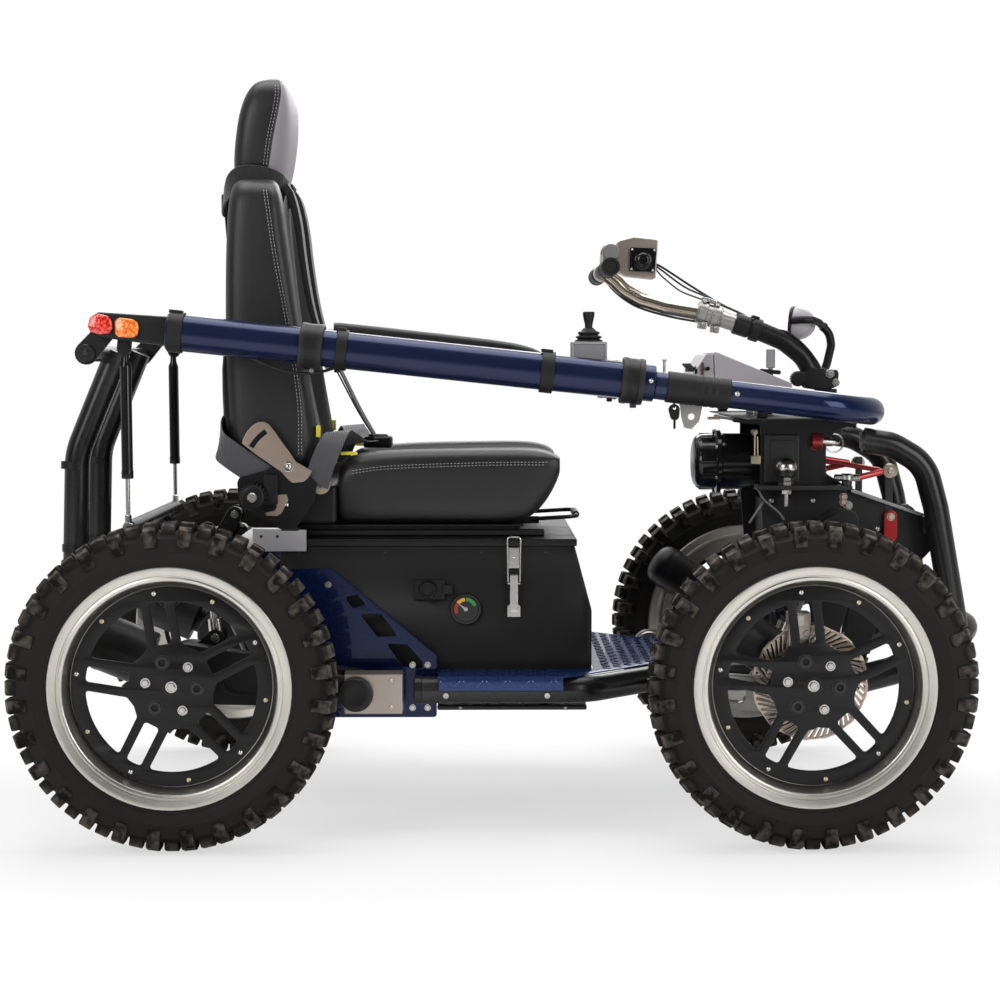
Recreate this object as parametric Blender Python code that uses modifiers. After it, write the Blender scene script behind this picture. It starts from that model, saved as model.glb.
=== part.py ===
"""An all-terrain mobility vehicle: four sprung wheels, a seat on a battery box, lifting side bars, a tiller.

Metres, +X forward, +Y left, +Z up. The vehicle empty stands midway between the axles, on the ground.
"""

import math

import bmesh
import bpy
from mathutils import Matrix, Vector

# Driving dimensions
WHEELBASE = 1.132
TRACK = 0.950
TYRE_RADIUS = 0.293
TYRE_WIDTH = 0.094
KNOB_ROWS = 18
RIM_RADIUS = 0.2155
SPOKE_PAIRS = 5
STEER_LOCK_DEG = 22.0
SIDE_TUBE_RADIUS = 0.025
SIDE_BAR_RADIUS = 0.0335
SIDE_BAR_SLOPE_DEG = 6.1
HOOP_TUBE_RADIUS = 0.024
BULL_TUBE_RADIUS = 0.024
BOX_HALF_WIDTH = 0.250
BOX_WALL = 0.003
FLOOR_HEIGHT = 0.2915
SEAT_WIDTH = 0.480
SEAT_BACK_HEIGHT = 0.560
SHOCK_BODY_RADIUS = 0.024
COLUMN_HEIGHT = 1.055
GAP = 0.0005

# Places worked out from them
FRONT = WHEELBASE / 2
REAR = -WHEELBASE / 2
AXLE_Z = TYRE_RADIUS
WHEEL_Y = TRACK / 2
TYRE_INNER_Y = WHEEL_Y - TYRE_WIDTH / 2
BAR_Y = TYRE_INNER_Y - 0.098
KINGPIN_Y = WHEEL_Y - 0.090
BULL_BAR_REACH = 0.373
CENTRE_SHIFT = (TYRE_RADIUS - BULL_BAR_REACH) / 2
SIDES = {"right": -1, "left": 1}

MATERIALS = {
    "rubber": ((0.030, 0.027, 0.024), 0.85, 0.0),
    "rim_silver": ((0.62, 0.60, 0.56), 0.30, 1.0),
    "satin_black": ((0.018, 0.018, 0.019), 0.45, 0.0),
    "frame_black": ((0.022, 0.022, 0.024), 0.40, 0.0),
    "metallic_blue": ((0.012, 0.022, 0.095), 0.30, 0.4),
    "bronze": ((0.42, 0.36, 0.30), 0.40, 0.8),
    "steel": ((0.55, 0.55, 0.54), 0.35, 1.0),
    "vinyl": ((0.030, 0.030, 0.031), 0.60, 0.0),
    "grey_plastic": ((0.42, 0.42, 0.44), 0.45, 0.0),
    "dark_plastic": ((0.025, 0.025, 0.026), 0.55, 0.0),
}


def clear_scene():
    for obj in list(bpy.data.objects):
        bpy.data.objects.remove(obj, do_unlink=True)


def new_collection(name):
    collection = bpy.data.collections.new(name)
    bpy.context.scene.collection.children.link(collection)
    return collection


clear_scene()
PARTS = new_collection("mobility_vehicle")
HELPERS = new_collection("cutters_and_fused_shapes")


def new_material(name):
    colour, roughness, metallic = MATERIALS[name]
    material = bpy.data.materials.new(name)
    material.use_nodes = True
    shader = material.node_tree.nodes["Principled BSDF"]
    shader.inputs["Base Color"].default_value = (*colour, 1)
    shader.inputs["Roughness"].default_value = roughness
    shader.inputs["Metallic"].default_value = metallic
    material.diffuse_color = (*colour, 1)
    return material


FINISH = {name: new_material(name) for name in MATERIALS}


def new_empty(name, location, parent=None):
    """An empty on a joint's axis, at a place in the vehicle's frame."""
    empty = bpy.data.objects.new(name, None)
    empty.empty_display_size = 0.05
    PARTS.objects.link(empty)
    empty.location = location
    if parent:
        empty.parent = parent
        empty.location = Vector(location) - place_in_vehicle(parent)
    return empty


def place_in_vehicle(empty):
    place = Vector(empty.location)
    while empty.parent:
        empty = empty.parent
        place += empty.location
    return place - Vector((CENTRE_SHIFT, 0, 0))


VEHICLE = new_empty("vehicle", (CENTRE_SHIFT, 0, 0))


def helper(mesh, matrix=None):
    """A loose shape that a Boolean takes in: it isn't a piece by itself."""
    obj = bpy.data.objects.new("shape", mesh)
    HELPERS.objects.link(obj)
    obj.hide_render = True
    obj.display_type = "WIRE"
    if matrix is not None:
        obj.matrix_world = matrix
    return obj


def mesh_from(bm, smooth_deg=40):
    bmesh.ops.recalc_face_normals(bm, faces=bm.faces)
    if bm.calc_volume(signed=True) < 0:
        bmesh.ops.reverse_faces(bm, faces=bm.faces)
    mesh = bpy.data.meshes.new("shape")
    bm.to_mesh(mesh)
    bm.free()
    mesh.shade_smooth()
    mesh.set_sharp_from_angle(angle=math.radians(smooth_deg))
    return mesh


def box(low, high, bevel=0.0, tilt_deg=0.0):
    """A block between two corners, turned about its own middle's Y axis."""
    low, high = Vector(low), Vector(high)
    bm = bmesh.new()
    bmesh.ops.create_cube(bm, size=1.0)
    bmesh.ops.scale(bm, vec=high - low, verts=bm.verts)
    if bevel:
        bmesh.ops.bevel(
            bm, geom=bm.edges[:], offset=bevel, segments=1, affect="EDGES", profile=0.5, material=-1
        )
    turn = Matrix.Rotation(math.radians(tilt_deg), 4, "Y")
    return helper(mesh_from(bm, 30), Matrix.Translation((low + high) / 2) @ turn)


def aimed(start, end):
    """The matrix that takes a shape along +Z to the line from start to end."""
    start, end = Vector(start), Vector(end)
    return Matrix.Translation(start) @ (end - start).to_track_quat("Z", "Y").to_matrix().to_4x4()


def rod(start, end, radius, segments=12, end_radius=None):
    """A cylinder or a cone between two points."""
    length = (Vector(end) - Vector(start)).length
    bm = bmesh.new()
    bmesh.ops.create_cone(
        bm,
        cap_ends=True,
        segments=segments,
        radius1=radius,
        radius2=radius if end_radius is None else end_radius,
        depth=length,
    )
    bmesh.ops.translate(bm, vec=(0, 0, length / 2), verts=bm.verts)
    return helper(mesh_from(bm), aimed(start, end))


def turned(profile, start, end, segments=16):
    """A turned solid: the profile's (radius, distance) points run along the axis from start to end."""
    mesh = bpy.data.meshes.new("profile")
    points = [(radius, 0, along) for radius, along in reversed(profile)]
    closed_loop = min(radius for radius, _ in profile) > 0
    edges = [(i, i + 1) for i in range(len(points) - 1)]
    if closed_loop:
        edges.append((len(points) - 1, 0))
    mesh.from_pydata(points, edges, [])
    obj = helper(mesh, aimed(start, end))
    screw = obj.modifiers.new("turn", "SCREW")
    screw.axis = "Z"
    screw.steps = screw.render_steps = segments
    screw.use_merge_vertices = True
    screw.merge_threshold = 1e-5
    screw.use_smooth_shade = True
    return obj


def as_mesh(obj):
    """The object's evaluated shape as a mesh of its own, with a curve's loose caps welded on."""
    bpy.context.view_layer.update()
    evaluated = obj.evaluated_get(bpy.context.evaluated_depsgraph_get())
    mesh = bpy.data.meshes.new_from_object(evaluated)
    bm = bmesh.new()
    bm.from_mesh(mesh)
    bmesh.ops.remove_doubles(bm, verts=bm.verts, dist=1e-5)
    bmesh.ops.recalc_face_normals(bm, faces=bm.faces)
    bm.to_mesh(mesh)
    bm.free()
    mesh.shade_smooth()
    mesh.set_sharp_from_angle(angle=math.radians(40))
    new = helper(mesh, obj.matrix_world.copy())
    bpy.data.objects.remove(obj, do_unlink=True)
    return new


def rounded(points, radius, steps=3):
    """The points with each inner corner turned into an arc of the given radius."""
    points = [Vector(point) for point in points]
    path = [points[0]]
    for before, corner, after in zip(points, points[1:], points[2:]):
        to_before = (before - corner).normalized()
        to_after = (after - corner).normalized()
        half_angle = to_before.angle(to_after) / 2
        reach = radius / math.tan(half_angle)
        reach = min(reach, (before - corner).length * 0.49, (after - corner).length * 0.49)
        true_radius = reach * math.tan(half_angle)
        centre = corner + (to_before + to_after).normalized() * (true_radius / math.sin(half_angle))
        first = corner + to_before * reach - centre
        last = corner + to_after * reach - centre
        for step in range(steps + 1):
            path.append(centre + first.slerp(last, step / steps).normalized() * true_radius)
    path.append(points[-1])
    return path


def tube(points, radius, sides=8, bend=0.0, steps=2):
    """A round tube along the points, as a mesh, its corners bent to the given radius."""
    path = rounded(points, bend, steps) if bend else [Vector(point) for point in points]
    curve = bpy.data.curves.new("tube", "CURVE")
    curve.dimensions = "3D"
    curve.bevel_depth = radius
    curve.bevel_resolution = sides // 2 - 2
    curve.use_fill_caps = True
    spline = curve.splines.new("POLY")
    spline.points.add(len(path) - 1)
    for point, place in zip(spline.points, path):
        point.co = (*place, 1)
    obj = bpy.data.objects.new("tube", curve)
    HELPERS.objects.link(obj)
    return as_mesh(obj)


def plate(outlines, y_low, y_high):
    """A flat plate whose outlines are (x, z) loops, the first the edge and the others holes."""
    curve = bpy.data.curves.new("plate", "CURVE")
    curve.dimensions = "2D"
    curve.fill_mode = "BOTH"
    curve.extrude = abs(y_high - y_low) / 2
    for outline in outlines:
        spline = curve.splines.new("POLY")
        spline.points.add(len(outline) - 1)
        spline.use_cyclic_u = True
        for point, (x, z) in zip(spline.points, outline):
            point.co = (x, z, 0, 1)
    obj = bpy.data.objects.new("plate", curve)
    HELPERS.objects.link(obj)
    stand = Matrix.Rotation(math.radians(90), 4, "X")
    obj.matrix_world = Matrix.Translation((0, (y_low + y_high) / 2, 0)) @ stand
    return as_mesh(obj)


def circle(centre, radius, segments, start_deg=0.0):
    x, z = centre
    turn = [math.radians(start_deg) + 2 * math.pi * i / segments for i in range(segments)]
    return [(x + radius * math.cos(a), z + radius * math.sin(a)) for a in turn]


def piece(name, finish, shapes, cutters=(), parent=None):
    """Makes one named piece: the first shape, with the others fused to it and the cutters taken out."""
    obj = shapes[0]
    HELPERS.objects.unlink(obj)
    PARTS.objects.link(obj)
    obj.name = name
    obj.data.name = name
    obj.hide_render = False
    obj.display_type = "TEXTURED"
    for operation, others in (("UNION", shapes[1:]), ("DIFFERENCE", cutters)):
        for other in others:
            step = obj.modifiers.new(operation.lower(), "BOOLEAN")
            step.operation = operation
            step.object = other
    obj.data.materials.clear()
    obj.data.materials.append(FINISH[finish])
    carrier = parent or VEHICLE
    for held in [obj, *shapes[1:], *cutters]:
        held.parent = carrier
        held.matrix_parent_inverse = Matrix.Translation(-place_in_vehicle(carrier))
    return obj


def mirrored_y(points, side):
    """The points with their y measured outwards on one side of the vehicle."""
    return [(x, y * side, z) for x, y, z in points]


# Wheels


def tyre_mesh():
    """A hollow knobbly tyre round the Y axis: a spun section whose tread faces are drawn out into knobs.

    One knob of the middle row is level at the very bottom, so the tyre stands on a flat face.
    """
    seat_radius = RIM_RADIUS - 0.0120
    shoulder = TYRE_WIDTH / 2 - 0.0055
    section = [
        (seat_radius, 0.0300),
        (TYRE_RADIUS - 0.0480, TYRE_WIDTH / 2 - 0.0030),
        (TYRE_RADIUS - 0.0250, shoulder),
        (TYRE_RADIUS - 0.0140, shoulder - 0.0175),
    ]
    inner = (TYRE_RADIUS - 0.0380, shoulder - 0.0085)
    loop = section + [(r, -a) for r, a in reversed(section)] + [(inner[0], -inner[1]), inner]
    columns = 2 * KNOB_ROWS
    pitch = 2 * math.pi / columns
    bm = bmesh.new()
    verts = [
        bm.verts.new((-r * math.sin(pitch / 2), a, -r * math.cos(pitch / 2))) for r, a in loop
    ]
    edges = [bm.edges.new((verts[i], verts[(i + 1) % len(verts)])) for i in range(len(verts))]
    bmesh.ops.spin(
        bm, geom=edges, cent=(0, 0, 0), axis=(0, -1, 0), angle=2 * math.pi, steps=columns, use_merge=True
    )
    bmesh.ops.remove_doubles(bm, verts=bm.verts, dist=1e-6)

    def column_of(place):
        return round(math.atan2(place.x, -place.z) / pitch) % columns

    middle_edge = section[3][1]
    knobs = []
    for face in bm.faces:
        middle = face.calc_center_median()
        radius = math.hypot(middle.x, middle.z)
        if radius < TYRE_RADIUS - 0.0250:
            continue
        in_middle_row = abs(middle.y) < middle_edge
        if column_of(middle) % 2 == (0 if in_middle_row else 1):
            knobs.append(face)
    drawn = bmesh.ops.extrude_discrete_faces(bm, faces=knobs)["faces"]
    for face in drawn:
        middle = face.calc_center_median()
        turn = column_of(middle) * pitch
        outward = Vector((math.sin(turn), 0, -math.cos(turn)))
        along = Vector((math.cos(turn), 0, math.sin(turn)))
        in_middle_row = abs(middle.y) < middle_edge
        for vert in face.verts:
            sideways = along * (vert.co.dot(along) * 0.86)
            if in_middle_row:
                height, across = TYRE_RADIUS, vert.co.y * 0.78
            elif abs(vert.co.y) > middle_edge + 0.005:
                height, across = TYRE_RADIUS - 0.0150, math.copysign(TYRE_WIDTH / 2, vert.co.y)
            else:
                height, across = TYRE_RADIUS - 0.0035, math.copysign(middle_edge + 0.0045, vert.co.y)
            vert.co = outward * height + sideways + Vector((0, across, 0))
    bm.normal_update()
    tread = TYRE_RADIUS - 0.0270
    spare = [
        edge
        for edge in bm.edges
        if abs(edge.verts[0].co.y - edge.verts[1].co.y) + abs(
            edge.verts[0].co.xz.length - edge.verts[1].co.xz.length
        ) > 0.004
        and min(v.co.xz.length for v in edge.verts) < tread
        and boundary_of(edge, pitch) % 2 == 1
    ]
    bmesh.ops.dissolve_edges(bm, edges=spare, use_verts=True)
    return mesh_from(bm, 35)


def boundary_of(edge, pitch):
    """Which line between two columns an edge across the section lies on."""
    middle = (edge.verts[0].co + edge.verts[1].co) / 2
    return round(math.atan2(middle.x, -middle.z) / pitch + 0.5)


def rim_profile():
    """(radius, distance outboard of the wheel's middle) of the rim, as one closed wall."""
    seat = RIM_RADIUS - 0.0125
    lip = 0.0375
    return [
        (RIM_RADIUS, lip),
        (seat, 0.0315),
        (seat, -0.0315),
        (RIM_RADIUS, -lip),
        (RIM_RADIUS - 0.0180, -0.0340),
        (RIM_RADIUS - 0.0305, -0.0020),
        (RIM_RADIUS - 0.0555, -0.0020),
        (RIM_RADIUS - 0.0555, 0.0040),
        (RIM_RADIUS - 0.0345, 0.0040),
        (RIM_RADIUS - 0.0180, 0.0340),
    ]


def rim_mesh():
    pitch = 2 * math.pi / KNOB_ROWS
    bm = bmesh.new()
    verts = [
        bm.verts.new((-r * math.sin(pitch / 4), a, -r * math.cos(pitch / 4))) for r, a in rim_profile()
    ]
    edges = [bm.edges.new((verts[i], verts[(i + 1) % len(verts)])) for i in range(len(verts))]
    bmesh.ops.spin(
        bm, geom=edges, cent=(0, 0, 0), axis=(0, -1, 0), angle=2 * math.pi, steps=KNOB_ROWS, use_merge=True
    )
    bmesh.ops.remove_doubles(bm, verts=bm.verts, dist=1e-6)
    return mesh_from(bm, 30)


def spoke_windows(start_deg):
    """The holes of the wheel disc: a slot inside each pair of spokes and a wide window between pairs."""
    ring = RIM_RADIUS - 0.0625
    hub = 0.071
    slot = 0.0165
    bar = slot + 0.019
    loops = []
    for pair in range(SPOKE_PAIRS):
        turn = math.radians(start_deg + 360 / SPOKE_PAIRS * pair)
        slot_loop = [(hub, -slot), (ring, -slot), (ring, slot), (hub, slot)]
        loops.append([turned_point(x, z, turn) for x, z in slot_loop])
        between = turn + math.pi / SPOKE_PAIRS
        half = math.pi / SPOKE_PAIRS - math.asin(bar / ring)
        arc = [-half, 0, half]
        window = [(ring * math.cos(a), ring * math.sin(a)) for a in arc]
        inner_half = math.pi / SPOKE_PAIRS - math.asin(bar / (hub + 0.012))
        foot = (hub + 0.012) * math.cos(inner_half), (hub + 0.012) * math.sin(inner_half)
        window += [foot, (foot[0], -foot[1])]
        loops.append([turned_point(x, z, between) for x, z in window])
    return loops


def turned_point(x, z, turn):
    return (x * math.cos(turn) - z * math.sin(turn), x * math.sin(turn) + z * math.cos(turn))


def make_wheel(where, side, axle_x, parent):
    """A tyre on its rim, with the spoked disc bolted in and the hub behind it."""
    middle = Matrix.Translation((axle_x, WHEEL_Y * side, AXLE_Z))
    outboard = Matrix.Diagonal((1, side, 1, 1))
    name = f"{where}_{'left' if side > 0 else 'right'}"
    for part, finish, mesh in (("tyre", "rubber", tyre_mesh()), ("rim", "rim_silver", rim_mesh())):
        if side < 0:
            mesh.transform(outboard)
            mesh.flip_normals()
        piece(f"{part}_{name}", finish, [helper(mesh, middle)], parent=parent)
    plate_low, plate_high = 0.0043, 0.0103
    disc_radius = RIM_RADIUS - 0.0385
    start_deg = 27 if where == "rear" else 25
    loops = [circle((0, 0), disc_radius, KNOB_ROWS, 90), *spoke_windows(start_deg)]
    loops = [[(axle_x + x, AXLE_Z + z) for x, z in loop] for loop in loops]
    y = WHEEL_Y * side
    disc = plate(loops, y + side * plate_low, y + side * plate_high)
    axis = (axle_x, 0, AXLE_Z)

    def at(distance):
        return (axis[0], y + side * distance, axis[2])

    profile = [(0, -0.036), (0.040, -0.036), (0.040, -0.020), (0.058, -0.012), (0.058, 0.0065), (0, 0.0065)]
    hub = turned(profile, at(0), at(1), 10)
    cap = rod(at(plate_high - 0.002), at(plate_high + 0.006), 0.012, 6)
    piece(f"wheel_disc_{name}", "satin_black", [disc, as_mesh(hub), cap], parent=parent)
    if where == "front":
        make_brake_disc(side, axis, y, parent)


def make_brake_disc(side, axis, y, parent):
    """The steel disc on a front hub, with slots that lean with its rotation."""
    outer, inner, thickness, inboard = 0.100, 0.0425, 0.004, -0.032
    loops = [circle((0, 0), outer, 16), circle((0, 0), inner, 12)]
    for slot in range(6):
        turn = 2 * math.pi * slot / 6
        lean, width, low, high = 0.16, 0.007, 0.066, 0.090
        corners = [(low, -width), (high, -width + lean * high), (high, width + lean * high), (low, width)]
        loops.append([turned_point(x, z, turn) for x, z in corners])
    loops = [[(axis[0] + x, axis[2] + z) for x, z in loop] for loop in loops]
    low_y = y + side * inboard
    disc = plate(loops, low_y, low_y + side * thickness)
    piece(f"brake_disc_{'left' if side > 0 else 'right'}", "bronze", [disc], parent=parent)


# Suspension

REAR_PIVOT = Vector((REAR + 0.319, 0, AXLE_Z - 0.029))
FRONT_PIVOT = Vector((FRONT - 0.226, 0, AXLE_Z - 0.031))
REAR_SHOCK_TOP = Vector((REAR + 0.031, 0, AXLE_Z + 0.255))
REAR_SHOCK_FOOT = Vector((REAR + 0.051, 0, AXLE_Z + 0.059))
FRONT_SHOCK_TOP = Vector((FRONT + 0.044, 0, AXLE_Z + 0.257))
FRONT_SHOCK_FOOT = Vector((FRONT - 0.066, 0, AXLE_Z - 0.023))
REAR_ARM_Y = TYRE_INNER_Y - 0.113
REAR_SHOCK_Y = REAR_ARM_Y - 0.070
FRONT_ARM_Y = KINGPIN_Y - 0.086
FRONT_SHOCK_Y = FRONT_ARM_Y - 0.035
SHOCK_EYE_HALF = SHOCK_BODY_RADIUS + 0.001
EAR_REACH = SHOCK_EYE_HALF + 0.0075


def motor(start, direction, length, radius, neck):
    """A gear motor: a neck, a plain case and a domed end."""
    end = Vector(start) + Vector(direction).normalized() * (length + neck)
    profile = [(0, -0.030), (0.030, -0.030), (0.030, neck), (radius, neck + 0.006)]
    profile += [(radius, neck + length - 0.026), (radius * 0.62, neck + length), (0, neck + length)]
    return as_mesh(turned(profile, start, end, 10))


def make_rear_arm(label, side, arm_empty):
    """The trailing arm, from its pivot to the hub, with the gearbox and the motor behind it."""
    y = REAR_ARM_Y
    half = 0.018
    hub = Vector((REAR, 0, AXLE_Z))
    low, high = sorted((side * (y - half), side * (y + half)))
    outline = hull_of_circles((REAR_PIVOT.x, REAR_PIVOT.z), 0.034, (hub.x, hub.z), 0.056)
    arm = plate([outline], low, high)
    inboard, outboard = side * (REAR_SHOCK_Y - EAR_REACH + 0.001), side * (WHEEL_Y - 0.0385)
    gearbox = rod((hub.x, inboard, hub.z), (hub.x, outboard, hub.z), 0.050, 12)
    drive = motor((hub.x - 0.030, side * (y + 0.008), hub.z + 0.012), (-0.93, 0, 0.37), 0.130, 0.052, 0.035)
    ears = shock_ears(REAR_SHOCK_FOOT, side, REAR_SHOCK_Y, hub + Vector((0.006, 0, 0.007)))
    piece(f"rear_arm_{label}", "frame_black", [arm, gearbox, drive, *ears], parent=arm_empty)


def hull_of_circles(first, first_radius, second, second_radius, steps=4):
    """The outline round two circles and the straight sides between them."""
    a, b = Vector(first), Vector(second)
    across = b - a
    base = math.atan2(across.y, across.x)
    lean = math.acos((first_radius - second_radius) / across.length)
    points = []
    for centre, radius, start, sweep in (
        (a, first_radius, base + lean, 2 * math.pi - 2 * lean),
        (b, second_radius, base - lean, 2 * lean),
    ):
        for step in range(steps + 1):
            turn = start + sweep * step / steps
            points.append((centre.x + radius * math.cos(turn), centre.y + radius * math.sin(turn)))
    return points


def shock_ears(foot, side, y, carrier):
    """Two ears with a bolt head each, one on either side of a shock's eye."""
    ears = []
    thick = 0.006
    for way in (-1, 1):
        inner = y + way * (SHOCK_EYE_HALF + 0.0015)
        outer = inner + way * thick
        low, high = sorted((side * inner, side * outer))
        outline = hull_of_circles((foot.x, foot.z), 0.016, (carrier.x, carrier.z), 0.022, 2)
        ears.append(plate([outline], low, high))
    return ears


def make_front_arm(label, side, arm_empty):
    """The leading arm: a beam from its pivot and an upright yoke that holds the kingpin."""
    pivot = FRONT_PIVOT
    y = FRONT_ARM_Y
    yoke_top, yoke_low = AXLE_Z + 0.082, AXLE_Z - 0.082
    ear = 0.012
    web_low, web_high = sorted((side * (y - 0.009), side * (y + 0.009)))
    outline = hull_of_circles((pivot.x, pivot.z), 0.032, (FRONT - 0.005, AXLE_Z - 0.048), 0.034, 3)
    beam = plate([outline], web_low, web_high)
    web_start = (FRONT - 0.024, web_low + 0.0005, yoke_low - 0.001)
    web_end = (FRONT + 0.024, web_high - 0.0005, yoke_top + 0.001)
    web = box(web_start, web_end)
    shapes = [beam, web]
    for z in (yoke_low, yoke_top - ear):
        ends = sorted((side * (y - 0.005), side * KINGPIN_Y))
        shapes.append(box((FRONT - 0.022, ends[0], z), (FRONT + 0.022, ends[1], z + ear)))
        king = (FRONT, side * KINGPIN_Y)
        shapes.append(rod((*king, z - 0.002), (*king, z + ear + 0.002), 0.0235, 10))
    sleeve = rod((pivot.x, side * (y - 0.019), pivot.z), (pivot.x, side * (y + 0.010), pivot.z), 0.029, 10)
    shapes.append(sleeve)
    shapes += shock_ears(FRONT_SHOCK_FOOT, side, FRONT_SHOCK_Y, Vector((FRONT - 0.030, 0, AXLE_Z - 0.045)))
    shelf_ends = sorted((side * (FRONT_SHOCK_Y - EAR_REACH + 0.001), side * y))
    shelf_start = (FRONT - 0.045, shelf_ends[0], AXLE_Z - 0.066)
    shelf_end = (FRONT - 0.015, shelf_ends[1], AXLE_Z - 0.048)
    shapes.append(box(shelf_start, shelf_end))
    piece(f"front_arm_{label}", "steel", shapes, parent=arm_empty)


def make_knuckle(label, side, knuckle_empty):
    """The steered hub carrier with its gearbox, motor and brake caliper."""
    y = KINGPIN_Y
    hub = Vector((FRONT, 0, AXLE_Z))
    inner, outer = side * (y - 0.040), side * (WHEEL_Y - 0.0385)
    gearbox = rod((hub.x, inner, hub.z), (hub.x, outer, hub.z), 0.050, 12)
    post = rod((hub.x, side * y, hub.z - 0.0670), (hub.x, side * y, hub.z + 0.0670), 0.020, 10)
    drive = motor((hub.x - 0.020, side * (y - 0.010), hub.z + 0.015), (-0.82, 0, 0.57), 0.185, 0.045, 0.046)
    caliper = make_caliper(side, hub)
    piece(f"knuckle_{label}", "frame_black", [gearbox, post, drive, *caliper], parent=knuckle_empty)


def make_caliper(side, hub):
    """A caliper over the top of the brake disc, on an arm from the gearbox."""
    disc_inner = WHEEL_Y - 0.032
    x = hub.x - 0.022

    def block(half, y_low, y_high, z_low, z_high):
        span = sorted((side * (disc_inner + y_low), side * (disc_inner + y_high)))
        return box((x - half, span[0], hub.z + z_low), (x + half, span[1], hub.z + z_high))

    bracket = block(0.0200, -0.0150, -0.0010, 0.044, 0.127)
    bridge = block(0.0195, -0.0145, 0.0180, 0.102, 0.128)
    pad = block(0.0190, 0.0050, 0.0175, 0.066, 0.110)
    return [bracket, bridge, pad]


def make_shock(name, top, foot, side, y, can_empty, shaft_empty):
    """An air shock: a can with a bore that hangs from its top eye, and a shaft that slides in it."""
    top = Vector((top.x, side * y, top.z))
    foot = Vector((foot.x, side * y, foot.z))
    down = (foot - top).normalized()
    length = (foot - top).length
    bore, shaft = 0.0095, 0.0080
    can_start, can_end, bore_start = 0.020, length * 0.60, 0.034
    profile = [
        (0, 0),
        (0.008, 0),
        (0.008, can_start),
        (SHOCK_BODY_RADIUS, can_start + 0.012),
        (SHOCK_BODY_RADIUS, can_end - 0.010),
        (0.015, can_end),
        (bore, can_end),
        (bore, bore_start),
        (0, bore_start),
    ]
    can = as_mesh(turned(profile, top, foot, 10))
    eye_top = rod(top - Vector((0, SHOCK_EYE_HALF, 0)), top + Vector((0, SHOCK_EYE_HALF, 0)), 0.013, 8)
    piece(f"shock_can_{name}", "dark_plastic", [can, eye_top], parent=can_empty)
    rod_top = top + down * (bore_start + 0.042)
    stem = rod(rod_top, foot, shaft, 8)
    eye = rod(foot - Vector((0, SHOCK_EYE_HALF, 0)), foot + Vector((0, SHOCK_EYE_HALF, 0)), 0.013, 8)
    collar = rod(foot - down * 0.034, foot - down * 0.006, 0.014, 8)
    piece(f"shock_shaft_{name}", "steel", [stem, eye, collar], parent=shaft_empty)


# Chassis

TUBE_AXIS_Z = FLOOR_HEIGHT - 0.0030 - GAP - SIDE_TUBE_RADIUS
FRONT_TUBE_Y = FRONT_SHOCK_Y - 0.074
PLATE_Y = REAR_ARM_Y - 0.035
TOWER_HALF = FRONT_TUBE_Y - SIDE_TUBE_RADIUS - 0.009
FRONT_END_X = FRONT + 0.134
BOX_REAR, BOX_FRONT, BOX_FLOOR, BOX_TOP = -0.396, 0.187, 0.282, 0.520
HOOP_HALF = 0.120
RAIL_RADIUS = 0.018
RAIL_HEIGHT = 0.430
HINGE_BAR = Vector((REAR - 0.174, 0, 0.880))
STRUT_FOOT = Vector((REAR - 0.104, 0, 0.560))
STRUT_Y = BAR_Y - 0.034


def bar_height(x):
    """The height of the side bars' common axis, which falls steadily to the nose."""
    return 0.918 - (x + 0.576) * math.tan(math.radians(SIDE_BAR_SLOPE_DEG))


def both_sides(points):
    """A path that runs in along one side and back along the other."""
    return [*points, *[(x, -y, z) for x, y, z in reversed(points)]]


def make_main_frame():
    """The welded frame: side tubes, cross tubes, rear rails with the shock mounts, and the floor tray."""
    shapes = []
    for side in (1, -1):
        path = [(-0.142, BAR_Y, TUBE_AXIS_Z), (0.170, BAR_Y, TUBE_AXIS_Z), (0.310, FRONT_TUBE_Y, TUBE_AXIS_Z)]
        path.append((FRONT_END_X, FRONT_TUBE_Y, TUBE_AXIS_Z))
        shapes.append(tube(mirrored_y(path, side), SIDE_TUBE_RADIUS, 8, bend=0.09))
        rail = [(0.140, HOOP_HALF, 0.258), (-0.440, HOOP_HALF, 0.258), (-0.520, HOOP_HALF, RAIL_HEIGHT)]
        rail.append((REAR - 0.262, HOOP_HALF, RAIL_HEIGHT))
        shapes.append(tube(mirrored_y(rail, side), RAIL_RADIUS, 8, bend=0.05, steps=1))
        boss = [FRONT_PIVOT + Vector((0, side * (FRONT_TUBE_Y + 0.010), 0))]
        boss.append(FRONT_PIVOT + Vector((0, side * (FRONT_ARM_Y - 0.020), 0)))
        shapes.append(rod(*boss, 0.018, 8))
        carrier = Vector((REAR - 0.034, 0, RAIL_HEIGHT))
        shapes += shock_ears(REAR_SHOCK_TOP, side, REAR_SHOCK_Y, carrier)
        post = Vector((STRUT_FOOT.x, side * HOOP_HALF, RAIL_HEIGHT))
        shapes.append(rod(post, (post.x, post.y, STRUT_FOOT.z + 0.004), 0.0095, 6))
    half = REAR_SHOCK_Y + EAR_REACH - 0.001
    shapes.append(rod((REAR - 0.034, -half, RAIL_HEIGHT), (REAR - 0.034, half, RAIL_HEIGHT), 0.0135, 8))
    strut_bar = Vector((STRUT_FOOT.x, STRUT_Y - 0.0095, STRUT_FOOT.z))
    shapes.append(rod((strut_bar.x, -strut_bar.y, strut_bar.z), strut_bar, 0.012, 8))
    for x, z in ((-0.085, 0.2593), (0.100, 0.2593), (FRONT_END_X - 0.100, TUBE_AXIS_Z - 0.0012)):
        reach = BAR_Y if x < 0.2 else FRONT_TUBE_Y
        shapes.append(rod((x, -reach, z), (x, reach, z), RAIL_RADIUS - 0.004, 8))
    shapes.append(box((-0.104, -0.200, 0.203), (0.181, 0.200, 0.213)))
    shapes.append(box((0.090, -0.100, 0.205), (0.110, 0.100, 0.258)))
    piece("main_frame", "frame_black", shapes)


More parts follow.
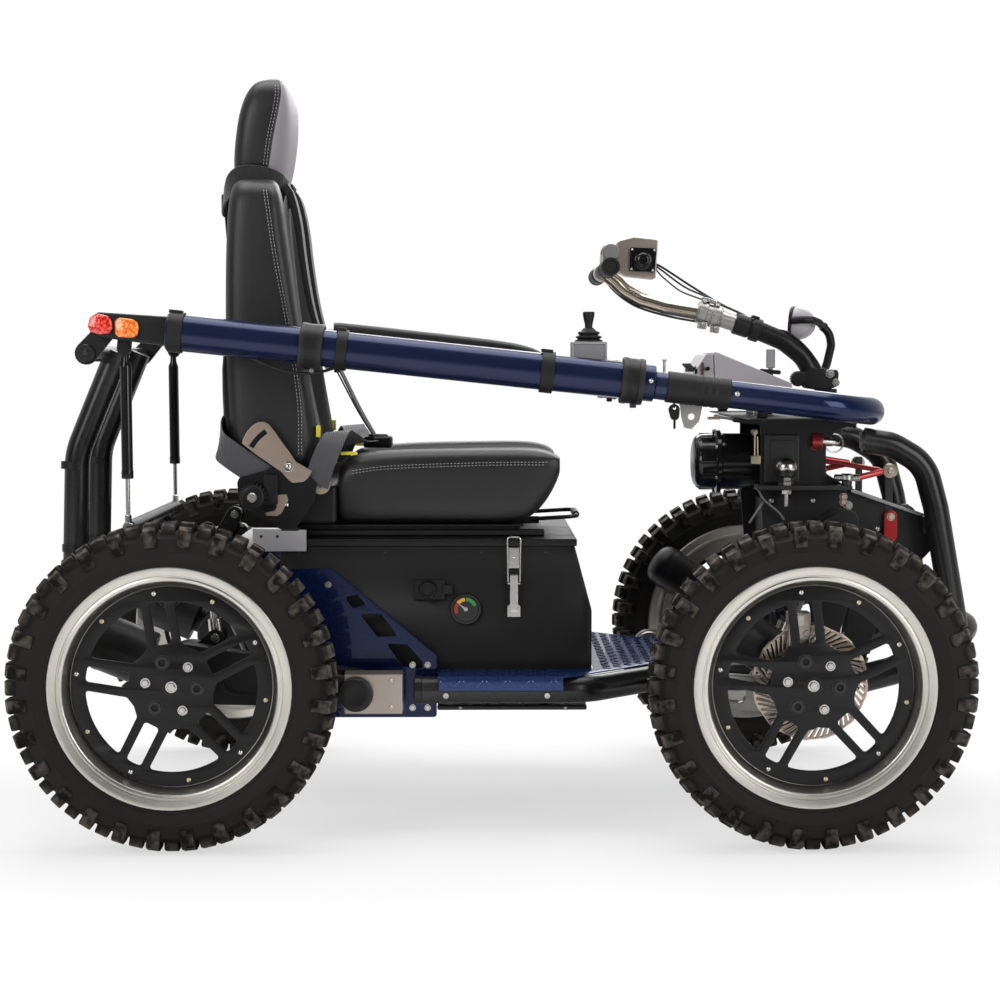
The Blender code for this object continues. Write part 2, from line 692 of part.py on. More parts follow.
def make_side_plate(label, side):
    """The blue side plate with its windows, and the bronze pivot block and cap it carries."""
    y_low, y_high = sorted((side * (PLATE_Y - 0.003), side * (PLATE_Y + 0.003)))
    edge = [(-0.486, 0.479), (-0.297, 0.483), (-0.103, 0.320)]
    edge += [(-0.103, 0.204), (-0.293, 0.204), (-0.486, 0.400)]
    slot = [(-0.229, 0.366), (-0.195, 0.366), (-0.161, 0.329), (-0.199, 0.329)]
    notch = [(-0.262, 0.396), (-0.236, 0.404), (-0.224, 0.386), (-0.254, 0.384)]
    skin = plate([edge, slot, notch], y_low, y_high)
    inner, outer = REAR_ARM_Y + 0.0205, REAR_ARM_Y + 0.070
    pivot = REAR_PIVOT
    span = sorted((side * inner, side * outer))
    block = box((pivot.x - 0.022, span[0], pivot.z - 0.043), (pivot.x + 0.084, span[1], pivot.z + 0.031))
    bridge_span = sorted((side * PLATE_Y, side * (inner + 0.010)))
    bridge_start = (pivot.x + 0.048, bridge_span[0], pivot.z - 0.040)
    bridge_end = (pivot.x + 0.082, bridge_span[1], pivot.z + 0.028)
    bridge = box(bridge_start, bridge_end)
    cap = turned(
        [(0, -0.004), (0.031, -0.004), (0.031, 0.013), (0.028, 0.016), (0, 0.016)],
        (pivot.x, side * outer, pivot.z), (pivot.x, side * (outer + 1), pivot.z), 12,
    )
    boss_end = (pivot.x, side * (REAR_ARM_Y - 0.0195), pivot.z)
    boss = rod((pivot.x, side * PLATE_Y, pivot.z), boss_end, 0.026, 10)
    piece(f"rear_side_plate_{label}", "metallic_blue", [skin, block, bridge, as_mesh(cap), boss])


def box_outline(shrink=0.0, top=BOX_TOP):
    return [
        (BOX_REAR + shrink, BOX_FLOOR + shrink),
        (BOX_REAR + shrink, top),
        (BOX_FRONT - 0.032 - shrink, top),
        (BOX_FRONT - shrink, BOX_TOP - 0.120),
        (BOX_FRONT - shrink, BOX_FLOOR + shrink),
    ]


def make_battery_box():
    """The open-topped battery box and the pack inside it."""
    shell = plate([box_outline()], -BOX_HALF_WIDTH, BOX_HALF_WIDTH)
    inside = BOX_HALF_WIDTH - BOX_WALL
    hollow = plate([box_outline(BOX_WALL, BOX_TOP + 0.010)], -inside, inside)
    keepers = []
    for side in (-1, 1):
        span = sorted((side * (BOX_HALF_WIDTH - 0.001), side * (BOX_HALF_WIDTH + 0.004)))
        keepers.append(box((0.029, span[0], 0.430), (0.053, span[1], 0.452)))
    piece("battery_box", "satin_black", [shell, *keepers], [hollow])
    low = (BOX_REAR + 0.040, -BOX_HALF_WIDTH + 0.030, BOX_FLOOR + BOX_WALL + GAP)
    high = (BOX_FRONT - 0.060, BOX_HALF_WIDTH - 0.030, BOX_TOP - 0.060)
    pack = box(low, high)
    posts = [rod((x, 0.0, high[2] - 0.002), (x, 0.0, high[2] + 0.014), 0.012, 8) for x in (-0.25, -0.05)]
    piece("battery_pack", "grey_plastic", [pack, *posts])


LID_LOW = BOX_TOP + GAP
LID_HIGH = LID_LOW + 0.014
RAIL_TOP = LID_HIGH + 0.011
SEAT_RAIL_Y = 0.170
SEAT_FLOOR = RAIL_TOP + GAP + 0.012
LID_HINGE = Vector((BOX_REAR - 0.004, 0, LID_LOW + 0.007))


def make_lid(lid_empty):
    edge = BOX_HALF_WIDTH + 0.002
    lid = box((BOX_REAR - 0.004, -edge, LID_LOW), (BOX_FRONT - 0.028, edge, LID_HIGH))
    shapes = [lid]
    for side in (-1, 1):
        y = side * SEAT_RAIL_Y
        rail_end = (BOX_FRONT - 0.087, y + 0.018, RAIL_TOP)
        shapes.append(box((BOX_REAR + 0.020, y - 0.018, LID_HIGH - 0.001), rail_end))
        catch = sorted((side * (edge - 0.001), side * (edge + 0.0055)))
        shapes.append(box((0.031, catch[0], LID_LOW + 0.001), (0.051, catch[1], LID_HIGH - 0.002)))
    barrel_x = LID_HINGE.x - 0.004
    barrel = rod((barrel_x, -0.18, LID_HINGE.z), (barrel_x, 0.18, LID_HINGE.z), 0.0055, 6)
    shapes.append(barrel)
    piece("battery_lid", "satin_black", shapes, parent=lid_empty)


LATCH_PIVOT = Vector((0.041, BOX_HALF_WIDTH + 0.0105, 0.401))


def make_latch(label, side, latch_empty):
    """A toggle latch: a lever with its wire bail, which reaches up to the lid's catch."""
    y = side * LATCH_PIVOT.y
    span = sorted((side * (LATCH_PIVOT.y - 0.0055), side * (LATCH_PIVOT.y + 0.0045)))
    lever = box((0.0335, span[0], 0.398), (0.0485, span[1], 0.470))
    wire = 0.002
    bail = [(0.0300, y, 0.450), (0.0280, y, 0.5385), (0.0540, y, 0.5385), (0.0520, y, 0.450)]
    loop = tube(bail, wire, 4, bend=0.006, steps=1)
    foot = rod((0.0285, y, 0.452), (0.0535, y, 0.452), 0.003, 6)
    piece(f"latch_{label}", "steel", [lever, loop, foot], parent=latch_empty)


def flat_sheet(outline, z_low, z_high):
    """A level sheet from its plan outline of (x, y) points."""
    bm = bmesh.new()
    face = bm.faces.new([bm.verts.new((x, y, z_low)) for x, y in outline])
    drawn = bmesh.ops.extrude_face_region(bm, geom=[face])["geom"]
    lifted = [item for item in drawn if isinstance(item, bmesh.types.BMVert)]
    bmesh.ops.translate(bm, vec=(0, 0, z_high - z_low), verts=lifted)
    return helper(mesh_from(bm, 30))


def make_footboard():
    """The chequer plate: strips beside the battery box, the floor in front of it and a toe board."""
    thick = 0.003
    side_y = BAR_Y + 0.016
    clear = BOX_HALF_WIDTH + 0.004
    neck = FRONT_TUBE_Y + 0.005
    lip_y = BAR_Y + SIDE_TUBE_RADIUS
    half = [(-0.100, clear), (-0.100, lip_y + 0.0040), (0.131, lip_y + 0.0040)]
    half += [(0.150, side_y), (0.300, neck), (0.430, neck)]
    other_half = [(x, -y) for x, y in reversed(half)]
    outline = [(BOX_FRONT + 0.003, clear), *half, *other_half, (BOX_FRONT + 0.003, -clear)]
    sheet = flat_sheet(outline, FLOOR_HEIGHT - thick, FLOOR_HEIGHT)
    toe = box((0.415, -0.155, FLOOR_HEIGHT + 0.030), (0.535, 0.155, FLOOR_HEIGHT + 0.033), tilt_deg=-35)
    shapes = [sheet, toe]
    for side in (-1, 1):
        span = sorted((side * (lip_y + 0.0010), side * (lip_y + 0.0045)))
        shapes.append(box((-0.098, span[0], TUBE_AXIS_Z + 0.002), (0.129, span[1], FLOOR_HEIGHT - 0.001)))
    piece("footboard", "metallic_blue", shapes)


TOWER_TOP = 0.758
STEER_AXIS = Vector((FRONT + 0.103, 0, TOWER_TOP))


def make_front_tower():
    """The front tower: two cut-out side plates, their cross members, the shock mounts and a domed motor."""
    f = FRONT
    foot = TUBE_AXIS_Z + RAIL_RADIUS - 0.004 + GAP
    edge = [
        (f - 0.106, TOWER_TOP), (f + 0.134, TOWER_TOP), (f + 0.134, 0.640), (f + 0.304, 0.578),
        (f + 0.304, 0.532), (f + 0.190, 0.410), (f + 0.150, foot), (f - 0.020, foot), (f - 0.040, 0.480),
        (f - 0.106, 0.620),
    ]
    window = [(f + 0.010, 0.325), (f + 0.110, 0.325), (f + 0.135, 0.440), (f + 0.010, 0.440)]
    shapes = []
    for side in (-1, 1):
        span = sorted((side * (TOWER_HALF - 0.005), side * TOWER_HALF))
        shapes.append(plate([edge, window], *span))
        shapes += shock_ears(FRONT_SHOCK_TOP, side, FRONT_SHOCK_Y, Vector((f + 0.090, 0, 0.570)))
    inside = TOWER_HALF - 0.002
    shapes.append(box((f - 0.1055, -inside, TOWER_TOP - 0.006), (f + 0.1335, inside, TOWER_TOP - 0.0005)))
    shapes.append(box((f - 0.020, -inside, 0.500), (f + 0.120, inside, 0.590)))
    shapes.append(box((f + 0.126, -inside + 0.0005, 0.595), (f + 0.1330, inside - 0.0005, TOWER_TOP - 0.003)))
    shapes.append(box((f - 0.010, -inside, foot + 0.0005), (f + 0.1450, inside, foot + 0.008)))
    ends = FRONT_SHOCK_Y + EAR_REACH - 0.001
    shapes.append(rod((f + 0.090, -ends, 0.570), (f + 0.090, ends, 0.570), 0.014, 8))
    shapes.append(rod((f + 0.288, -inside, 0.555), (f + 0.288, inside, 0.555), 0.012, 8))
    dome = [(0, -0.052), (0.055, -0.052), (0.055, 0.095), (0.034, 0.122), (0, 0.125)]
    shapes.append(as_mesh(turned(dome, (f - 0.046, -0.045, 0.670), (f - 1, -0.045, 0.670), 8)))
    shapes.append(box((f - 0.020, -inside, 0.600), (f + 0.010, 0.020, 0.632)))
    piece("front_tower", "frame_black", shapes)


def make_rear_hoop():
    """The rear hoop: two bent uprights and the cross bar on whose ends the side bars turn."""
    shapes = []
    foot_z = RAIL_HEIGHT + RAIL_RADIUS + GAP + 0.0010
    for side in (1, -1):
        path = [(REAR - 0.237, HOOP_HALF, foot_z)]
        path += [(REAR - 0.230, HOOP_HALF, 0.690), (REAR - 0.196, HOOP_HALF, 0.773)]
        path.append((REAR - 0.150, HOOP_HALF, HINGE_BAR.z + 0.004))
        shapes.append(tube(mirrored_y(path, side), HOOP_TUBE_RADIUS, 8, bend=0.14, steps=2))
    ends = Vector((0, BAR_Y - 0.022, 0))
    shapes.append(rod(HINGE_BAR - ends, HINGE_BAR + ends, 0.0150, 8))
    piece("rear_hoop", "frame_black", shapes)


def make_bull_bar():
    """The bull bar: a lower hoop that wraps the nose, and two bent uprights."""
    f = FRONT
    reach = BULL_BAR_REACH - 0.02627
    lower = [(FRONT_END_X + 0.0075, 0.200, TUBE_AXIS_Z), (f + 0.200, 0.200, 0.278), (f + reach, 0.200, 0.355)]
    shapes = [tube(both_sides(lower), 0.027, 8, bend=0.075)]
    for side in (1, -1):
        path = [(f + 0.137, 0.200, 0.717), (f + 0.190, 0.200, 0.709), (f + 0.253, 0.200, 0.672)]
        path += [(f + 0.276, 0.200, 0.588), (f + 0.318, 0.200, 0.352)]
        shapes.append(tube(mirrored_y(path, side), BULL_TUBE_RADIUS, 8, bend=0.08, steps=1))
        span = sorted((side * (TOWER_HALF + GAP), side * 0.190))
        shapes.append(box((f + 0.137, span[0], 0.700), (f + 0.160, span[1], 0.734)))
        shapes.append(box((f + 0.255, span[0], 0.538), (f + 0.300, span[1], 0.572)))
    piece("bull_bar", "frame_black", shapes)


COLLAR_X = 0.297


def make_nose_loop():
    """The blue loop round the nose with the deck plate below it, level with the side bars."""
    f = FRONT
    side_line = [(COLLAR_X, BAR_Y, bar_height(COLLAR_X)), (f + 0.146, BAR_Y, bar_height(f + 0.146))]
    shapes = [tube(both_sides(side_line), 0.0255, 10, bend=0.12)]
    deck_low = TOWER_TOP + GAP
    deck_front = f + 0.150
    corner = 0.05
    half = [(f - 0.096, BAR_Y - 0.010), (deck_front - corner, BAR_Y - 0.010)]
    half += [(deck_front, BAR_Y - 0.010 - corner)]
    outline = [*half, *[(x, -y) for x, y in reversed(half)]]
    shapes.append(flat_sheet(outline, deck_low, deck_low + 0.003))
    for side in (-1, 1):
        for x in (f - 0.070, f + 0.060):
            top = (x, side * BAR_Y, bar_height(x))
            shapes.append(rod((x, side * (BAR_Y - 0.028), deck_low + 0.001), top, 0.0100, 6))
    piece("nose_loop", "metallic_blue", shapes)


# Side bars

STRUT_HEAD = Vector((REAR - 0.106, 0, 0.888))


def make_side_bar(label, side, bar_empty):
    """A lifting side bar: the tube with its clamps and collars, the lamp block and the hinge ear."""
    start = Vector((-0.590, side * BAR_Y, bar_height(-0.590)))
    end = Vector((COLLAR_X - 0.002, side * BAR_Y, bar_height(COLLAR_X - 0.002)))
    r = SIDE_BAR_RADIUS

    def along(x):
        return (x - start.x) / (end.x - start.x) * (end - start).length

    profile = [(0, 0), (r, 0)]
    for x, proud, half in ((-0.575, 0.004, 0.012), (-0.328, 0.008, 0.021), (0.100, 0.005, 0.014)):
        before, after = along(x - half), along(x + half)
        profile += [(r, before), (r + proud, before), (r + proud, after), (r, after)]
    tip = (end - start).length
    profile += [(r, along(0.236)), (r + 0.009, along(0.236)), (r + 0.009, tip), (0, tip)]
    bar = as_mesh(turned(profile, start, end, 10))
    y_low, y_high = sorted((side * (BAR_Y - 0.024), side * (BAR_Y + 0.024)))
    lamp_edge = [(-0.716, 0.9085), (-0.731, 0.9160), (-0.739, 0.9290), (-0.732, 0.9430), (-0.716, 0.9520)]
    lamp_edge = [(REAR + x + 0.566, z) for x, z in lamp_edge]
    lamp_edge += [(-0.560, bar_height(-0.560) + 0.028), (-0.560, bar_height(-0.560) - 0.028)]
    lamp_block = plate([lamp_edge], y_low, y_high)
    ear_span = sorted((side * (BAR_Y - 0.0210), side * (BAR_Y - 0.0130)))
    ear_outline = hull_of_circles((HINGE_BAR.x, HINGE_BAR.z), 0.021, (HINGE_BAR.x + 0.040, 0.925), 0.018, 2)
    ear = plate([ear_outline], *ear_span)
    strut_y = STRUT_Y + 0.0085
    hanger_span = sorted((side * strut_y, side * (strut_y + 0.009)))
    hanger_top = (STRUT_HEAD.x + 0.004, 0.925)
    hanger_outline = hull_of_circles((STRUT_HEAD.x, STRUT_HEAD.z), 0.013, hanger_top, 0.013, 2)
    hanger = plate([hanger_outline], *hanger_span)
    piece(f"side_bar_{label}", "metallic_blue", [bar, lamp_block, ear, hanger], parent=bar_empty)


def make_armrest(label, side, bar_empty):
    """A padded armrest along the inner edge of a side bar."""
    y_mid = BAR_Y - SIDE_BAR_RADIUS - 0.026
    x_low, x_high = -0.288, 0.092
    middle = Vector(((x_low + x_high) / 2, side * y_mid, bar_height((x_low + x_high) / 2) + 0.034))
    bm = bmesh.new()
    bmesh.ops.create_cube(bm, size=1.0)
    bmesh.ops.scale(bm, vec=(x_high - x_low, 0.044, 0.034), verts=bm.verts)
    bmesh.ops.bevel(bm, geom=bm.edges[:], offset=0.011, segments=1, affect="EDGES", profile=0.5, material=-1)
    turn = Matrix.Rotation(math.radians(SIDE_BAR_SLOPE_DEG), 4, "Y")
    pad = helper(mesh_from(bm, 50), Matrix.Translation(middle) @ turn)
    piece(f"armrest_{label}", "vinyl", [pad], parent=bar_empty)


def make_strut(label, side, rod_empty, cylinder_empty):
    """A gas strut: the thin rod stands on the frame and the cylinder slides on it."""
    foot = Vector((STRUT_FOOT.x, side * STRUT_Y, STRUT_FOOT.z))
    head = Vector((STRUT_HEAD.x, side * STRUT_Y, STRUT_HEAD.z))
    length = (head - foot).length
    up = (head - foot).normalized()
    across = Vector((0, 0.009, 0))
    inside = 0.120
    cylinder_start = 0.090
    stem = rod(foot, foot + up * (cylinder_start + inside), 0.004, 6)
    eye = rod(foot - across, foot + across, 0.010, 8)
    piece(f"strut_rod_{label}", "steel", [stem, eye], parent=rod_empty)
    bore_end = cylinder_start + inside + 0.008
    profile = [(0, bore_end), (0.0055, bore_end), (0.0055, cylinder_start), (0.0110, cylinder_start)]
    profile += [(0.0110, length - 0.030), (0.0060, length - 0.022), (0.0060, length), (0, length)]
    case = as_mesh(turned(profile, foot, head, 8))
    top_eye = rod(head - across * 0.8, head + across * 0.8, 0.009, 8)
    piece(f"strut_cylinder_{label}", "dark_plastic", [case, top_eye], parent=cylinder_empty)


# Seat

RECLINE = Vector((-0.378, 0, 0.670))
CUSHION_LOW = SEAT_FLOOR + 0.001


def make_seat_base(seat_empty):
    """The sliding seat frame: channels on the rails, a pan, and the bronze recliner quadrants."""
    base_rear, base_front = BOX_REAR - 0.006, 0.060
    shapes = [box((base_rear, -0.200, RAIL_TOP + 0.008), (base_front, 0.200, SEAT_FLOOR))]
    for side in (-1, 1):
        y = side * SEAT_RAIL_Y
        channel_end = (base_front - 0.005, y + 0.016, RAIL_TOP + 0.010)
        shapes.append(box((BOX_REAR + 0.020, y - 0.016, RAIL_TOP + GAP), channel_end))
        inner = SEAT_WIDTH / 2 + 0.014
        span = sorted((side * inner, side * (inner + 0.005)))
        x, z = RECLINE.x, RECLINE.z
        edge = [
            (x - 0.068, z + 0.052), (x - 0.050, z + 0.080), (x - 0.034, z + 0.080), (x + 0.052, z - 0.010),
            (x + 0.052, z - 0.060), (x + 0.010, SEAT_FLOOR - 0.005), (x - 0.050, SEAT_FLOOR - 0.005),
            (x - 0.052, z - 0.050), (x - 0.020, z - 0.030),
        ]
        arc = [math.radians(a) for a in (116, 128, 140)]
        slot = [(x + 0.078 * math.cos(a), z + 0.078 * math.sin(a)) for a in arc]
        slot += [(x + 0.064 * math.cos(a), z + 0.064 * math.sin(a)) for a in reversed(arc)]
        shapes.append(plate([edge, slot], *span))
        foot_span = sorted((side * 0.190, side * (inner + 0.003)))
        foot_end = (x + 0.008, foot_span[1], SEAT_FLOOR - 0.001)
        shapes.append(box((x - 0.015, foot_span[0], SEAT_FLOOR - 0.0085), foot_end))
    knob_y = -(SEAT_WIDTH / 2 + 0.016)
    knob = turned(
        [(0, 0), (0.010, 0), (0.010, 0.010), (0.024, 0.010), (0.021, 0.028), (0, 0.028)],
        (RECLINE.x - 0.030, knob_y, RECLINE.z - 0.066), (RECLINE.x - 0.030, knob_y - 1, RECLINE.z - 0.066), 8,
    )
    shapes.append(as_mesh(knob))
    piece("seat_base", "frame_black", shapes, parent=seat_empty)


def soft_form(rings, sharp_ends=True):
    """A soft form from a coarse cage: a stack of closed rings, each smoothed by a Subdivision Surface."""
    bm = bmesh.new()
    built = [[bm.verts.new(point) for point in ring] for ring in rings]
    count = len(rings[0])
    for lower, upper in zip(built, built[1:]):
        for i in range(count):
            bm.faces.new((lower[i], lower[(i + 1) % count], upper[(i + 1) % count], upper[i]))
    bm.faces.new(reversed(built[0]))
    bm.faces.new(built[-1])
    if sharp_ends:
        for ring in (built[0], built[-1]):
            flat = [face for face in bm.faces if len(face.verts) == count]
            cap = [face for face in flat if all(v in ring for v in face.verts)]
            inner = bmesh.ops.inset_region(bm, faces=cap, thickness=0.025, use_even_offset=True)
            assert inner
    obj = helper(mesh_from(bm, 60))
    smooth = obj.modifiers.new("smooth", "SUBSURF")
    smooth.levels = smooth.render_levels = 1
    return as_mesh(obj)


def cushion_ring(x, half_width, low, high, crown, bolster):
    """One upright section across the cushion: flat below, drawn-in sides, raised bolsters and a crown."""
    waist = (low + high) / 2
    return [
        (x, -half_width * 0.90, low),
        (x, half_width * 0.90, low),
        (x, half_width * 0.975, waist - 0.010),
        (x, half_width, high - 0.022),
        (x, half_width * 0.90, high + bolster),
        (x, half_width * 0.50, high + crown),
        (x, -half_width * 0.50, high + crown),
        (x, -half_width * 0.90, high + bolster),
        (x, -half_width, high - 0.022),
        (x, -half_width * 0.975, waist - 0.010),
    ]


def make_cushion(seat_empty):
    half = SEAT_WIDTH / 2
    low = CUSHION_LOW
    stations = [
        (-0.292, half * 0.95, low + 0.004, 0.668, 0.004, 0.004),
        (-0.250, half, low, 0.688, 0.004, 0.009),
        (-0.120, half, low, 0.698, 0.005, 0.010),
        (0.020, half, low, 0.698, 0.005, 0.009),
        (0.098, half * 0.98, low + 0.028, 0.694, 0.004, 0.005),
        (0.133, half * 0.94, low + 0.070, 0.682, 0.002, 0.000),
    ]
    rings = [cushion_ring(*station) for station in stations]
    piece("seat_cushion", "vinyl", [soft_form(rings)], parent=seat_empty)


def back_ring(z, half_width, rear, front, wing):
    """One level section of the seat back: a flat rear, rounded wings and a front drawn in between them."""
    depth = front - rear
    return [
        (rear, -half_width * 0.80, z),
        (rear, half_width * 0.80, z),
        (rear + depth * 0.40, half_width, z),
        (front + wing, half_width * 0.90, z),
        (front - wing * 0.4, half_width * 0.50, z),
        (front - wing * 0.4, -half_width * 0.50, z),
        (front + wing, -half_width * 0.90, z),
        (rear + depth * 0.40, -half_width, z),
    ]


def make_seat_back(back_empty):
    """The seat back with its narrower head part, and the studs that turn in the recliner quadrants."""
    half = SEAT_WIDTH / 2 - 0.004
    low = RECLINE.z - 0.014
    top = low + SEAT_BACK_HEIGHT
    stations = [
        (low, half * 0.92, -0.478, -0.326, 0.000),
        (low + 0.040, half * 0.97, -0.492, -0.327, 0.008),
        (low + 0.300, half, -0.502, -0.372, 0.014),
        (top - 0.050, half * 0.94, -0.500, -0.396, 0.010),
        (top - 0.008, half * 0.74, -0.500, -0.400, 0.004),
        (top + 0.034, half * 0.50, -0.498, -0.396, 0.002),
        (top + 0.110, half * 0.56, -0.498, -0.384, 0.002),
        (top + 0.164, half * 0.53, -0.484, -0.386, 0.000),
        (top + 0.195, half * 0.36, -0.456, -0.404, 0.000),
    ]
    rings = [back_ring(*station) for station in stations]
    shapes = [soft_form(rings)]
    for side in (-1, 1):
        reach = (side * (SEAT_WIDTH / 2 - 0.030), side * (SEAT_WIDTH / 2 + 0.0130))
        shapes.append(rod((RECLINE.x, reach[0], RECLINE.z), (RECLINE.x, reach[1], RECLINE.z), 0.014, 10))
    piece("seat_back", "vinyl", shapes, parent=back_empty)


LEVER_PIVOT = Vector((0.066, 0, SEAT_FLOOR - 0.006))


def make_slide_lever(lever_empty):
    x, z = LEVER_PIVOT.x, LEVER_PIVOT.z
    path = [(x, 0.100, z), (x + 0.100, 0.100, z + 0.008)]
    loop = tube(both_sides(path), 0.0040, 6, bend=0.018, steps=2)
    piece("slide_lever", "frame_black", [loop], parent=lever_empty)


# Controls


def make_handlebar(steer_empty):
    """The tiller: a bent column that reaches back over the nose to a cross bar with two grips."""
    x0 = STEER_AXIS.x
    column = [(x0, 0, TOWER_TOP + 0.012), (x0, 0, 0.838), (x0 - 0.076, 0, 0.900), (x0 - 0.180, 0, 0.944)]
    column += [(x0 - 0.255, 0, 0.964), (x0 - 0.355, 0, 0.990), (x0 - 0.446, 0, COLUMN_HEIGHT)]
    shapes = [tube(column, 0.0145, 8, bend=0.09, steps=1)]
    bar_x, bar_z = x0 - 0.450, COLUMN_HEIGHT + 0.002
    grip = 0.110
    shapes.append(rod((bar_x, -0.225, bar_z), (bar_x, 0.225, bar_z), 0.0110, 8))
    for side in (-1, 1):
        shapes.append(rod((bar_x, side * (0.220 - grip), bar_z), (bar_x, side * 0.230, bar_z), 0.0165, 10))
    sleeve = [(x0 - 0.180, 0, 0.944), (x0 - 0.100, 0, 0.9125)]
    shapes.append(rod(*sleeve, 0.0200, 8))
    clamp = [(x0 - 0.275, 0, 0.9690), (x0 - 0.225, 0, 0.9560)]
    shapes.append(rod(*clamp, 0.0230, 8))
    shapes.append(rod((x0, 0, TOWER_TOP + 0.005), (x0, 0, TOWER_TOP + 0.020), 0.0165, 10))
    piece("handlebar", "steel", shapes, parent=steer_empty)


def make_control_pod(steer_empty):
    """The switch pod clamped beside the column on the cross bar."""
    x0, z = STEER_AXIS.x, COLUMN_HEIGHT + 0.018
    low, high = (x0 - 0.410, 0.020, z - 0.034), (x0 - 0.342, 0.085, z + 0.042)
    pod = box(low, high, tilt_deg=8)
    dome = rod((x0 - 0.376, 0.022, z + 0.004), (x0 - 0.376, 0.008, z + 0.004), 0.020, 10, 0.012)
    neck = box((x0 - 0.440, 0.035, z - 0.034), (x0 - 0.405, 0.065, z + 0.000))
    cut = rod((x0 - 0.450, -0.3, COLUMN_HEIGHT + 0.002), (x0 - 0.450, 0.3, COLUMN_HEIGHT + 0.002), 0.0125, 8)
    piece("control_pod", "bronze", [pod, dome, neck], [cut], parent=steer_empty)


DECK_TOP = TOWER_TOP + GAP + 0.003


def make_control_panel():
    """The wedge on the nose with the driver's panel on its rear face."""
    f = FRONT
    edge = [(f - 0.132, 0.889), (f - 0.128, 0.828), (f + 0.017, 0.812)]
    edge += [(f + 0.017, 0.820), (f - 0.108, 0.889)]
    body = plate([edge], -0.100, 0.100)
    posts = []
    for y in (-0.060, 0.060):
        posts.append(rod((f - 0.040, y, DECK_TOP + GAP), (f - 0.040, y, 0.825), 0.012, 8))
    piece("control_panel", "grey_plastic", [body, *posts])


MIRROR_Y = 0.140
MIRROR_BALL = Vector((FRONT + 0.086, MIRROR_Y, 0.940))


def make_mirror(mirror_empty):
    """The mirror's stem on the deck and its head, which turns on the stem's end."""
    f = FRONT
    stem = [(f + 0.103, MIRROR_Y, DECK_TOP + 0.0015)]
    stem += [(f + 0.112, MIRROR_Y, 0.880), (f + 0.100, MIRROR_Y, 0.928)]
    piece("mirror_stem", "frame_black", [tube(stem, 0.0070, 8, bend=0.03)])
    x, z = f + 0.048, 0.940
    head = box((x - 0.012, MIRROR_Y - 0.055, z - 0.036), (x + 0.012, MIRROR_Y + 0.055, z + 0.036), 0.008, -32)
    neck = rod((x + 0.002, MIRROR_Y, z + 0.001), (f + 0.088, MIRROR_Y, 0.935), 0.005, 6)
    piece("mirror_head", "grey_plastic", [head, neck], parent=mirror_empty)


JOYSTICK_X = 0.176
JOYSTICK_Y = -(BAR_Y - SIDE_BAR_RADIUS - 0.034)
JOYSTICK_PIVOT = Vector((JOYSTICK_X, JOYSTICK_Y, 0.917))


def make_joystick(bar_empty, stick_empty):
    """The joystick box on the right bar, and the stick with its bellows and knob."""
    x, y = JOYSTICK_X, JOYSTICK_Y
    case = box((x - 0.032, y - 0.030, 0.866), (x + 0.032, y + 0.030, 0.902))
    bellows = rod((x, y, 0.901), (x, y, 0.9155), 0.019, 10, 0.009)
    piece("joystick_box", "grey_plastic", [case, bellows], parent=bar_empty)
    profile = [(0, 0), (0.0045, 0), (0.0045, 0.018), (0.0100, 0.025)]
    profile += [(0.0100, 0.035), (0.0060, 0.039), (0, 0.039)]
    stick = turned(profile, JOYSTICK_PIVOT, JOYSTICK_PIVOT + Vector((0, 0, 1)), 10)
    piece("joystick", "dark_plastic", [as_mesh(stick)], parent=stick_empty)


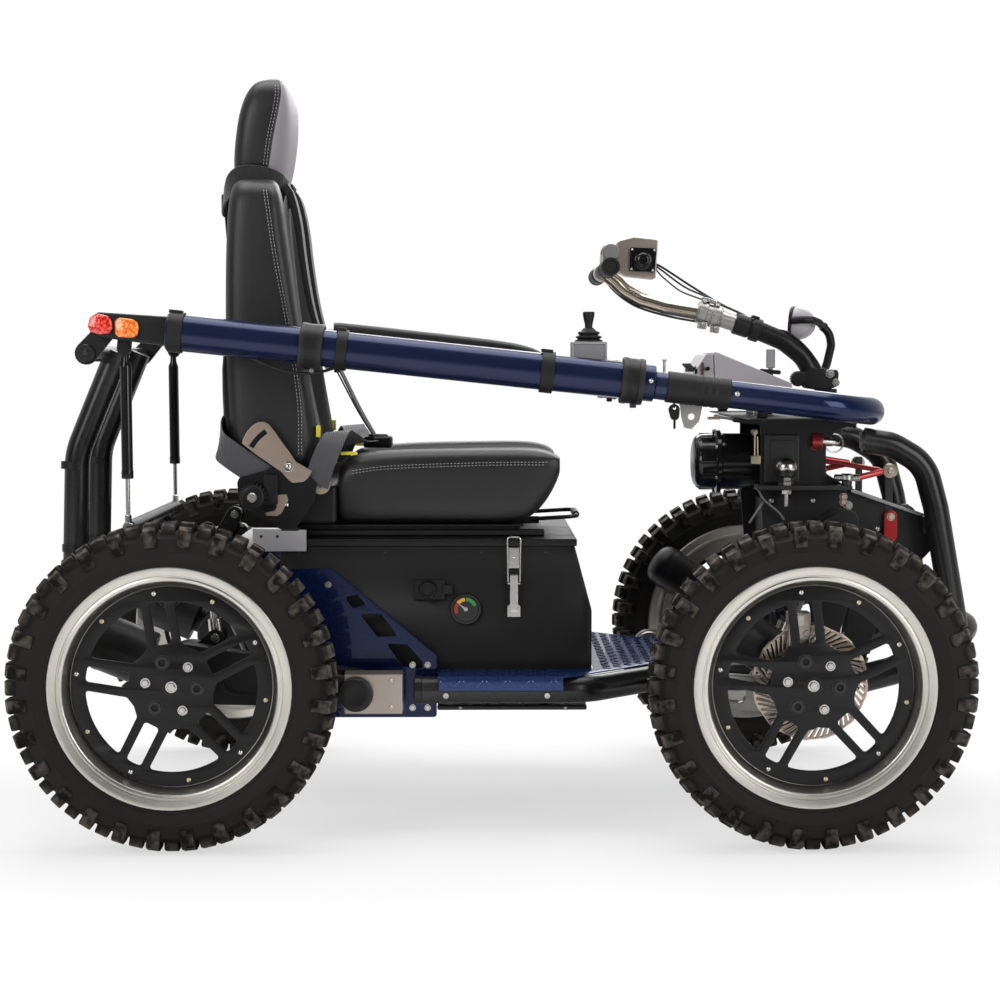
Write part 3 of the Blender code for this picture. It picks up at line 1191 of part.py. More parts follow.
def build():
    bars = {}
    make_main_frame()
    make_battery_box()
    make_footboard()
    make_front_tower()
    make_rear_hoop()
    make_bull_bar()
    make_nose_loop()
    make_control_panel()
    steer = new_empty("steer_axis", STEER_AXIS, VEHICLE)
    make_handlebar(steer)
    make_control_pod(steer)
    make_mirror(new_empty("mirror_axis", MIRROR_BALL, VEHICLE))
    for label, side in SIDES.items():
        make_side_plate(label, side)
        latch_place = (LATCH_PIVOT.x, side * LATCH_PIVOT.y, LATCH_PIVOT.z)
        latch = new_empty(f"latch_axis_{label}", latch_place, VEHICLE)
        make_latch(label, side, latch)
        rear_arm = new_empty(f"rear_arm_axis_{label}", REAR_PIVOT, VEHICLE)
        make_rear_arm(label, side, rear_arm)
        rear_axle = (REAR, side * WHEEL_Y, AXLE_Z)
        make_wheel("rear", side, REAR, new_empty(f"rear_axle_{label}", rear_axle, rear_arm))
        front_arm = new_empty(f"front_arm_axis_{label}", FRONT_PIVOT, VEHICLE)
        make_front_arm(label, side, front_arm)
        kingpin = new_empty(f"kingpin_{label}", (FRONT, side * KINGPIN_Y, AXLE_Z), front_arm)
        make_knuckle(label, side, kingpin)
        front_axle = (FRONT, side * WHEEL_Y, AXLE_Z)
        make_wheel("front", side, FRONT, new_empty(f"front_axle_{label}", front_axle, kingpin))
        shocks = (
            ("rear", REAR_SHOCK_TOP, REAR_SHOCK_FOOT, REAR_SHOCK_Y),
            ("front", FRONT_SHOCK_TOP, FRONT_SHOCK_FOOT, FRONT_SHOCK_Y),
        )
        for where, top, foot, y in shocks:
            hang = new_empty(f"{where}_shock_axis_{label}", (top.x, side * y, top.z), VEHICLE)
            make_shock(f"{where}_{label}", top, foot, side, y, hang, hang)
        bars[label] = new_empty(f"bar_axis_{label}", (HINGE_BAR.x, side * BAR_Y, HINGE_BAR.z), VEHICLE)
        make_side_bar(label, side, bars[label])
        make_armrest(label, side, bars[label])
        strut = new_empty(f"strut_axis_{label}", (STRUT_FOOT.x, side * STRUT_Y, STRUT_FOOT.z), VEHICLE)
        make_strut(label, side, strut, strut)
    make_joystick(bars["right"], new_empty("joystick_axis", JOYSTICK_PIVOT, bars["right"]))
    lid = new_empty("lid_axis", LID_HINGE, VEHICLE)
    make_lid(lid)
    seat = new_empty("seat_slide", (0, 0, RAIL_TOP), lid)
    make_seat_base(seat)
    make_cushion(seat)
    make_seat_back(new_empty("recline_axis", RECLINE, seat))
    make_slide_lever(new_empty("lever_axis", LEVER_PIVOT, seat))


build()
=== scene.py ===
from math import acos, asin, atan2, copysign, cos, hypot, pi, radians, sin, sqrt, tan, tau

import bmesh
import bpy
from mathutils import Matrix, Vector


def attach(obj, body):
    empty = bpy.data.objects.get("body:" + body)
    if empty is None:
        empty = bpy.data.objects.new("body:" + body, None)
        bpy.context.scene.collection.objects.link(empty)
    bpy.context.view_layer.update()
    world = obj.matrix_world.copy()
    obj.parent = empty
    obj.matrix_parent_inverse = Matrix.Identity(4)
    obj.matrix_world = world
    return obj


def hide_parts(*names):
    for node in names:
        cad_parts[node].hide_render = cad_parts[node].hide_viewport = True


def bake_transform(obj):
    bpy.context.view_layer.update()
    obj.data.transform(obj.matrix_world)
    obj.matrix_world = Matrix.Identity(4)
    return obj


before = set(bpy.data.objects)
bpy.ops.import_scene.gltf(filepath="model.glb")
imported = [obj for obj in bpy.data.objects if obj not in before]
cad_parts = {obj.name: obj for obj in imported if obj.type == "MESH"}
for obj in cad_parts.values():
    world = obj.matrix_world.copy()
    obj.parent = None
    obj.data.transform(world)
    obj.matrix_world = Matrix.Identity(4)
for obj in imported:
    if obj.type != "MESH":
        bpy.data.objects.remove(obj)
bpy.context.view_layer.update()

# Camera, studio and floor
# The vehicle is seen square on from its right side, a little above the saddle of its wheels,
# on a white sweep under a wide soft lamp, with a long soft lamp on either side of the lens.

scene = bpy.context.scene
scene.view_settings.view_transform = "Standard"
camera_data = bpy.data.cameras.new("camera")
camera_data.sensor_width = 36.0
camera_data.lens = 73.79
camera = bpy.data.objects.new("camera", camera_data)
camera.location = (-0.067, -4.0681, 0.8545)
camera.rotation_euler = (radians(90 - 3.7055), 0, radians(-0.63))
scene.collection.objects.link(camera)
scene.camera = camera


def soft_lamp(name, place, aim, width, height, power):
    data = bpy.data.lights.new(name, "AREA")
    data.shape = "RECTANGLE"
    data.size, data.size_y = width, height
    data.energy = power
    lamp = bpy.data.objects.new(name, data)
    lamp.location = place
    lamp.rotation_euler = (Vector(aim) - Vector(place)).to_track_quat("-Z", "Y").to_euler()
    scene.collection.objects.link(lamp)


soft_lamp("overhead", (0, 0.2, 3.6), (0, 0, 0.5), 3.6, 2.6, 95)
soft_lamp("near_left", (-2.6, -3.2, 2.2), (0, 0, 0.6), 1.6, 2.4, 62)
soft_lamp("near_right", (2.6, -3.0, 1.7), (0, 0, 0.6), 1.6, 2.4, 55)
soft_lamp("far_back", (0.4, 3.4, 2.6), (0, 0, 0.7), 3.0, 1.6, 60)


def shader_node(tree, kind, inputs=None, **settings):
    """Adds a shader node, sets it up, and gives each input its value or the output that feeds it."""
    made = tree.nodes.new("ShaderNode" + kind)
    for name, value in settings.items():
        setattr(made, name, value)
    for name, value in (inputs or {}).items():
        if isinstance(value, bpy.types.NodeSocket):
            tree.links.new(value, made.inputs[name])
        else:
            made.inputs[name].default_value = value
    return made.outputs


def straight_to_lens(tree):
    """1 for what the camera sees directly or through glass, else 0."""
    path = shader_node(tree, "LightPath")
    return shader_node(tree, "Math", {0: path["Is Camera Ray"], 1: path["Is Transmission Ray"]},
        operation="MAXIMUM")[0]


world = bpy.data.worlds.new("studio")
scene.world = world
world.use_nodes = True
tree = world.node_tree
tree.nodes.clear()
heading = shader_node(tree, "SeparateXYZ", {0: shader_node(tree, "TexCoord")["Generated"]})["Y"]
glow = shader_node(tree, "MapRange", {"Value": heading, "From Min": -0.55, "From Max": 0.3, "To Min": 0.05,
    "To Max": 0.62}, interpolation_type="SMOOTHSTEP")["Result"]
surround = shader_node(tree, "Background", {"Color": (1, 1, 1, 1), "Strength": glow})[0]
white = shader_node(tree, "Background", {"Color": (1, 1, 1, 1), "Strength": 1.0})[0]
shader_node(tree, "OutputWorld", {0: shader_node(tree, "MixShader",
    {0: straight_to_lens(tree), 1: surround, 2: white})[0]})

bm = bmesh.new()
bmesh.ops.create_circle(bm, cap_ends=True, segments=64, radius=14)
floor_mesh = bpy.data.meshes.new("floor")
bm.to_mesh(floor_mesh)
bm.free()
floor = bpy.data.objects.new("floor", floor_mesh)
scene.collection.objects.link(floor)
paper = bpy.data.materials.new("white_sweep")
paper.use_nodes = True
tree = paper.node_tree
tree.nodes.clear()
distance = shader_node(tree, "VectorMath", {0: shader_node(tree, "TexCoord")["Object"]},
    operation="LENGTH")["Value"]
fade = shader_node(tree, "MapRange", {"Value": distance, "From Min": 0.9, "From Max": 2.2, "To Min": 0.62,
    "To Max": 1.0})["Result"]
share = shader_node(tree, "Math", {0: straight_to_lens(tree), 1: fade}, operation="MULTIPLY")[0]
lit = shader_node(tree, "BsdfDiffuse", {"Color": (0.92, 0.92, 0.92, 1)})[0]
white = shader_node(tree, "Emission", {"Strength": 1.0})[0]
shader_node(tree, "OutputMaterial", {0: shader_node(tree, "MixShader", {0: share, 1: lit, 2: white})[0]})
floor_mesh.materials.append(paper)

# Tyres
# Four knobbly tyres of moulded black rubber; the tan on their knob crowns is worn dust and a painted
# highlight.
# Each is spun from its section, and its tread faces are then drawn out into alternating knobs.

middle_x = -0.04
wheelbase = 1.132
track = 0.95
axle_z = 0.293
rear_x, front_x = -wheelbase / 2, wheelbase / 2
sides = {"right": -1, "left": 1}
wheels = [(where, label, x, side) for where, x in (("rear", rear_x), ("front", front_x))
    for label, side in sides.items()]


def surface_group():
    """Shared by every coat, casting and plastic: blotches, worn edges, a changing roughness, a fine grain."""
    group = bpy.data.node_groups.new("worn_surface", "ShaderNodeTree")
    grey = (0.5, 0.5, 0.5, 1)
    sockets = {"Colour": grey, "Dust": grey, "Bare": grey, "Dusting": 0.1, "Wear": 0.0, "Roughness": 0.4,
        "Spread": 0.1, "Grain": 300.0, "Depth": 0.1}
    for name, value in sockets.items():
        kind = "NodeSocketColor" if value is grey else "NodeSocketFloat"
        group.interface.new_socket(name=name, in_out="INPUT", socket_type=kind).default_value = value
    for name, kind in (("Colour", "Color"), ("Roughness", "Float"), ("Normal", "Vector")):
        group.interface.new_socket(name=name, in_out="OUTPUT", socket_type="NodeSocket" + kind)
    given, put = group.nodes.new("NodeGroupInput").outputs, group.nodes.new("NodeGroupOutput")
    place = shader_node(group, "TexCoord")["Object"]
    blotch = shader_node(group, "TexNoise", {"Vector": place, "Scale": 11.0, "Detail": 6.0})["Fac"]
    grain = shader_node(group, "TexNoise", {"Vector": place, "Scale": given["Grain"], "Detail": 3.0})["Fac"]
    dusting = shader_node(group, "Math", {0: blotch, 1: given["Dusting"]}, operation="MULTIPLY")[0]
    dusty = shader_node(group, "Mix", {"Factor": dusting, "A": given["Colour"], "B": given["Dust"]},
        data_type="RGBA")["Result"]
    edge = shader_node(group, "NewGeometry")["Pointiness"]
    edge = shader_node(group, "MapRange", {"Value": edge, "From Min": 0.53, "From Max": 0.64})["Result"]
    worn = shader_node(group, "Math", {0: edge, 1: given["Wear"]}, operation="MULTIPLY")[0]
    bare = shader_node(group, "Mix", {"Factor": worn, "A": dusty, "B": given["Bare"]},
        data_type="RGBA")["Result"]
    shift = shader_node(group, "Math", {0: blotch, 1: 0.5}, operation="SUBTRACT")[0]
    gloss = shader_node(group, "Math", {0: shift, 1: given["Spread"], 2: given["Roughness"]},
        operation="MULTIPLY_ADD", use_clamp=True)[0]
    bump = shader_node(group, "Bump", {"Distance": 0.0006, "Height": grain,
        "Strength": given["Depth"]})["Normal"]
    for name, socket in (("Colour", bare), ("Roughness", gloss), ("Normal", bump)):
        group.links.new(socket, put.inputs[name])
    return group


worn_surface = surface_group()


def finish(name, colour, roughness, metallic=0.0, dust=None, dusting=0.12, bare=None, wear=0.0,
           spread=0.15, grain=320.0, depth=0.12, coat=0.0, coat_roughness=0.06, specular=0.5, sheen=0.0):
    """A material from the shared surface, with its own colour, gloss, grain and wear."""
    made = bpy.data.materials.new(name)
    made.use_nodes = True
    tree = made.node_tree
    shader = tree.nodes["Principled BSDF"]
    for socket, value in {"Metallic": metallic, "Coat Weight": coat, "Coat Roughness": coat_roughness,
                          "Specular IOR Level": specular, "Sheen Weight": sheen}.items():
        shader.inputs[socket].default_value = value
    surface = shader_node(tree, "Group", {"Colour": (*colour, 1), "Dust": (*(dust or colour), 1),
        "Bare": (*(bare or colour), 1), "Dusting": dusting, "Wear": wear, "Roughness": roughness,
        "Spread": spread, "Grain": grain, "Depth": depth}, node_tree=worn_surface)
    for output, socket in (("Colour", "Base Color"), ("Roughness", "Roughness"), ("Normal", "Normal")):
        tree.links.new(surface[output], shader.inputs[socket])
    return made


def parts_of(material):
    """A material's node tree, the inputs of its shader and the outputs of its shared surface."""
    tree = material.node_tree
    group = next((node for node in tree.nodes if node.type == "GROUP"), None)
    return tree, tree.nodes["Principled BSDF"].inputs, group and group.outputs


def settle(bm, name, material, body, stands_for=(), smooth_deg=38):
    """Makes the piece from its shape, in its place on the vehicle, riding on its body. A body given as
    (first, second, start, end) attaches it to neither; the piece is left fixed in place."""
    bmesh.ops.remove_doubles(bm, verts=bm.verts, dist=2e-6)
    bmesh.ops.recalc_face_normals(bm, faces=bm.faces)
    bmesh.ops.translate(bm, vec=(middle_x, 0, 0), verts=bm.verts)
    mesh = bpy.data.meshes.new(name)
    bm.to_mesh(mesh)
    bm.free()
    mesh.shade_smooth()
    mesh.set_sharp_from_angle(angle=radians(smooth_deg))
    mesh.materials.append(material)
    piece = bpy.data.objects.new(name, mesh)
    scene.collection.objects.link(piece)
    if smooth_deg == 38:
        even = piece.modifiers.new("even_flats", "WEIGHTED_NORMAL")
        even.keep_sharp = True
    if isinstance(body, str):
        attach(piece, body)
    else:
        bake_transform(piece)
    if stands_for:
        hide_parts(*stands_for)
    return piece


def tyre_rubber():
    """Black rubber whose knobs turn tan from 0 at the root to 1 on the crown: worn dust and a painted
    highlight.
    """
    made = finish("tyre_rubber", (0.009, 0.0084, 0.0076), 0.62, dust=(0.034, 0.029, 0.023), dusting=0.24,
                  spread=0.22, grain=520.0, depth=0.35, specular=0.18)
    tree, shader, surface = parts_of(made)
    patches = shader_node(tree, "TexNoise", {"Vector": shader_node(tree, "TexCoord")["Object"],
        "Scale": 62.0, "Detail": 5.0})
    amount = shader_node(tree, "MapRange", {"Value": patches["Fac"], "From Min": 0.42,
        "From Max": 0.7})["Result"]
    wear = shader_node(tree, "Attribute", attribute_name="wear")["Fac"]
    worn = shader_node(tree, "Math", {0: amount, 1: wear}, operation="MULTIPLY")[0]
    # Tan on the knob crowns: partly worn dust, partly a painted highlight of the light from above.
    tan_dust_and_highlight = (0.165, 0.14, 0.118, 1)
    tint = shader_node(tree, "Mix", {"Factor": worn, "A": surface["Colour"], "B": tan_dust_and_highlight},
        data_type="RGBA")["Result"]
    tree.links.new(tint, shader["Base Color"])
    return made


rubber = tyre_rubber()
knob_rows = 28
tread_radius = 0.293
tyre_half = 0.047


def knobbly_tyre():
    """A tyre round the Y axis through the origin."""
    wall = [(0.205, 0.0315), (0.214, 0.033), (0.2165, 0.0385), (0.219, 0.0392), (0.2205, 0.0386),
        (0.2235, 0.0408), (0.233, 0.044), (0.24, 0.0447), (0.2412, 0.0455), (0.2428, 0.0447),
        (0.251, 0.0432)]
    crown = [(0.264, 0.04), (0.2715, 0.03), (0.2755, 0.0175), (0.277, 0.006)]
    half = wall + crown
    bore = [(0.264, -0.034), (0.25, -0.0395), (0.23, -0.039), (0.212, -0.03)]
    ring = half + [(r, -a) for r, a in reversed(half)] + [(r, a) for r, a in reversed(bore)] + [(r, -a)
        for r, a in bore]
    columns = 2 * knob_rows
    pitch = tau / columns
    bm = bmesh.new()
    wear = bm.verts.layers.float.new("wear")
    verts = [bm.verts.new((-r * sin(pitch / 2), a, -r * cos(pitch / 2))) for r, a in ring]
    edges = [bm.edges.new((verts[i - 1], verts[i])) for i in range(len(verts))]
    bmesh.ops.spin(bm, geom=edges, cent=(0, 0, 0), axis=(0, -1, 0), angle=tau, steps=columns, use_merge=True)
    bmesh.ops.remove_doubles(bm, verts=bm.verts, dist=1e-6)
    knobs = []
    for face in bm.faces:
        middle = face.calc_center_median()
        if hypot(middle.x, middle.z) < 0.254 or abs(middle.y) > 0.042:
            continue
        column = round(atan2(middle.x, -middle.z) / pitch) % columns
        across = abs(middle.y)
        row = sum(across >= edge for edge in (0.006, 0.0175, 0.03))
        if (row + column) % 2 == 0:
            knobs.append(face)
    # Of each row's knobs: drop and place of the inner edge, then place and drop of the outer edge
    tops = [(0.0, 0.0078, 0.0078, 0.0), (0.0004, 0.0068, 0.0182, 0.0018), (0.003, 0.0185, 0.031, 0.007),
            (0.007, 0.0345, 0.0478, 0.0125), (0.0125, 0.0478, 0.0464, 0.043)]
    # The third value sets each step's share of the tan: worn dust, and on the crowns a painted highlight.
    for lift, narrow, worn in ((0.06, 0.8, 0.0), (0.84, 0.95, 0.45), (1.0, 0.9, 1.0)):
        knobs = bmesh.ops.extrude_discrete_faces(bm, faces=knobs)["faces"]
        for face in knobs:
            middle = face.calc_center_median()
            turn = round(atan2(middle.x, -middle.z) / pitch) * pitch
            outward = Vector((sin(turn), 0, -cos(turn)))
            along = Vector((cos(turn), 0, sin(turn)))
            row = sum(abs(middle.y) >= edge for edge in (0.006, 0.0185, 0.0322))
            if row == 3 and middle.dot(outward) <= 0.2655:
                row = 4
            drop_in, inside, outside, drop_out = tops[row]
            high = max(abs(vert.co.y) for vert in face.verts)
            for vert in face.verts:
                across = abs(vert.co.y)
                foot = vert.co.dot(outward)
                outer = abs(across - high) < 1e-6
                height, place = (tread_radius - drop_out, outside) if outer else (tread_radius - drop_in,
                    inside)
                sideways = copysign(across + (place - across) * lift, vert.co.y)
                lifted = outward * (foot + (height - foot) * lift) + along * (vert.co.dot(along) * narrow)
                vert.co = lifted + Vector((0, sideways, 0))
                vert[wear] = worn
    bmesh.ops.remove_doubles(bm, verts=bm.verts, dist=2e-5)
    walls = {}
    for face in bm.faces:
        walls.setdefault(frozenset(face.verts), []).append(face)
    bmesh.ops.delete(bm, geom=[face for pair in walls.values() if len(pair) > 1 for face in pair],
        context="FACES_ONLY")
    return bm


def on_wheel(bm, x, side):
    """Moves a shape made round the origin, outboard towards +Y, to its wheel."""
    if side < 0:
        bmesh.ops.scale(bm, vec=(1, -1, 1), verts=bm.verts)
    bmesh.ops.translate(bm, vec=(x, side * track / 2, axle_z), verts=bm.verts)


for where, label, x, side in wheels:
    bm = knobbly_tyre()
    on_wheel(bm, x, side)
    settle(bm, f"knobbly_tyre_{where}_{label}", rubber, f"{where}_wheel_{label}",
        [f"tyre_{where}_{label}"], 32)

# Rims
# Two-piece rims turned from aluminium: a satin outer lip, a bright step inside it and a cone that
# falls to the flange behind the spoked disc. The rings left by the turning tool still show.


def emboss(material, height, distance, strength):
    """Lays a relief of its own over the surface's grain."""
    tree, shader, surface = parts_of(material)
    inputs = {"Height": height, "Distance": distance, "Strength": strength}
    if surface:
        inputs["Normal"] = surface["Normal"]
    tree.links.new(shader_node(tree, "Bump", inputs)["Normal"], shader["Normal"])


def turned_metal(name, colour, roughness):
    """Bright turned metal whose tool rings follow each point's distance from the axle."""
    made = finish(name, colour, roughness, 1.0, dust=(0.42, 0.38, 0.32), dusting=0.22, spread=0.16,
        grain=260.0, depth=0.05)
    tree = made.node_tree
    reach = shader_node(tree, "Attribute", attribute_name="reach")["Fac"]
    rings = shader_node(tree, "TexNoise", {"W": reach, "Scale": 900.0, "Detail": 2.0},
        noise_dimensions="1D")["Fac"]
    emboss(made, rings, 0.0005, 0.3)
    return made


rim_metal = turned_metal("turned_aluminium", (0.66, 0.635, 0.585), 0.33)
rim_section = [
    (0.2155, 0.0345), (0.215, 0.0372), (0.2135, 0.0384), (0.2115, 0.0386), (0.205, 0.0372), (0.1996, 0.036),
    (0.199, 0.0352), (0.1984, 0.0336), (0.197, 0.0332), (0.1945, 0.0342), (0.1912, 0.0338), (0.1893, 0.0326),
    (0.188, 0.0304), (0.185, 0.0225), (0.1818, 0.013), (0.1797, 0.0062), (0.1788, 0.0044), (0.16, 0.004),
    (0.16, -0.002), (0.182, -0.002), (0.1885, -0.01), (0.1975, -0.032), (0.212, -0.0384), (0.215, -0.0372),
    (0.2155, -0.0345), (0.2045, -0.031), (0.2045, 0.031),
]


def spun_ring(section, steps):
    """A closed ring round the Y axis, with each point's distance from the axis kept for its material."""
    bm = bmesh.new()
    reach = bm.verts.layers.float.new("reach")
    verts = [bm.verts.new((0, a, -r)) for r, a in section]
    edges = [bm.edges.new((verts[i - 1], verts[i])) for i in range(len(verts))]
    bmesh.ops.spin(bm, geom=edges, cent=(0, 0, 0), axis=(0, -1, 0), angle=tau, steps=steps, use_merge=True)
    bmesh.ops.remove_doubles(bm, verts=bm.verts, dist=1e-6)
    for vert in bm.verts:
        vert[reach] = hypot(vert.co.x, vert.co.z)
    return bm


for where, label, x, side in wheels:
    bm = spun_ring(rim_section, 96)
    on_wheel(bm, x, side)
    settle(bm, f"two_piece_rim_{where}_{label}", rim_metal, f"{where}_wheel_{label}",
        [f"rim_{where}_{label}"], 28)

# Spoked discs and hubs
# A black plate with five pairs of spokes, machined from sheet and screwed to the rim's flange. Behind
# it sits a turned hub; three silver and three black bolts and a centre bolt hold the two together.


def copied_in(bm, obj):
    """Adds an object's evaluated mesh to a shape and removes the object."""
    scene.collection.objects.link(obj)
    bpy.context.view_layer.update()
    graph = bpy.context.evaluated_depsgraph_get()
    mesh = bpy.data.meshes.new_from_object(obj.evaluated_get(graph))
    before = set(bm.verts)
    bm.from_mesh(mesh)
    data = obj.data
    bpy.data.objects.remove(obj)
    bpy.data.curves.remove(data)
    bpy.data.meshes.remove(mesh)
    return [vert for vert in bm.verts if vert not in before]


def rounded(points, radius, steps, closed=False):
    """The same line with each corner turned into an arc."""
    points = [Vector(point) for point in points]
    count = len(points)
    smooth = [] if closed else [points[0]]
    for i in range(0 if closed else 1, count if closed else count - 1):
        before, corner, after = points[i - 1], points[i], points[(i + 1) % count]
        a, b = (before - corner).normalized(), (after - corner).normalized()
        half = acos(max(-1.0, min(1.0, a.dot(b)))) / 2
        if half > radians(88.5):
            smooth.append(corner)
            continue
        most = min((before - corner).length, (after - corner).length) * 0.49
        reach = min(radius / tan(half), most)
        true_radius = reach * tan(half)
        centre = corner + (a + b).normalized() * (true_radius / sin(half))
        first, last = corner + a * reach - centre, corner + b * reach - centre
        for step in range(steps + 1):
            smooth.append(centre + first.slerp(last, step / steps).normalized() * true_radius)
    return smooth if closed else smooth + [points[-1]]


def eased(outline, radius, steps=4):
    """A closed flat outline with its corners rounded."""
    return [point.xy[:] for point in rounded([(x, z, 0) for x, z in outline], radius, steps, closed=True)]


def sheet(bm, outlines, low, high, edge=0.0006, corner=0.0, plane="xz", steps=4):
    """A flat sheet between two planes, cut to its outlines, the rim first, with eased edges."""
    data = bpy.data.curves.new("outline", "CURVE")
    data.dimensions = "2D"
    data.fill_mode = "BOTH"
    edge = min(edge, abs(high - low) * 0.45)
    data.extrude = abs(high - low) / 2 - edge
    data.bevel_depth = edge
    data.bevel_resolution = 1
    data.offset = -edge
    for outline in outlines:
        outline = eased(outline, corner, steps) if corner else outline
        spline = data.splines.new("POLY")
        spline.points.add(len(outline) - 1)
        for point, (x, z) in zip(spline.points, outline):
            point.co = (x, z, 0, 1)
        spline.use_cyclic_u = True
    made = copied_in(bm, bpy.data.objects.new("outline", data))
    upright = Matrix.Rotation(radians(90), 4, "X")
    turn, way = {"xz": (upright, (0, 1, 0)), "xy": (Matrix.Identity(4), (0, 0, 1))}[plane]
    bmesh.ops.transform(bm, matrix=Matrix.Translation(Vector(way) * (low + high) / 2) @ turn, verts=made)
    return made


def turned(bm, profile, start, end, steps=32):
    """A turned part from (distance along, radius) points, along the line from start towards end."""
    axis = (Vector(end) - Vector(start)).normalized()
    turn = Vector((0, 0, 1)).rotation_difference(axis).to_matrix().to_4x4()
    verts = [bm.verts.new((radius, 0, along)) for along, radius in profile]
    edges = [bm.edges.new(pair) for pair in zip(verts, verts[1:])]
    spun = bmesh.ops.spin(bm, geom=[*verts, *edges], cent=(0, 0, 0), axis=(0, 0, 1), angle=tau,
        steps=steps, use_merge=True)
    made = {vert for item in spun["geom_last"] for vert in ([item] if isinstance(item, bmesh.types.BMVert)
        else item.verts)}
    reached = list(made | set(verts))
    seen = set(reached)
    while reached:
        for edge in reached.pop().link_edges:
            for vert in edge.verts:
                if vert not in seen:
                    seen.add(vert)
                    reached.append(vert)
    seen = [vert for vert in seen if vert.is_valid]
    bmesh.ops.transform(bm, matrix=Matrix.Translation(Vector(start)) @ turn, verts=seen)
    return seen


def round_bar(bm, start, end, radius, edge=0.001, steps=24):
    length = (Vector(end) - Vector(start)).length
    profile = [(0, 0), (0, radius - edge), (edge, radius), (length - edge, radius),
        (length, radius - edge), (length, 0)]
    return turned(bm, profile, start, end, steps)


def cross_bar(bm, x, z, low, high, radius, edge=0.001, steps=24):
    """A round bar that lies across the vehicle."""
    round_bar(bm, (x, low, z), (x, high, z), radius, edge, steps)


def hex_bolt(bm, place, way, across=0.01, height=0.005, washer=0.008):
    """A hexagon head on its washer."""
    place, way = Vector(place), Vector(way).normalized()
    round_bar(bm, place, place + way * 0.0014, washer, 0.0004, 20)
    radius = across / sqrt(3)
    profile = [(0.0012, 0), (0.0012, radius), (height - 0.001, radius), (height, radius * 0.86), (height, 0)]
    turned(bm, profile, place, place + way, 6)


def socket_bolt(bm, place, way, radius=0.0075, height=0.006):
    """A round socket head with its hexagon hole."""
    place, way = Vector(place), Vector(way).normalized()
    profile = [(0, 0), (0, radius), (height - 0.0008, radius), (height, radius - 0.0008),
        (height, radius * 0.56), (height * 0.35, radius * 0.5), (height * 0.35, 0)]
    turned(bm, profile, place, place + way, 18)


def dome_screw(bm, place, way, radius=0.004, height=0.0026):
    place, way = Vector(place), Vector(way).normalized()
    profile = [(0, 0), (0, radius), (height * 0.45, radius * 0.94), (height * 0.85, radius * 0.62),
        (height, radius * 0.28), (height * 0.72, radius * 0.2), (height * 0.72, 0)]
    turned(bm, profile, place, place + way, 14)


satin_black = finish("satin_black_coat", (0.0065, 0.0065, 0.007), 0.34, dust=(0.03, 0.029, 0.027),
    dusting=0.1, bare=(0.08, 0.08, 0.08), wear=0.25, spread=0.14, grain=420.0, depth=0.16, specular=0.26)
bright_steel = finish("bright_steel", (0.6, 0.585, 0.56), 0.26, 1.0, dust=(0.3, 0.27, 0.23), dusting=0.25,
    spread=0.2, grain=500.0, depth=0.1)
brass = finish("plated_brass", (0.62, 0.52, 0.36), 0.3, 1.0, dust=(0.3, 0.25, 0.18), dusting=0.25,
    spread=0.2, grain=500.0, depth=0.1)
black_steel = finish("black_steel", (0.014, 0.014, 0.0155), 0.32, 0.5, specular=0.3,
    dust=(0.06, 0.055, 0.05), dusting=0.15, bare=(0.22, 0.21, 0.2), wear=0.4, grain=500.0, depth=0.1)

disc_radius = 0.1775


def polar(radius, turn):
    return (radius * cos(turn), radius * sin(turn))


def circle(radius, steps, x=0.0, z=0.0):
    turns = [tau * i / steps for i in range(steps)]
    return [(x + radius * cos(turn), z + radius * sin(turn)) for turn in turns]


def swung(outline, turn):
    """The same outline, turned about the axle."""
    spin = Matrix.Rotation(turn, 2)
    return [(spin @ Vector(point))[:] for point in outline]


def spoke_outlines(start_deg):
    """The plate's round edge, then a slot inside each pair of spokes and a wide window between pairs."""
    outlines = [circle(disc_radius, 96)]
    ring, hub, inner = 0.1515, 0.069, 0.0745
    slot_half, spoke = 0.014, 0.0155
    bar = slot_half + spoke
    arc = [(sqrt(ring ** 2 - y * y), y) for y in (-slot_half, 0, slot_half)]
    slot = eased([(hub + 0.007, -slot_half), *arc, (hub + 0.007, slot_half)], 0.006)
    half = pi / 5 - asin(bar / ring)
    inner_half = pi / 5 - asin(bar / (inner + 0.004))
    window = [polar(ring, -half + 2 * half * i / 10) for i in range(11)]
    window += [polar(inner + 0.006, inner_half), polar(inner, 0), polar(inner + 0.006, -inner_half)]
    window = eased(window, 0.0075)
    for pair in range(5):
        turn = radians(start_deg + 72 * pair)
        outlines += [swung(slot, turn), swung(window, turn + pi / 5)]
    return outlines


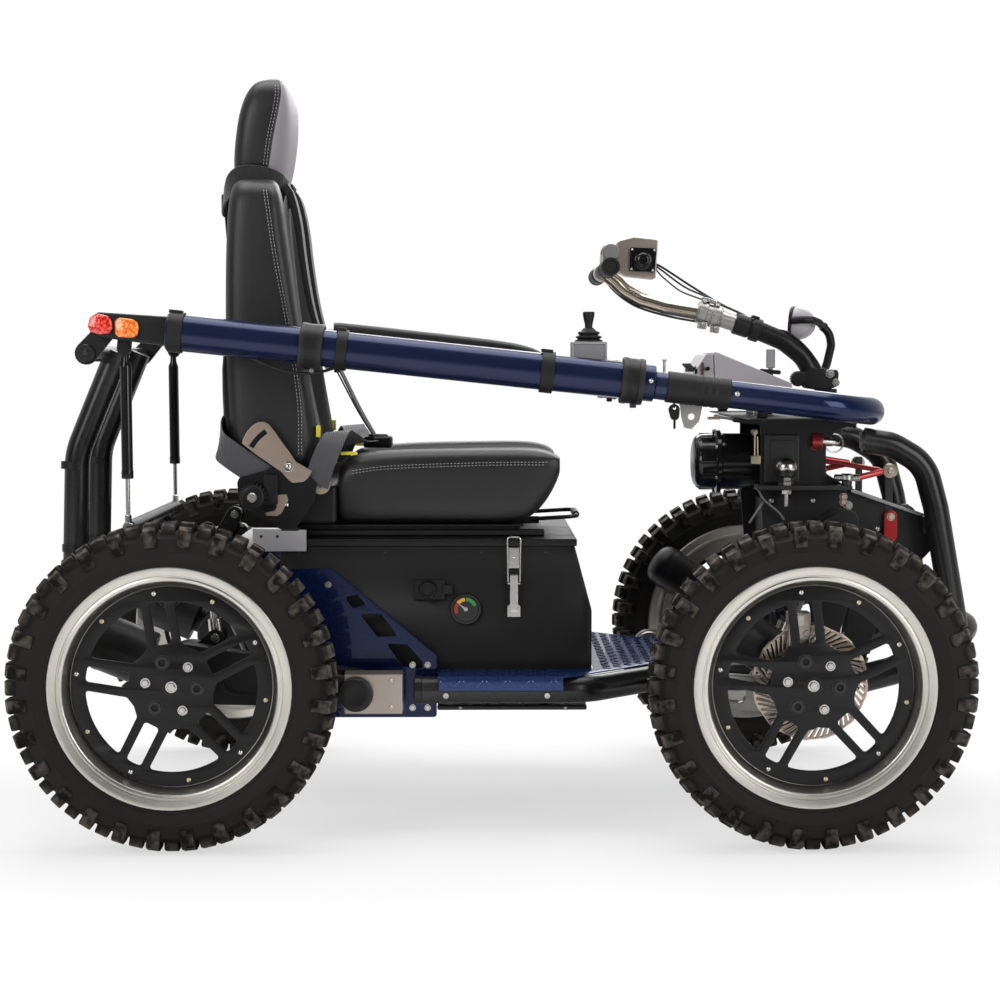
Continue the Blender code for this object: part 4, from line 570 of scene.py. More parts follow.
for where, label, x, side in wheels:
    start = 27 if where == "rear" else 25
    body = f"{where}_wheel_{label}"
    bm = bmesh.new()
    sheet(bm, spoke_outlines(start), 0.0043, 0.0103, 0.001)
    hub = [(-0.036, 0), (-0.036, 0.038), (-0.034, 0.04), (-0.021, 0.04), (-0.013, 0.056), (-0.011, 0.058),
        (0.005, 0.058), (0.006, 0.057), (0.006, 0)]
    turned(bm, hub, (0, 0, 0), (0, 1, 0), 48)
    turned(bm, [(0.01, 0), (0.01, 0.016), (0.0112, 0.016), (0.0116, 0.012), (0.0116, 0)], (0, 0, 0),
        (0, 1, 0), 32)
    on_wheel(bm, x, side)
    settle(bm, f"twin_spoke_disc_{where}_{label}", satin_black, body,
        [f"wheel_disc_{where}_{label}"], 35)
    bm = bmesh.new()
    hex_bolt(bm, (0, 0.0114, 0), (0, 1, 0), 0.0135, 0.0064, 0.0105)
    for turn in (50, 171, 295):
        px, pz = polar(0.046, radians(turn))
        hex_bolt(bm, (px, 0.0102, pz), (0, 1, 0), 0.0115, 0.006, 0.009)
    on_wheel(bm, x, side)
    settle(bm, f"hub_bolts_{where}_{label}", bright_steel, body)
    bm = bmesh.new()
    for turn in (109, 232, 357):
        px, pz = polar(0.046, radians(turn))
        socket_bolt(bm, (px, 0.0102, pz), (0, 1, 0), 0.0105, 0.0062)
        cross_bar(bm, px, pz, 0.0101, 0.0113, 0.0138, 0.0004, 20)
    on_wheel(bm, x, side)
    settle(bm, f"socket_bolts_{where}_{label}", black_steel, body)
    for kind, metal, odd in (("steel", bright_steel, 0), ("brass", brass, 1)):
        bm = bmesh.new()
        for screw in range(odd, 10, 2):
            px, pz = polar(0.1675, radians(start + 1 + 36 * screw))
            dome_screw(bm, (px, 0.0103, pz), (0, 1, 0), 0.0042, 0.0028)
        on_wheel(bm, x, side)
        settle(bm, f"rim_screws_{kind}_{where}_{label}", metal, body)

# Brake discs
# Thin steel discs on the front hubs, turned bright and tinted bronze by heat. They are cut from sheet, with
# a ring of slots that lean with the turn of the wheel and ten round holes nearer the hub.

tinted_steel = turned_metal("tinted_brake_steel", (0.44, 0.36, 0.29), 0.3)
for label, side in sides.items():
    bm = bmesh.new()
    rim = [polar(0.104 - (0.0016 if i % 8 < 4 else 0), tau * i / 96) for i in range(96)]
    outlines = [rim, circle(0.0425, 48)]
    slot = eased([(0.076, -0.0024), (0.0966, -0.0215), (0.0973, -0.0178), (0.076, 0.0019)], 0.0012, 2)
    outlines += [swung(slot, tau * i / 54) for i in range(54)]
    for i in range(10):
        turn = tau * i / 10
        centre = Vector(polar(0.064, turn))
        outlines.append([(Vector(point) + centre)[:] for point in swung(circle(0.0075, 16), turn)])
    sheet(bm, outlines, -0.032, -0.028, 0.0004)
    reach = bm.verts.layers.float.new("reach")
    for vert in bm.verts:
        vert[reach] = hypot(vert.co.x, vert.co.z)
    on_wheel(bm, front_x, side)
    settle(bm, f"slotted_brake_disc_{label}", tinted_steel, f"front_wheel_{label}",
        [f"brake_disc_{label}"], 30)

# Welded frame
# Black coated steel tube: two side tubes with a waist at the front, two rails that climb over the rear
# axle to carry the shock mounts, the cross tubes between them and a thin skid tray under the middle.

tyre_inner = track / 2 - tyre_half
bar_y = tyre_inner - 0.098
kingpin_y = track / 2 - 0.09
rear_arm_y, front_arm_y = tyre_inner - 0.113, kingpin_y - 0.086
rear_shock_y, front_shock_y = rear_arm_y - 0.07, front_arm_y - 0.035
tube_z = 0.263
front_tube_y = front_shock_y - 0.074
hoop_half = 0.12
rail_z = 0.43
frame_coat = finish("frame_coat", (0.006, 0.006, 0.0068), 0.28, dust=(0.028, 0.026, 0.024), dusting=0.1,
    specular=0.26, bare=(0.12, 0.12, 0.12), wear=0.2, spread=0.12, grain=260.0, depth=0.1, coat=0.25,
    coat_roughness=0.22)


def block(bm, low, high, edge=0.0015, lean_deg=0.0, segments=2):
    """A milled or moulded block with eased edges, leaned about its own middle."""
    low, high = Vector(low), Vector(high)
    made = bmesh.ops.create_cube(bm, size=1.0)["verts"]
    size = Vector((abs(high.x - low.x), abs(high.y - low.y), abs(high.z - low.z)))
    bmesh.ops.scale(bm, vec=size, verts=made)
    if edge:
        edges = list({e for vert in made for e in vert.link_edges})
        edge = min(edge, min(size) * 0.45)
        cut = bmesh.ops.bevel(bm, geom=edges, offset=edge, segments=segments, affect="EDGES", profile=0.5,
            material=-1)
        made = list({vert for face in cut["faces"] for vert in face.verts} | {v for v in made if v.is_valid})
    middle = (low + high) / 2
    turn = Matrix.Rotation(radians(lean_deg), 4, "Y")
    bmesh.ops.transform(bm, matrix=Matrix.Translation(middle) @ turn, verts=made)
    return made


def pipe(bm, points, radius, bend=0.0, steps=10, sides=6):
    """A round tube along a line whose corners are bent."""
    points = rounded(points, bend, steps) if bend else [Vector(point) for point in points]
    data = bpy.data.curves.new("line", "CURVE")
    data.dimensions = "3D"
    data.bevel_depth = radius
    data.bevel_resolution = sides
    data.use_fill_caps = True
    spline = data.splines.new("POLY")
    spline.points.add(len(points) - 1)
    for point, place in zip(spline.points, points):
        point.co = (*place, 1)
    return copied_in(bm, bpy.data.objects.new("line", data))


def mirrored(points, side):
    return [(x, y * side, z) for x, y, z in points]


def round_ends(first, first_radius, second, second_radius, steps=10):
    """The outline round two circles and the straight sides between them."""
    a, b = Vector(first), Vector(second)
    across = b - a
    base = atan2(across.y, across.x)
    lean = acos((first_radius - second_radius) / across.length)
    points = []
    for centre, radius, start, sweep in ((a, first_radius, base + lean, tau - 2 * lean),
            (b, second_radius, base - lean, 2 * lean)):
        for step in range(steps + 1):
            turn = start + sweep * step / steps
            points.append((centre.x + radius * cos(turn), centre.y + radius * sin(turn)))
    return points


ear_face = 0.0325


def shock_ears(bm, foot, side, y, carrier):
    """Two plates that hold a shock's eye between them."""
    for way in (-1, 1):
        inner = side * (y + way * 0.0265)
        sheet(bm, [round_ends(foot, 0.016, carrier, 0.022)], inner, inner + side * way * 0.006, 0.001)


rear_top, rear_foot = (rear_x + 0.031, axle_z + 0.255), (rear_x + 0.051, axle_z + 0.059)
front_top, front_foot = (front_x + 0.044, axle_z + 0.257), (front_x - 0.066, axle_z - 0.023)
strut_foot = (rear_x - 0.104, 0.56)
strut_y = bar_y - 0.034
nose_end = front_x + 0.134
bm = bmesh.new()
for side in (1, -1):
    line = [(-0.142, bar_y, tube_z), (0.17, bar_y, tube_z), (0.31, front_tube_y, tube_z),
        (nose_end, front_tube_y, tube_z)]
    pipe(bm, mirrored(line, side), 0.025, 0.09)
    round_bar(bm, (-0.144, side * bar_y, tube_z), (-0.128, side * bar_y, tube_z), 0.0262, 0.002, 32)
    rail = [(0.14, hoop_half, 0.258), (-0.44, hoop_half, 0.258), (-0.52, hoop_half, rail_z),
        (rear_x - 0.262, hoop_half, rail_z)]
    pipe(bm, mirrored(rail, side), 0.018, 0.05)
    cross_bar(bm, front_x - 0.226, axle_z - 0.031, side * (front_tube_y + 0.01),
        side * (front_arm_y - 0.02), 0.018)
    shock_ears(bm, rear_top, side, rear_shock_y, (rear_x - 0.034, rail_z))
    round_bar(bm, (strut_foot[0], side * hoop_half, rail_z),
        (strut_foot[0], side * hoop_half, strut_foot[1] + 0.004), 0.0095)
    round_bar(bm, (rear_x - 0.261, side * hoop_half, rail_z), (rear_x - 0.2635, side * hoop_half, rail_z),
        0.0165)
reach = rear_shock_y + 0.0315
cross_bar(bm, rear_x - 0.034, rail_z, -reach, reach, 0.0135)
cross_bar(bm, strut_foot[0], strut_foot[1], 0.0095 - strut_y, strut_y - 0.0095, 0.012)
for x, z, reach in ((-0.085, 0.2593, bar_y), (0.1, 0.2593, bar_y),
        (nose_end - 0.1, tube_z - 0.0012, front_tube_y)):
    cross_bar(bm, x, z, -reach, reach, 0.014)
block(bm, (-0.104, -0.2, 0.203), (0.181, 0.2, 0.213), 0.003)
block(bm, (0.09, -0.1, 0.205), (0.11, 0.1, 0.258), 0.002)
settle(bm, "welded_tube_frame", frame_coat, "chassis", ["main_frame"])

bm = bmesh.new()
for side in (1, -1):
    for x in (-0.085, 0.1):
        socket_bolt(bm, (x, side * (bar_y + 0.0245), 0.256), (0, side, 0), 0.0055, 0.004)
    for x in (-0.06, 0.14):
        dome_screw(bm, (x, side * 0.199, 0.208), (0, side, 0), 0.0035, 0.002)
settle(bm, "frame_screws", bright_steel, "chassis")

# Side plates and pivot blocks
# Navy metallic plates with three lightening slots tie each side tube to the rear rails. Outside each one a
# bronze anodised block, milled from bar, clamps the trailing arm's pivot under a turned black cap.


def metallic_paint(name, colour, flake):
    """A dark metallic paint under clear lacquer, with fine flakes that catch the light."""
    made = finish(name, colour, 0.26, 0.45, dust=tuple(c * 1.5 for c in colour), dusting=0.2,
        bare=(0.3, 0.3, 0.32), wear=0.12, spread=0.08, grain=140.0, depth=0.02, coat=0.34,
        coat_roughness=0.03, specular=0.18)
    tree, shader, surface = parts_of(made)
    flakes = shader_node(tree, "TexVoronoi", {"Vector": shader_node(tree, "TexCoord")["Object"],
        "Scale": 1900.0})["Color"]
    pick = shader_node(tree, "SeparateColor", {"Color": flakes})["Red"]
    pick = shader_node(tree, "MapRange", {"Value": pick, "From Min": 0.62, "From Max": 0.95})["Result"]
    tint = shader_node(tree, "Mix", {"Factor": pick, "A": surface["Colour"], "B": (*flake, 1)},
        data_type="RGBA")["Result"]
    tree.links.new(tint, shader["Base Color"])
    return made


navy = metallic_paint("navy_metallic", (0.0028, 0.0066, 0.033), (0.012, 0.036, 0.15))
bronze = finish("bronze_anodised", (0.4, 0.335, 0.285), 0.38, 0.85, dust=(0.3, 0.26, 0.23), dusting=0.35,
    bare=(0.72, 0.66, 0.6), wear=0.5, spread=0.14, grain=600.0, depth=0.12)
cast_black = finish("cast_black", (0.0085, 0.0085, 0.0092), 0.42, dust=(0.036, 0.034, 0.03), dusting=0.18,
    specular=0.28, bare=(0.16, 0.16, 0.16), wear=0.35, spread=0.2, grain=300.0, depth=0.35)
pivot_x, pivot_z = rear_x + 0.319, axle_z - 0.029
plate_y = rear_arm_y - 0.035
plate_edge = [(-0.486, 0.479), (-0.297, 0.483), (-0.103, 0.32), (-0.103, 0.204), (-0.293, 0.204),
    (-0.486, 0.4)]
plate_slots = [[(-0.273, 0.429), (-0.251, 0.434), (-0.234, 0.414), (-0.259, 0.409)],
    [(-0.246, 0.399), (-0.206, 0.397), (-0.176, 0.357), (-0.213, 0.355)],
    [(-0.196, 0.342), (-0.158, 0.34), (-0.13, 0.308), (-0.13, 0.296), (-0.166, 0.3)]]
for label, side in sides.items():
    bm = bmesh.new()
    outlines = [eased(plate_edge, 0.006), *[eased(slot, 0.003) for slot in plate_slots]]
    sheet(bm, outlines, side * (plate_y - 0.003), side * (plate_y + 0.003), 0.0008)
    settle(bm, f"slotted_side_plate_{label}", navy, "chassis", [f"rear_side_plate_{label}"])
    inner, outer = rear_arm_y + 0.0205, rear_arm_y + 0.07
    bm = bmesh.new()
    block(bm, (pivot_x - 0.022, side * inner, pivot_z - 0.0365),
        (pivot_x + 0.084, side * outer, pivot_z + 0.0365), 0.0022)
    block(bm, (pivot_x + 0.048, side * plate_y, pivot_z - 0.034),
        (pivot_x + 0.082, side * (inner + 0.01), pivot_z + 0.028), 0.002)
    settle(bm, f"pivot_block_{label}", bronze, "chassis")
    bm = bmesh.new()
    cap = [(-0.004, 0), (-0.004, 0.0295), (0.0, 0.031), (0.011, 0.031), (0.0142, 0.0296), (0.016, 0.0265),
        (0.016, 0.018), (0.015, 0.0165), (0.015, 0)]
    turned(bm, cap, (pivot_x, side * outer, pivot_z), (pivot_x, side * (outer + 1), pivot_z), 48)
    turned(bm, cap, (pivot_x - 0.036, side * (outer - 0.018), pivot_z + 0.004),
        (pivot_x - 0.036, side * (outer + 1), pivot_z + 0.004), 48)
    cross_bar(bm, pivot_x, pivot_z, side * plate_y, side * (rear_arm_y - 0.0195), 0.026)
    settle(bm, f"pivot_cap_{label}", cast_black, "chassis")
    bm = bmesh.new()
    for x, z in ((-0.304, 0.452), (-0.148, 0.302), (-0.12, 0.302), (-0.148, 0.222), (-0.12, 0.222)):
        hex_bolt(bm, (x, side * (plate_y + 0.003), z), (0, side, 0), 0.0085, 0.004, 0.0062)
    for x, z in ((pivot_x + 0.064, pivot_z + 0.024), (pivot_x + 0.064, pivot_z - 0.024)):
        socket_bolt(bm, (x, side * outer, z), (0, side, 0), 0.0042, 0.003)
    settle(bm, f"side_plate_bolts_{label}", bright_steel, "chassis")

# Battery box, lid and latches
# A black folded steel box with a sloping front corner. The lid, hinged at the back, carries the seat's
# rails; a sprung wire latch on each side holds it. A charging socket and a round charge dial face out.

box_rear, box_front, box_floor, box_top, box_half = -0.396, 0.187, 0.282, 0.52, 0.25
bm = bmesh.new()
edge = [(box_rear, box_floor), (box_rear, box_top), (box_front - 0.032, box_top),
    (box_front, box_top - 0.12), (box_front, box_floor)]
face = bm.faces.new([bm.verts.new((x, -box_half, z)) for x, z in edge])
drawn = bmesh.ops.extrude_face_region(bm, geom=[face])["geom"]
drawn = [item for item in drawn if isinstance(item, bmesh.types.BMVert)]
bmesh.ops.translate(bm, vec=(0, 2 * box_half, 0), verts=drawn)
bmesh.ops.recalc_face_normals(bm, faces=bm.faces)
open_top = [face for face in bm.faces if all(abs(vert.co.z - box_top) < 1e-6 for vert in face.verts)]
bmesh.ops.delete(bm, geom=open_top, context="FACES")
folds = [edge for edge in bm.edges if len(edge.link_faces) == 2]
bmesh.ops.bevel(bm, geom=folds, offset=0.004, segments=3, affect="EDGES", profile=0.5, material=-1)
case = settle(bm, "folded_battery_box", satin_black, "chassis", ["battery_box"])
wall = case.modifiers.new("steel_sheet", "SOLIDIFY")
wall.thickness = 0.003
wall.offset = -1

bm = bmesh.new()
low = (box_rear + 0.04, -box_half + 0.03, box_floor + 0.0035)
high = (box_front - 0.06, box_half - 0.03, box_top - 0.062)
block(bm, low, high, 0.006, segments=3)
for i in range(1, 4):
    x = low[0] + (high[0] - low[0]) * i / 4
    block(bm, (x - 0.001, low[1] - 0.0006, low[2] + 0.01), (x + 0.001, high[1] + 0.0006, high[2] + 0.0012),
        0.0004)
grey_plastic = finish("grey_plastic", (0.3, 0.3, 0.315), 0.42, dust=(0.2, 0.19, 0.18), dusting=0.3,
    spread=0.12, grain=700.0, depth=0.18)
settle(bm, "battery_cells", grey_plastic, "chassis", ["battery_pack"])
bm = bmesh.new()
for x in (-0.25, -0.05):
    turned(bm, [(-0.002, 0), (-0.002, 0.012), (0.006, 0.0115), (0.006, 0.008), (0.014, 0.0075),
        (0.014, 0)], (x, 0, high[2]), (x, 0, 1), 20)
settle(bm, "battery_posts", brass, "chassis")

lid_low, lid_high = box_top + 0.0005, box_top + 0.0145
lid_edge = box_half + 0.002
seat_rail_y = 0.17
bm = bmesh.new()
block(bm, (box_rear - 0.004, -lid_edge, lid_low), (box_front - 0.028, lid_edge, lid_high), 0.0028, segments=3)
cross_bar(bm, box_rear - 0.008, lid_low + 0.007, -0.18, 0.18, 0.0055)
for side in (-1, 1):
    block(bm, (0.031, side * (lid_edge - 0.001), lid_low + 0.001),
        (0.051, side * (lid_edge + 0.0055), lid_high - 0.002), 0.001)
settle(bm, "battery_box_lid", satin_black, "lid", ["battery_lid"])
bm = bmesh.new()
for side in (-1, 1):
    y = side * seat_rail_y
    block(bm, (box_rear + 0.02, y - 0.018, lid_high - 0.001),
        (box_front - 0.087, y + 0.018, lid_high + 0.003), 0.0008)
    for edge in (-0.018, 0.0155):
        block(bm, (box_rear + 0.02, y + edge, lid_high - 0.001),
            (box_front - 0.087, y + edge + 0.0025, lid_high + 0.011), 0.0006)
settle(bm, "seat_lower_rails", black_steel, "lid")

silver_sheet = finish("silver_sheet", (0.55, 0.54, 0.56), 0.42, 0.75, dust=(0.35, 0.33, 0.32),
    dusting=0.35, spread=0.16, grain=420.0, depth=0.12)
bm = bmesh.new()
block(bm, (-0.5, -0.226, 0.512), (-0.4105, 0.226, 0.5185), 0.001)
for side in (-1, 1):
    block(bm, (-0.446, side * 0.22, 0.512), (-0.4105, side * 0.256, 0.5185), 0.001)
    sheet(bm, [[(-0.446, 0.512), (-0.446, 0.554), (-0.346, 0.552), (-0.346, 0.512)]], side * 0.254,
        side * 0.2565, 0.0006)
settle(bm, "rear_channel", silver_sheet, "chassis")
bm = bmesh.new()
for side in (-1, 1):
    for x in (-0.43, -0.4):
        dome_screw(bm, (x, side * 0.2565, 0.54), (0, side, 0), 0.003, 0.0014)
    for x in (-0.36, -0.2, -0.02, 0.1):
        dome_screw(bm, (x, side * (box_half + 0.0001), 0.508), (0, side, 0), 0.0026, 0.0016)
settle(bm, "box_screws", black_steel, "chassis")

latch_y = box_half + 0.0105
for label, side in sides.items():
    bm = bmesh.new()
    lever = [(0.0345, 0.398), (0.0475, 0.398), (0.0485, 0.404), (0.0485, 0.466), (0.047, 0.47),
        (0.035, 0.47), (0.0335, 0.466), (0.0335, 0.404)]
    sheet(bm, [lever], side * (latch_y - 0.001), side * (latch_y + 0.004), 0.0012)
    block(bm, (0.0345, side * (latch_y - 0.005), 0.452), (0.0475, side * (latch_y - 0.0005), 0.47), 0.001)
    bail = [(0.03, latch_y, 0.45), (0.0285, latch_y, 0.5385), (0.0535, latch_y, 0.5385),
        (0.052, latch_y, 0.45)]
    pipe(bm, mirrored(bail, side), 0.0018, 0.006, 6, 3)
    round_bar(bm, (0.0285, side * latch_y, 0.452), (0.0535, side * latch_y, 0.452), 0.003)
    settle(bm, f"toggle_latch_{label}", bright_steel, f"latch_{label}", [f"latch_{label}"])
    bm = bmesh.new()
    sheet(bm, [[(0.029, 0.388), (0.053, 0.388), (0.053, 0.408), (0.048, 0.412), (0.034, 0.412),
        (0.029, 0.408)]], side * box_half, side * (box_half + 0.0015), 0.0004)
    for x in (0.0335, 0.0485):
        block(bm, (x - 0.001, side * box_half, 0.39), (x + 0.001, side * (box_half + 0.004), 0.406), 0.0004)
    block(bm, (0.031, side * (box_half - 0.0005), 0.4795), (0.051, side * (box_half + 0.003), 0.5185), 0.0008)
    dome_screw(bm, (0.041, side * (box_half + 0.003), 0.499), (0, side, 0), 0.003, 0.0016)
    settle(bm, f"latch_plates_{label}", bright_steel, "chassis")

black_plastic = finish("black_plastic", (0.008, 0.008, 0.0088), 0.42, dust=(0.035, 0.034, 0.033),
    dusting=0.12, spread=0.12, grain=650.0, depth=0.2, specular=0.28)
gloss_black = finish("gloss_black", (0.006, 0.006, 0.007), 0.16, dust=(0.03, 0.03, 0.03), dusting=0.1,
    spread=0.06, grain=200.0, depth=0.02)
bm = bmesh.new()
block(bm, (-0.146, -box_half, 0.4205), (-0.088, -box_half - 0.006, 0.459), 0.002, segments=3)
socket = [(0, 0), (0, 0.0165), (0.012, 0.016), (0.014, 0.0145), (0.014, 0.012), (0.008, 0.0115), (0.008, 0)]
turned(bm, socket, (-0.12, -box_half - 0.004, 0.44), (-0.12, -1, 0.44))
block(bm, (-0.092, -box_half, 0.432), (-0.074, -box_half - 0.0105, 0.449), 0.0015)
settle(bm, "charging_socket", black_plastic, "chassis")
dial_x, dial_z = -0.049, 0.403
bm = bmesh.new()
ring = [(0, 0), (0, 0.03), (0.005, 0.0295), (0.0062, 0.028), (0.0062, 0.0245), (0.0048, 0.0235), (0.0048, 0)]
turned(bm, ring, (dial_x, -box_half, dial_z), (dial_x, -1, dial_z), 48)
settle(bm, "charge_dial_ring", gloss_black, "chassis")
for name, colour, first, last in (("red", (0.42, 0.02, 0.015), 150, 205),
        ("amber", (0.75, 0.38, 0.02), 95, 145), ("green", (0.04, 0.25, 0.06), 20, 90)):
    bm = bmesh.new()
    arc = [radians(first + (last - first) * i / 8) for i in range(9)]
    arc = [(r, a) for r, turns in ((0.0215, arc), (0.015, arc[::-1])) for a in turns]
    sheet(bm, [[(dial_x + r * cos(a), dial_z + r * sin(a)) for r, a in arc]], -box_half - 0.0046,
        -box_half - 0.0053, 0.0002)
    settle(bm, f"dial_arc_{name}", finish(f"dial_{name}", colour, 0.35, spread=0.08, grain=500.0,
        depth=0.05), "chassis")
bm = bmesh.new()
needle = [(dial_x - 0.0165, dial_z + 0.0125), (dial_x - 0.001, dial_z - 0.0022),
    (dial_x + 0.002, dial_z + 0.001)]
sheet(bm, [needle], -box_half - 0.0054, -box_half - 0.006, 0.0002)
turned(bm, [(0, 0), (0, 0.0042), (0.002, 0.0036), (0.002, 0)], (dial_x, -box_half - 0.0046, dial_z),
    (dial_x, -1, dial_z), 20)
settle(bm, "dial_needle", silver_sheet, "chassis")

# Footboard
# Navy coated chequer plate: strips beside the battery box, a floor that narrows to the nose, a raised
# toe board, and a lip that hangs over the side tubes. Its raised lozenges are rolled into the sheet.


def lozenge(bm, place, turn_deg, upright_side=0):
    """One raised lozenge, flat on the floor or, for the lip, on an upright face."""
    made = bmesh.ops.create_cube(bm, size=1.0)["verts"]
    bmesh.ops.scale(bm, vec=(0.022, 0.0068, 0.0018), verts=made)
    for vert in made:
        if vert.co.z > 0:
            vert.co.x *= 0.72
            vert.co.y *= 0.42
        elif abs(vert.co.x) > 0.009:
            vert.co.y *= 0.25
    turn = Matrix.Rotation(radians(90 * upright_side), 4, "X") @ Matrix.Rotation(radians(turn_deg), 4, "Z")
    bmesh.ops.transform(bm, matrix=Matrix.Translation(Vector(place)) @ turn, verts=made)


floor_z = 0.2915
lip_y = bar_y + 0.025
navy_bright = metallic_paint("navy_chequer", (0.006, 0.018, 0.085), (0.03, 0.09, 0.3))
half = [(-0.1, box_half + 0.004), (-0.1, lip_y + 0.0035), (0.131, lip_y + 0.0035), (0.15, bar_y + 0.016),
    (0.3, front_tube_y + 0.005), (0.43, front_tube_y + 0.005)]
outline = [(box_front + 0.003, box_half + 0.004), *half, *[(x, -y) for x, y in reversed(half)],
    (box_front + 0.003, -box_half - 0.004)]
bm = bmesh.new()
sheet(bm, [outline], floor_z - 0.003, floor_z, 0.0008, plane="xy")
block(bm, (0.415, -0.155, floor_z + 0.03), (0.535, 0.155, floor_z + 0.033), 0.001, lean_deg=-35)
for side in (-1, 1):
    block(bm, (-0.098, side * (lip_y + 0.0012), tube_z + 0.002),
        (0.129, side * (lip_y + 0.004), floor_z - 0.0005), 0.0008)


def on_floor(x, y):
    if x > 0.3:
        return abs(y) < front_tube_y - 0.008 and x < 0.418
    if x > box_front + 0.014:
        return abs(y) < front_tube_y + 0.001 + (0.3 - x) / 0.15 * (bar_y + 0.012 - front_tube_y)
    return -0.09 < x < 0.146 and box_half + 0.014 < abs(y) < lip_y - 0.006


pitch = 0.0215
for i in range(-6, 30):
    for j in range(-20, 21):
        x, y = i * pitch, j * pitch
        if on_floor(x, y):
            lozenge(bm, (x, y, floor_z + 0.0006), 45 if (i + j) % 2 else -45)
for side in (-1, 1):
    for i in range(11):
        lozenge(bm, (-0.088 + i * pitch * 0.98, side * (lip_y + 0.0042), 0.277), 40 if i % 2 else -40, -side)
for i in range(-7, 8):
    for j in range(-2, 3):
        along = Vector((j * pitch, i * pitch, 0.0022))
        turn = Matrix.Rotation(radians(-35), 4, "Y")
        middle = turn @ along + Vector((0.475, 0, floor_z + 0.0315))
        made = bmesh.ops.create_cube(bm, size=1.0)["verts"]
        bmesh.ops.scale(bm, vec=(0.02, 0.006, 0.0016), verts=made)
        way = Matrix.Rotation(radians(45 if (i + j) % 2 else -45), 4, "Z")
        bmesh.ops.transform(bm, matrix=Matrix.Translation(middle) @ turn @ way, verts=made)
settle(bm, "chequer_footboard", navy_bright, "chassis", ["footboard"], 30)

# Rear hoop
# A black coated hoop of bent steel tube, welded on the rear rails. The side bars turn on the cross bar near
# its top, and two moulded clips ring each of its legs.

hinge_bar = (rear_x - 0.174, 0.88)
bm = bmesh.new()
for side in (1, -1):
    foot = rail_z + 0.018 + 0.0015
    line = [(rear_x - 0.237, hoop_half, foot), (rear_x - 0.23, hoop_half, 0.69),
        (rear_x - 0.196, hoop_half, 0.773), (rear_x - 0.15, hoop_half, hinge_bar[1] + 0.004)]
    pipe(bm, mirrored(line, side), 0.024, 0.14, 12, 7)
cross_bar(bm, hinge_bar[0], hinge_bar[1], 0.022 - bar_y, bar_y - 0.022, 0.015, 0.0015, 32)
settle(bm, "rear_hoop_tubes", frame_coat, "chassis", ["rear_hoop"])
bm = bmesh.new()
for side in (1, -1):
    for z in (0.5, 0.66):
        turned(bm, [(0, 0.024), (0, 0.0262), (0.014, 0.0262), (0.014, 0.024)],
            (rear_x - 0.2355, side * hoop_half, z), (rear_x - 0.233, side * hoop_half, z + 0.2), 32)
settle(bm, "hoop_clips", black_plastic, "chassis")

# Bull bar
# Black coated steel tube: a lower hoop wraps the nose and two bent uprights rise to the deck's front edge.
# Short blocks fix the uprights to the plates of the front tower.


def both_ways(points):
    return [*points, *[(x, -y, z) for x, y, z in reversed(points)]]


bm = bmesh.new()
reach = 0.373 - 0.02627
lower = [(nose_end + 0.0075, 0.2, tube_z), (front_x + 0.2, 0.2, 0.278), (front_x + reach, 0.2, 0.355)]
pipe(bm, both_ways(lower), 0.027, 0.075, 12, 8)
tower_half = front_tube_y - 0.034
for side in (1, -1):
    line = [(front_x + 0.137, 0.2, 0.717), (front_x + 0.19, 0.2, 0.709), (front_x + 0.253, 0.2, 0.672),
        (front_x + 0.276, 0.2, 0.588), (front_x + 0.318, 0.2, 0.352)]
    pipe(bm, mirrored(line, side), 0.024, 0.08, 12, 8)
    block(bm, (front_x + 0.137, side * (tower_half + 0.0005), 0.7), (front_x + 0.16, side * 0.19, 0.734),
        0.002)
    block(bm, (front_x + 0.255, side * (tower_half + 0.0005), 0.538), (front_x + 0.3, side * 0.19, 0.572),
        0.002)
settle(bm, "bull_bar_tubes", frame_coat, "chassis", ["bull_bar"])

# Nose loop and deck
# A navy tube loops round the nose level with the side bars. Screws hold its grip sleeves, and four posts
# tie it to a thin deck plate.


def bar_z(x):
    """The height of the side bars' common axis, which falls steadily to the nose."""
    return 0.918 - (x + 0.576) * tan(radians(6.1))


collar_x = 0.297
deck_low = 0.7585


def loop_z(x):
    """The loop falls a little faster than the side bars."""
    return bar_z(x) - 0.003 - 0.0132 * (x - collar_x)


bm = bmesh.new()
line = [(collar_x, bar_y, loop_z(collar_x)), (front_x + 0.146, bar_y, loop_z(front_x + 0.146))]
pipe(bm, both_ways(line), 0.0255, 0.12, 16, 9)
settle(bm, "nose_loop_tube", navy, "chassis", ["nose_loop"])
bm = bmesh.new()
deck_front = front_x + 0.15
plan = [(front_x - 0.096, bar_y - 0.01), (deck_front - 0.05, bar_y - 0.01), (deck_front, bar_y - 0.06)]
sheet(bm, [[*plan, *[(x, -y) for x, y in reversed(plan)]]], deck_low, deck_low + 0.003, 0.0008, plane="xy")
for side in (-1, 1):
    for x in (front_x - 0.07, front_x + 0.06):
        round_bar(bm, (x, side * (bar_y - 0.028), deck_low + 0.001), (x, side * bar_y, loop_z(x)), 0.01)
settle(bm, "nose_deck", satin_black, "chassis")

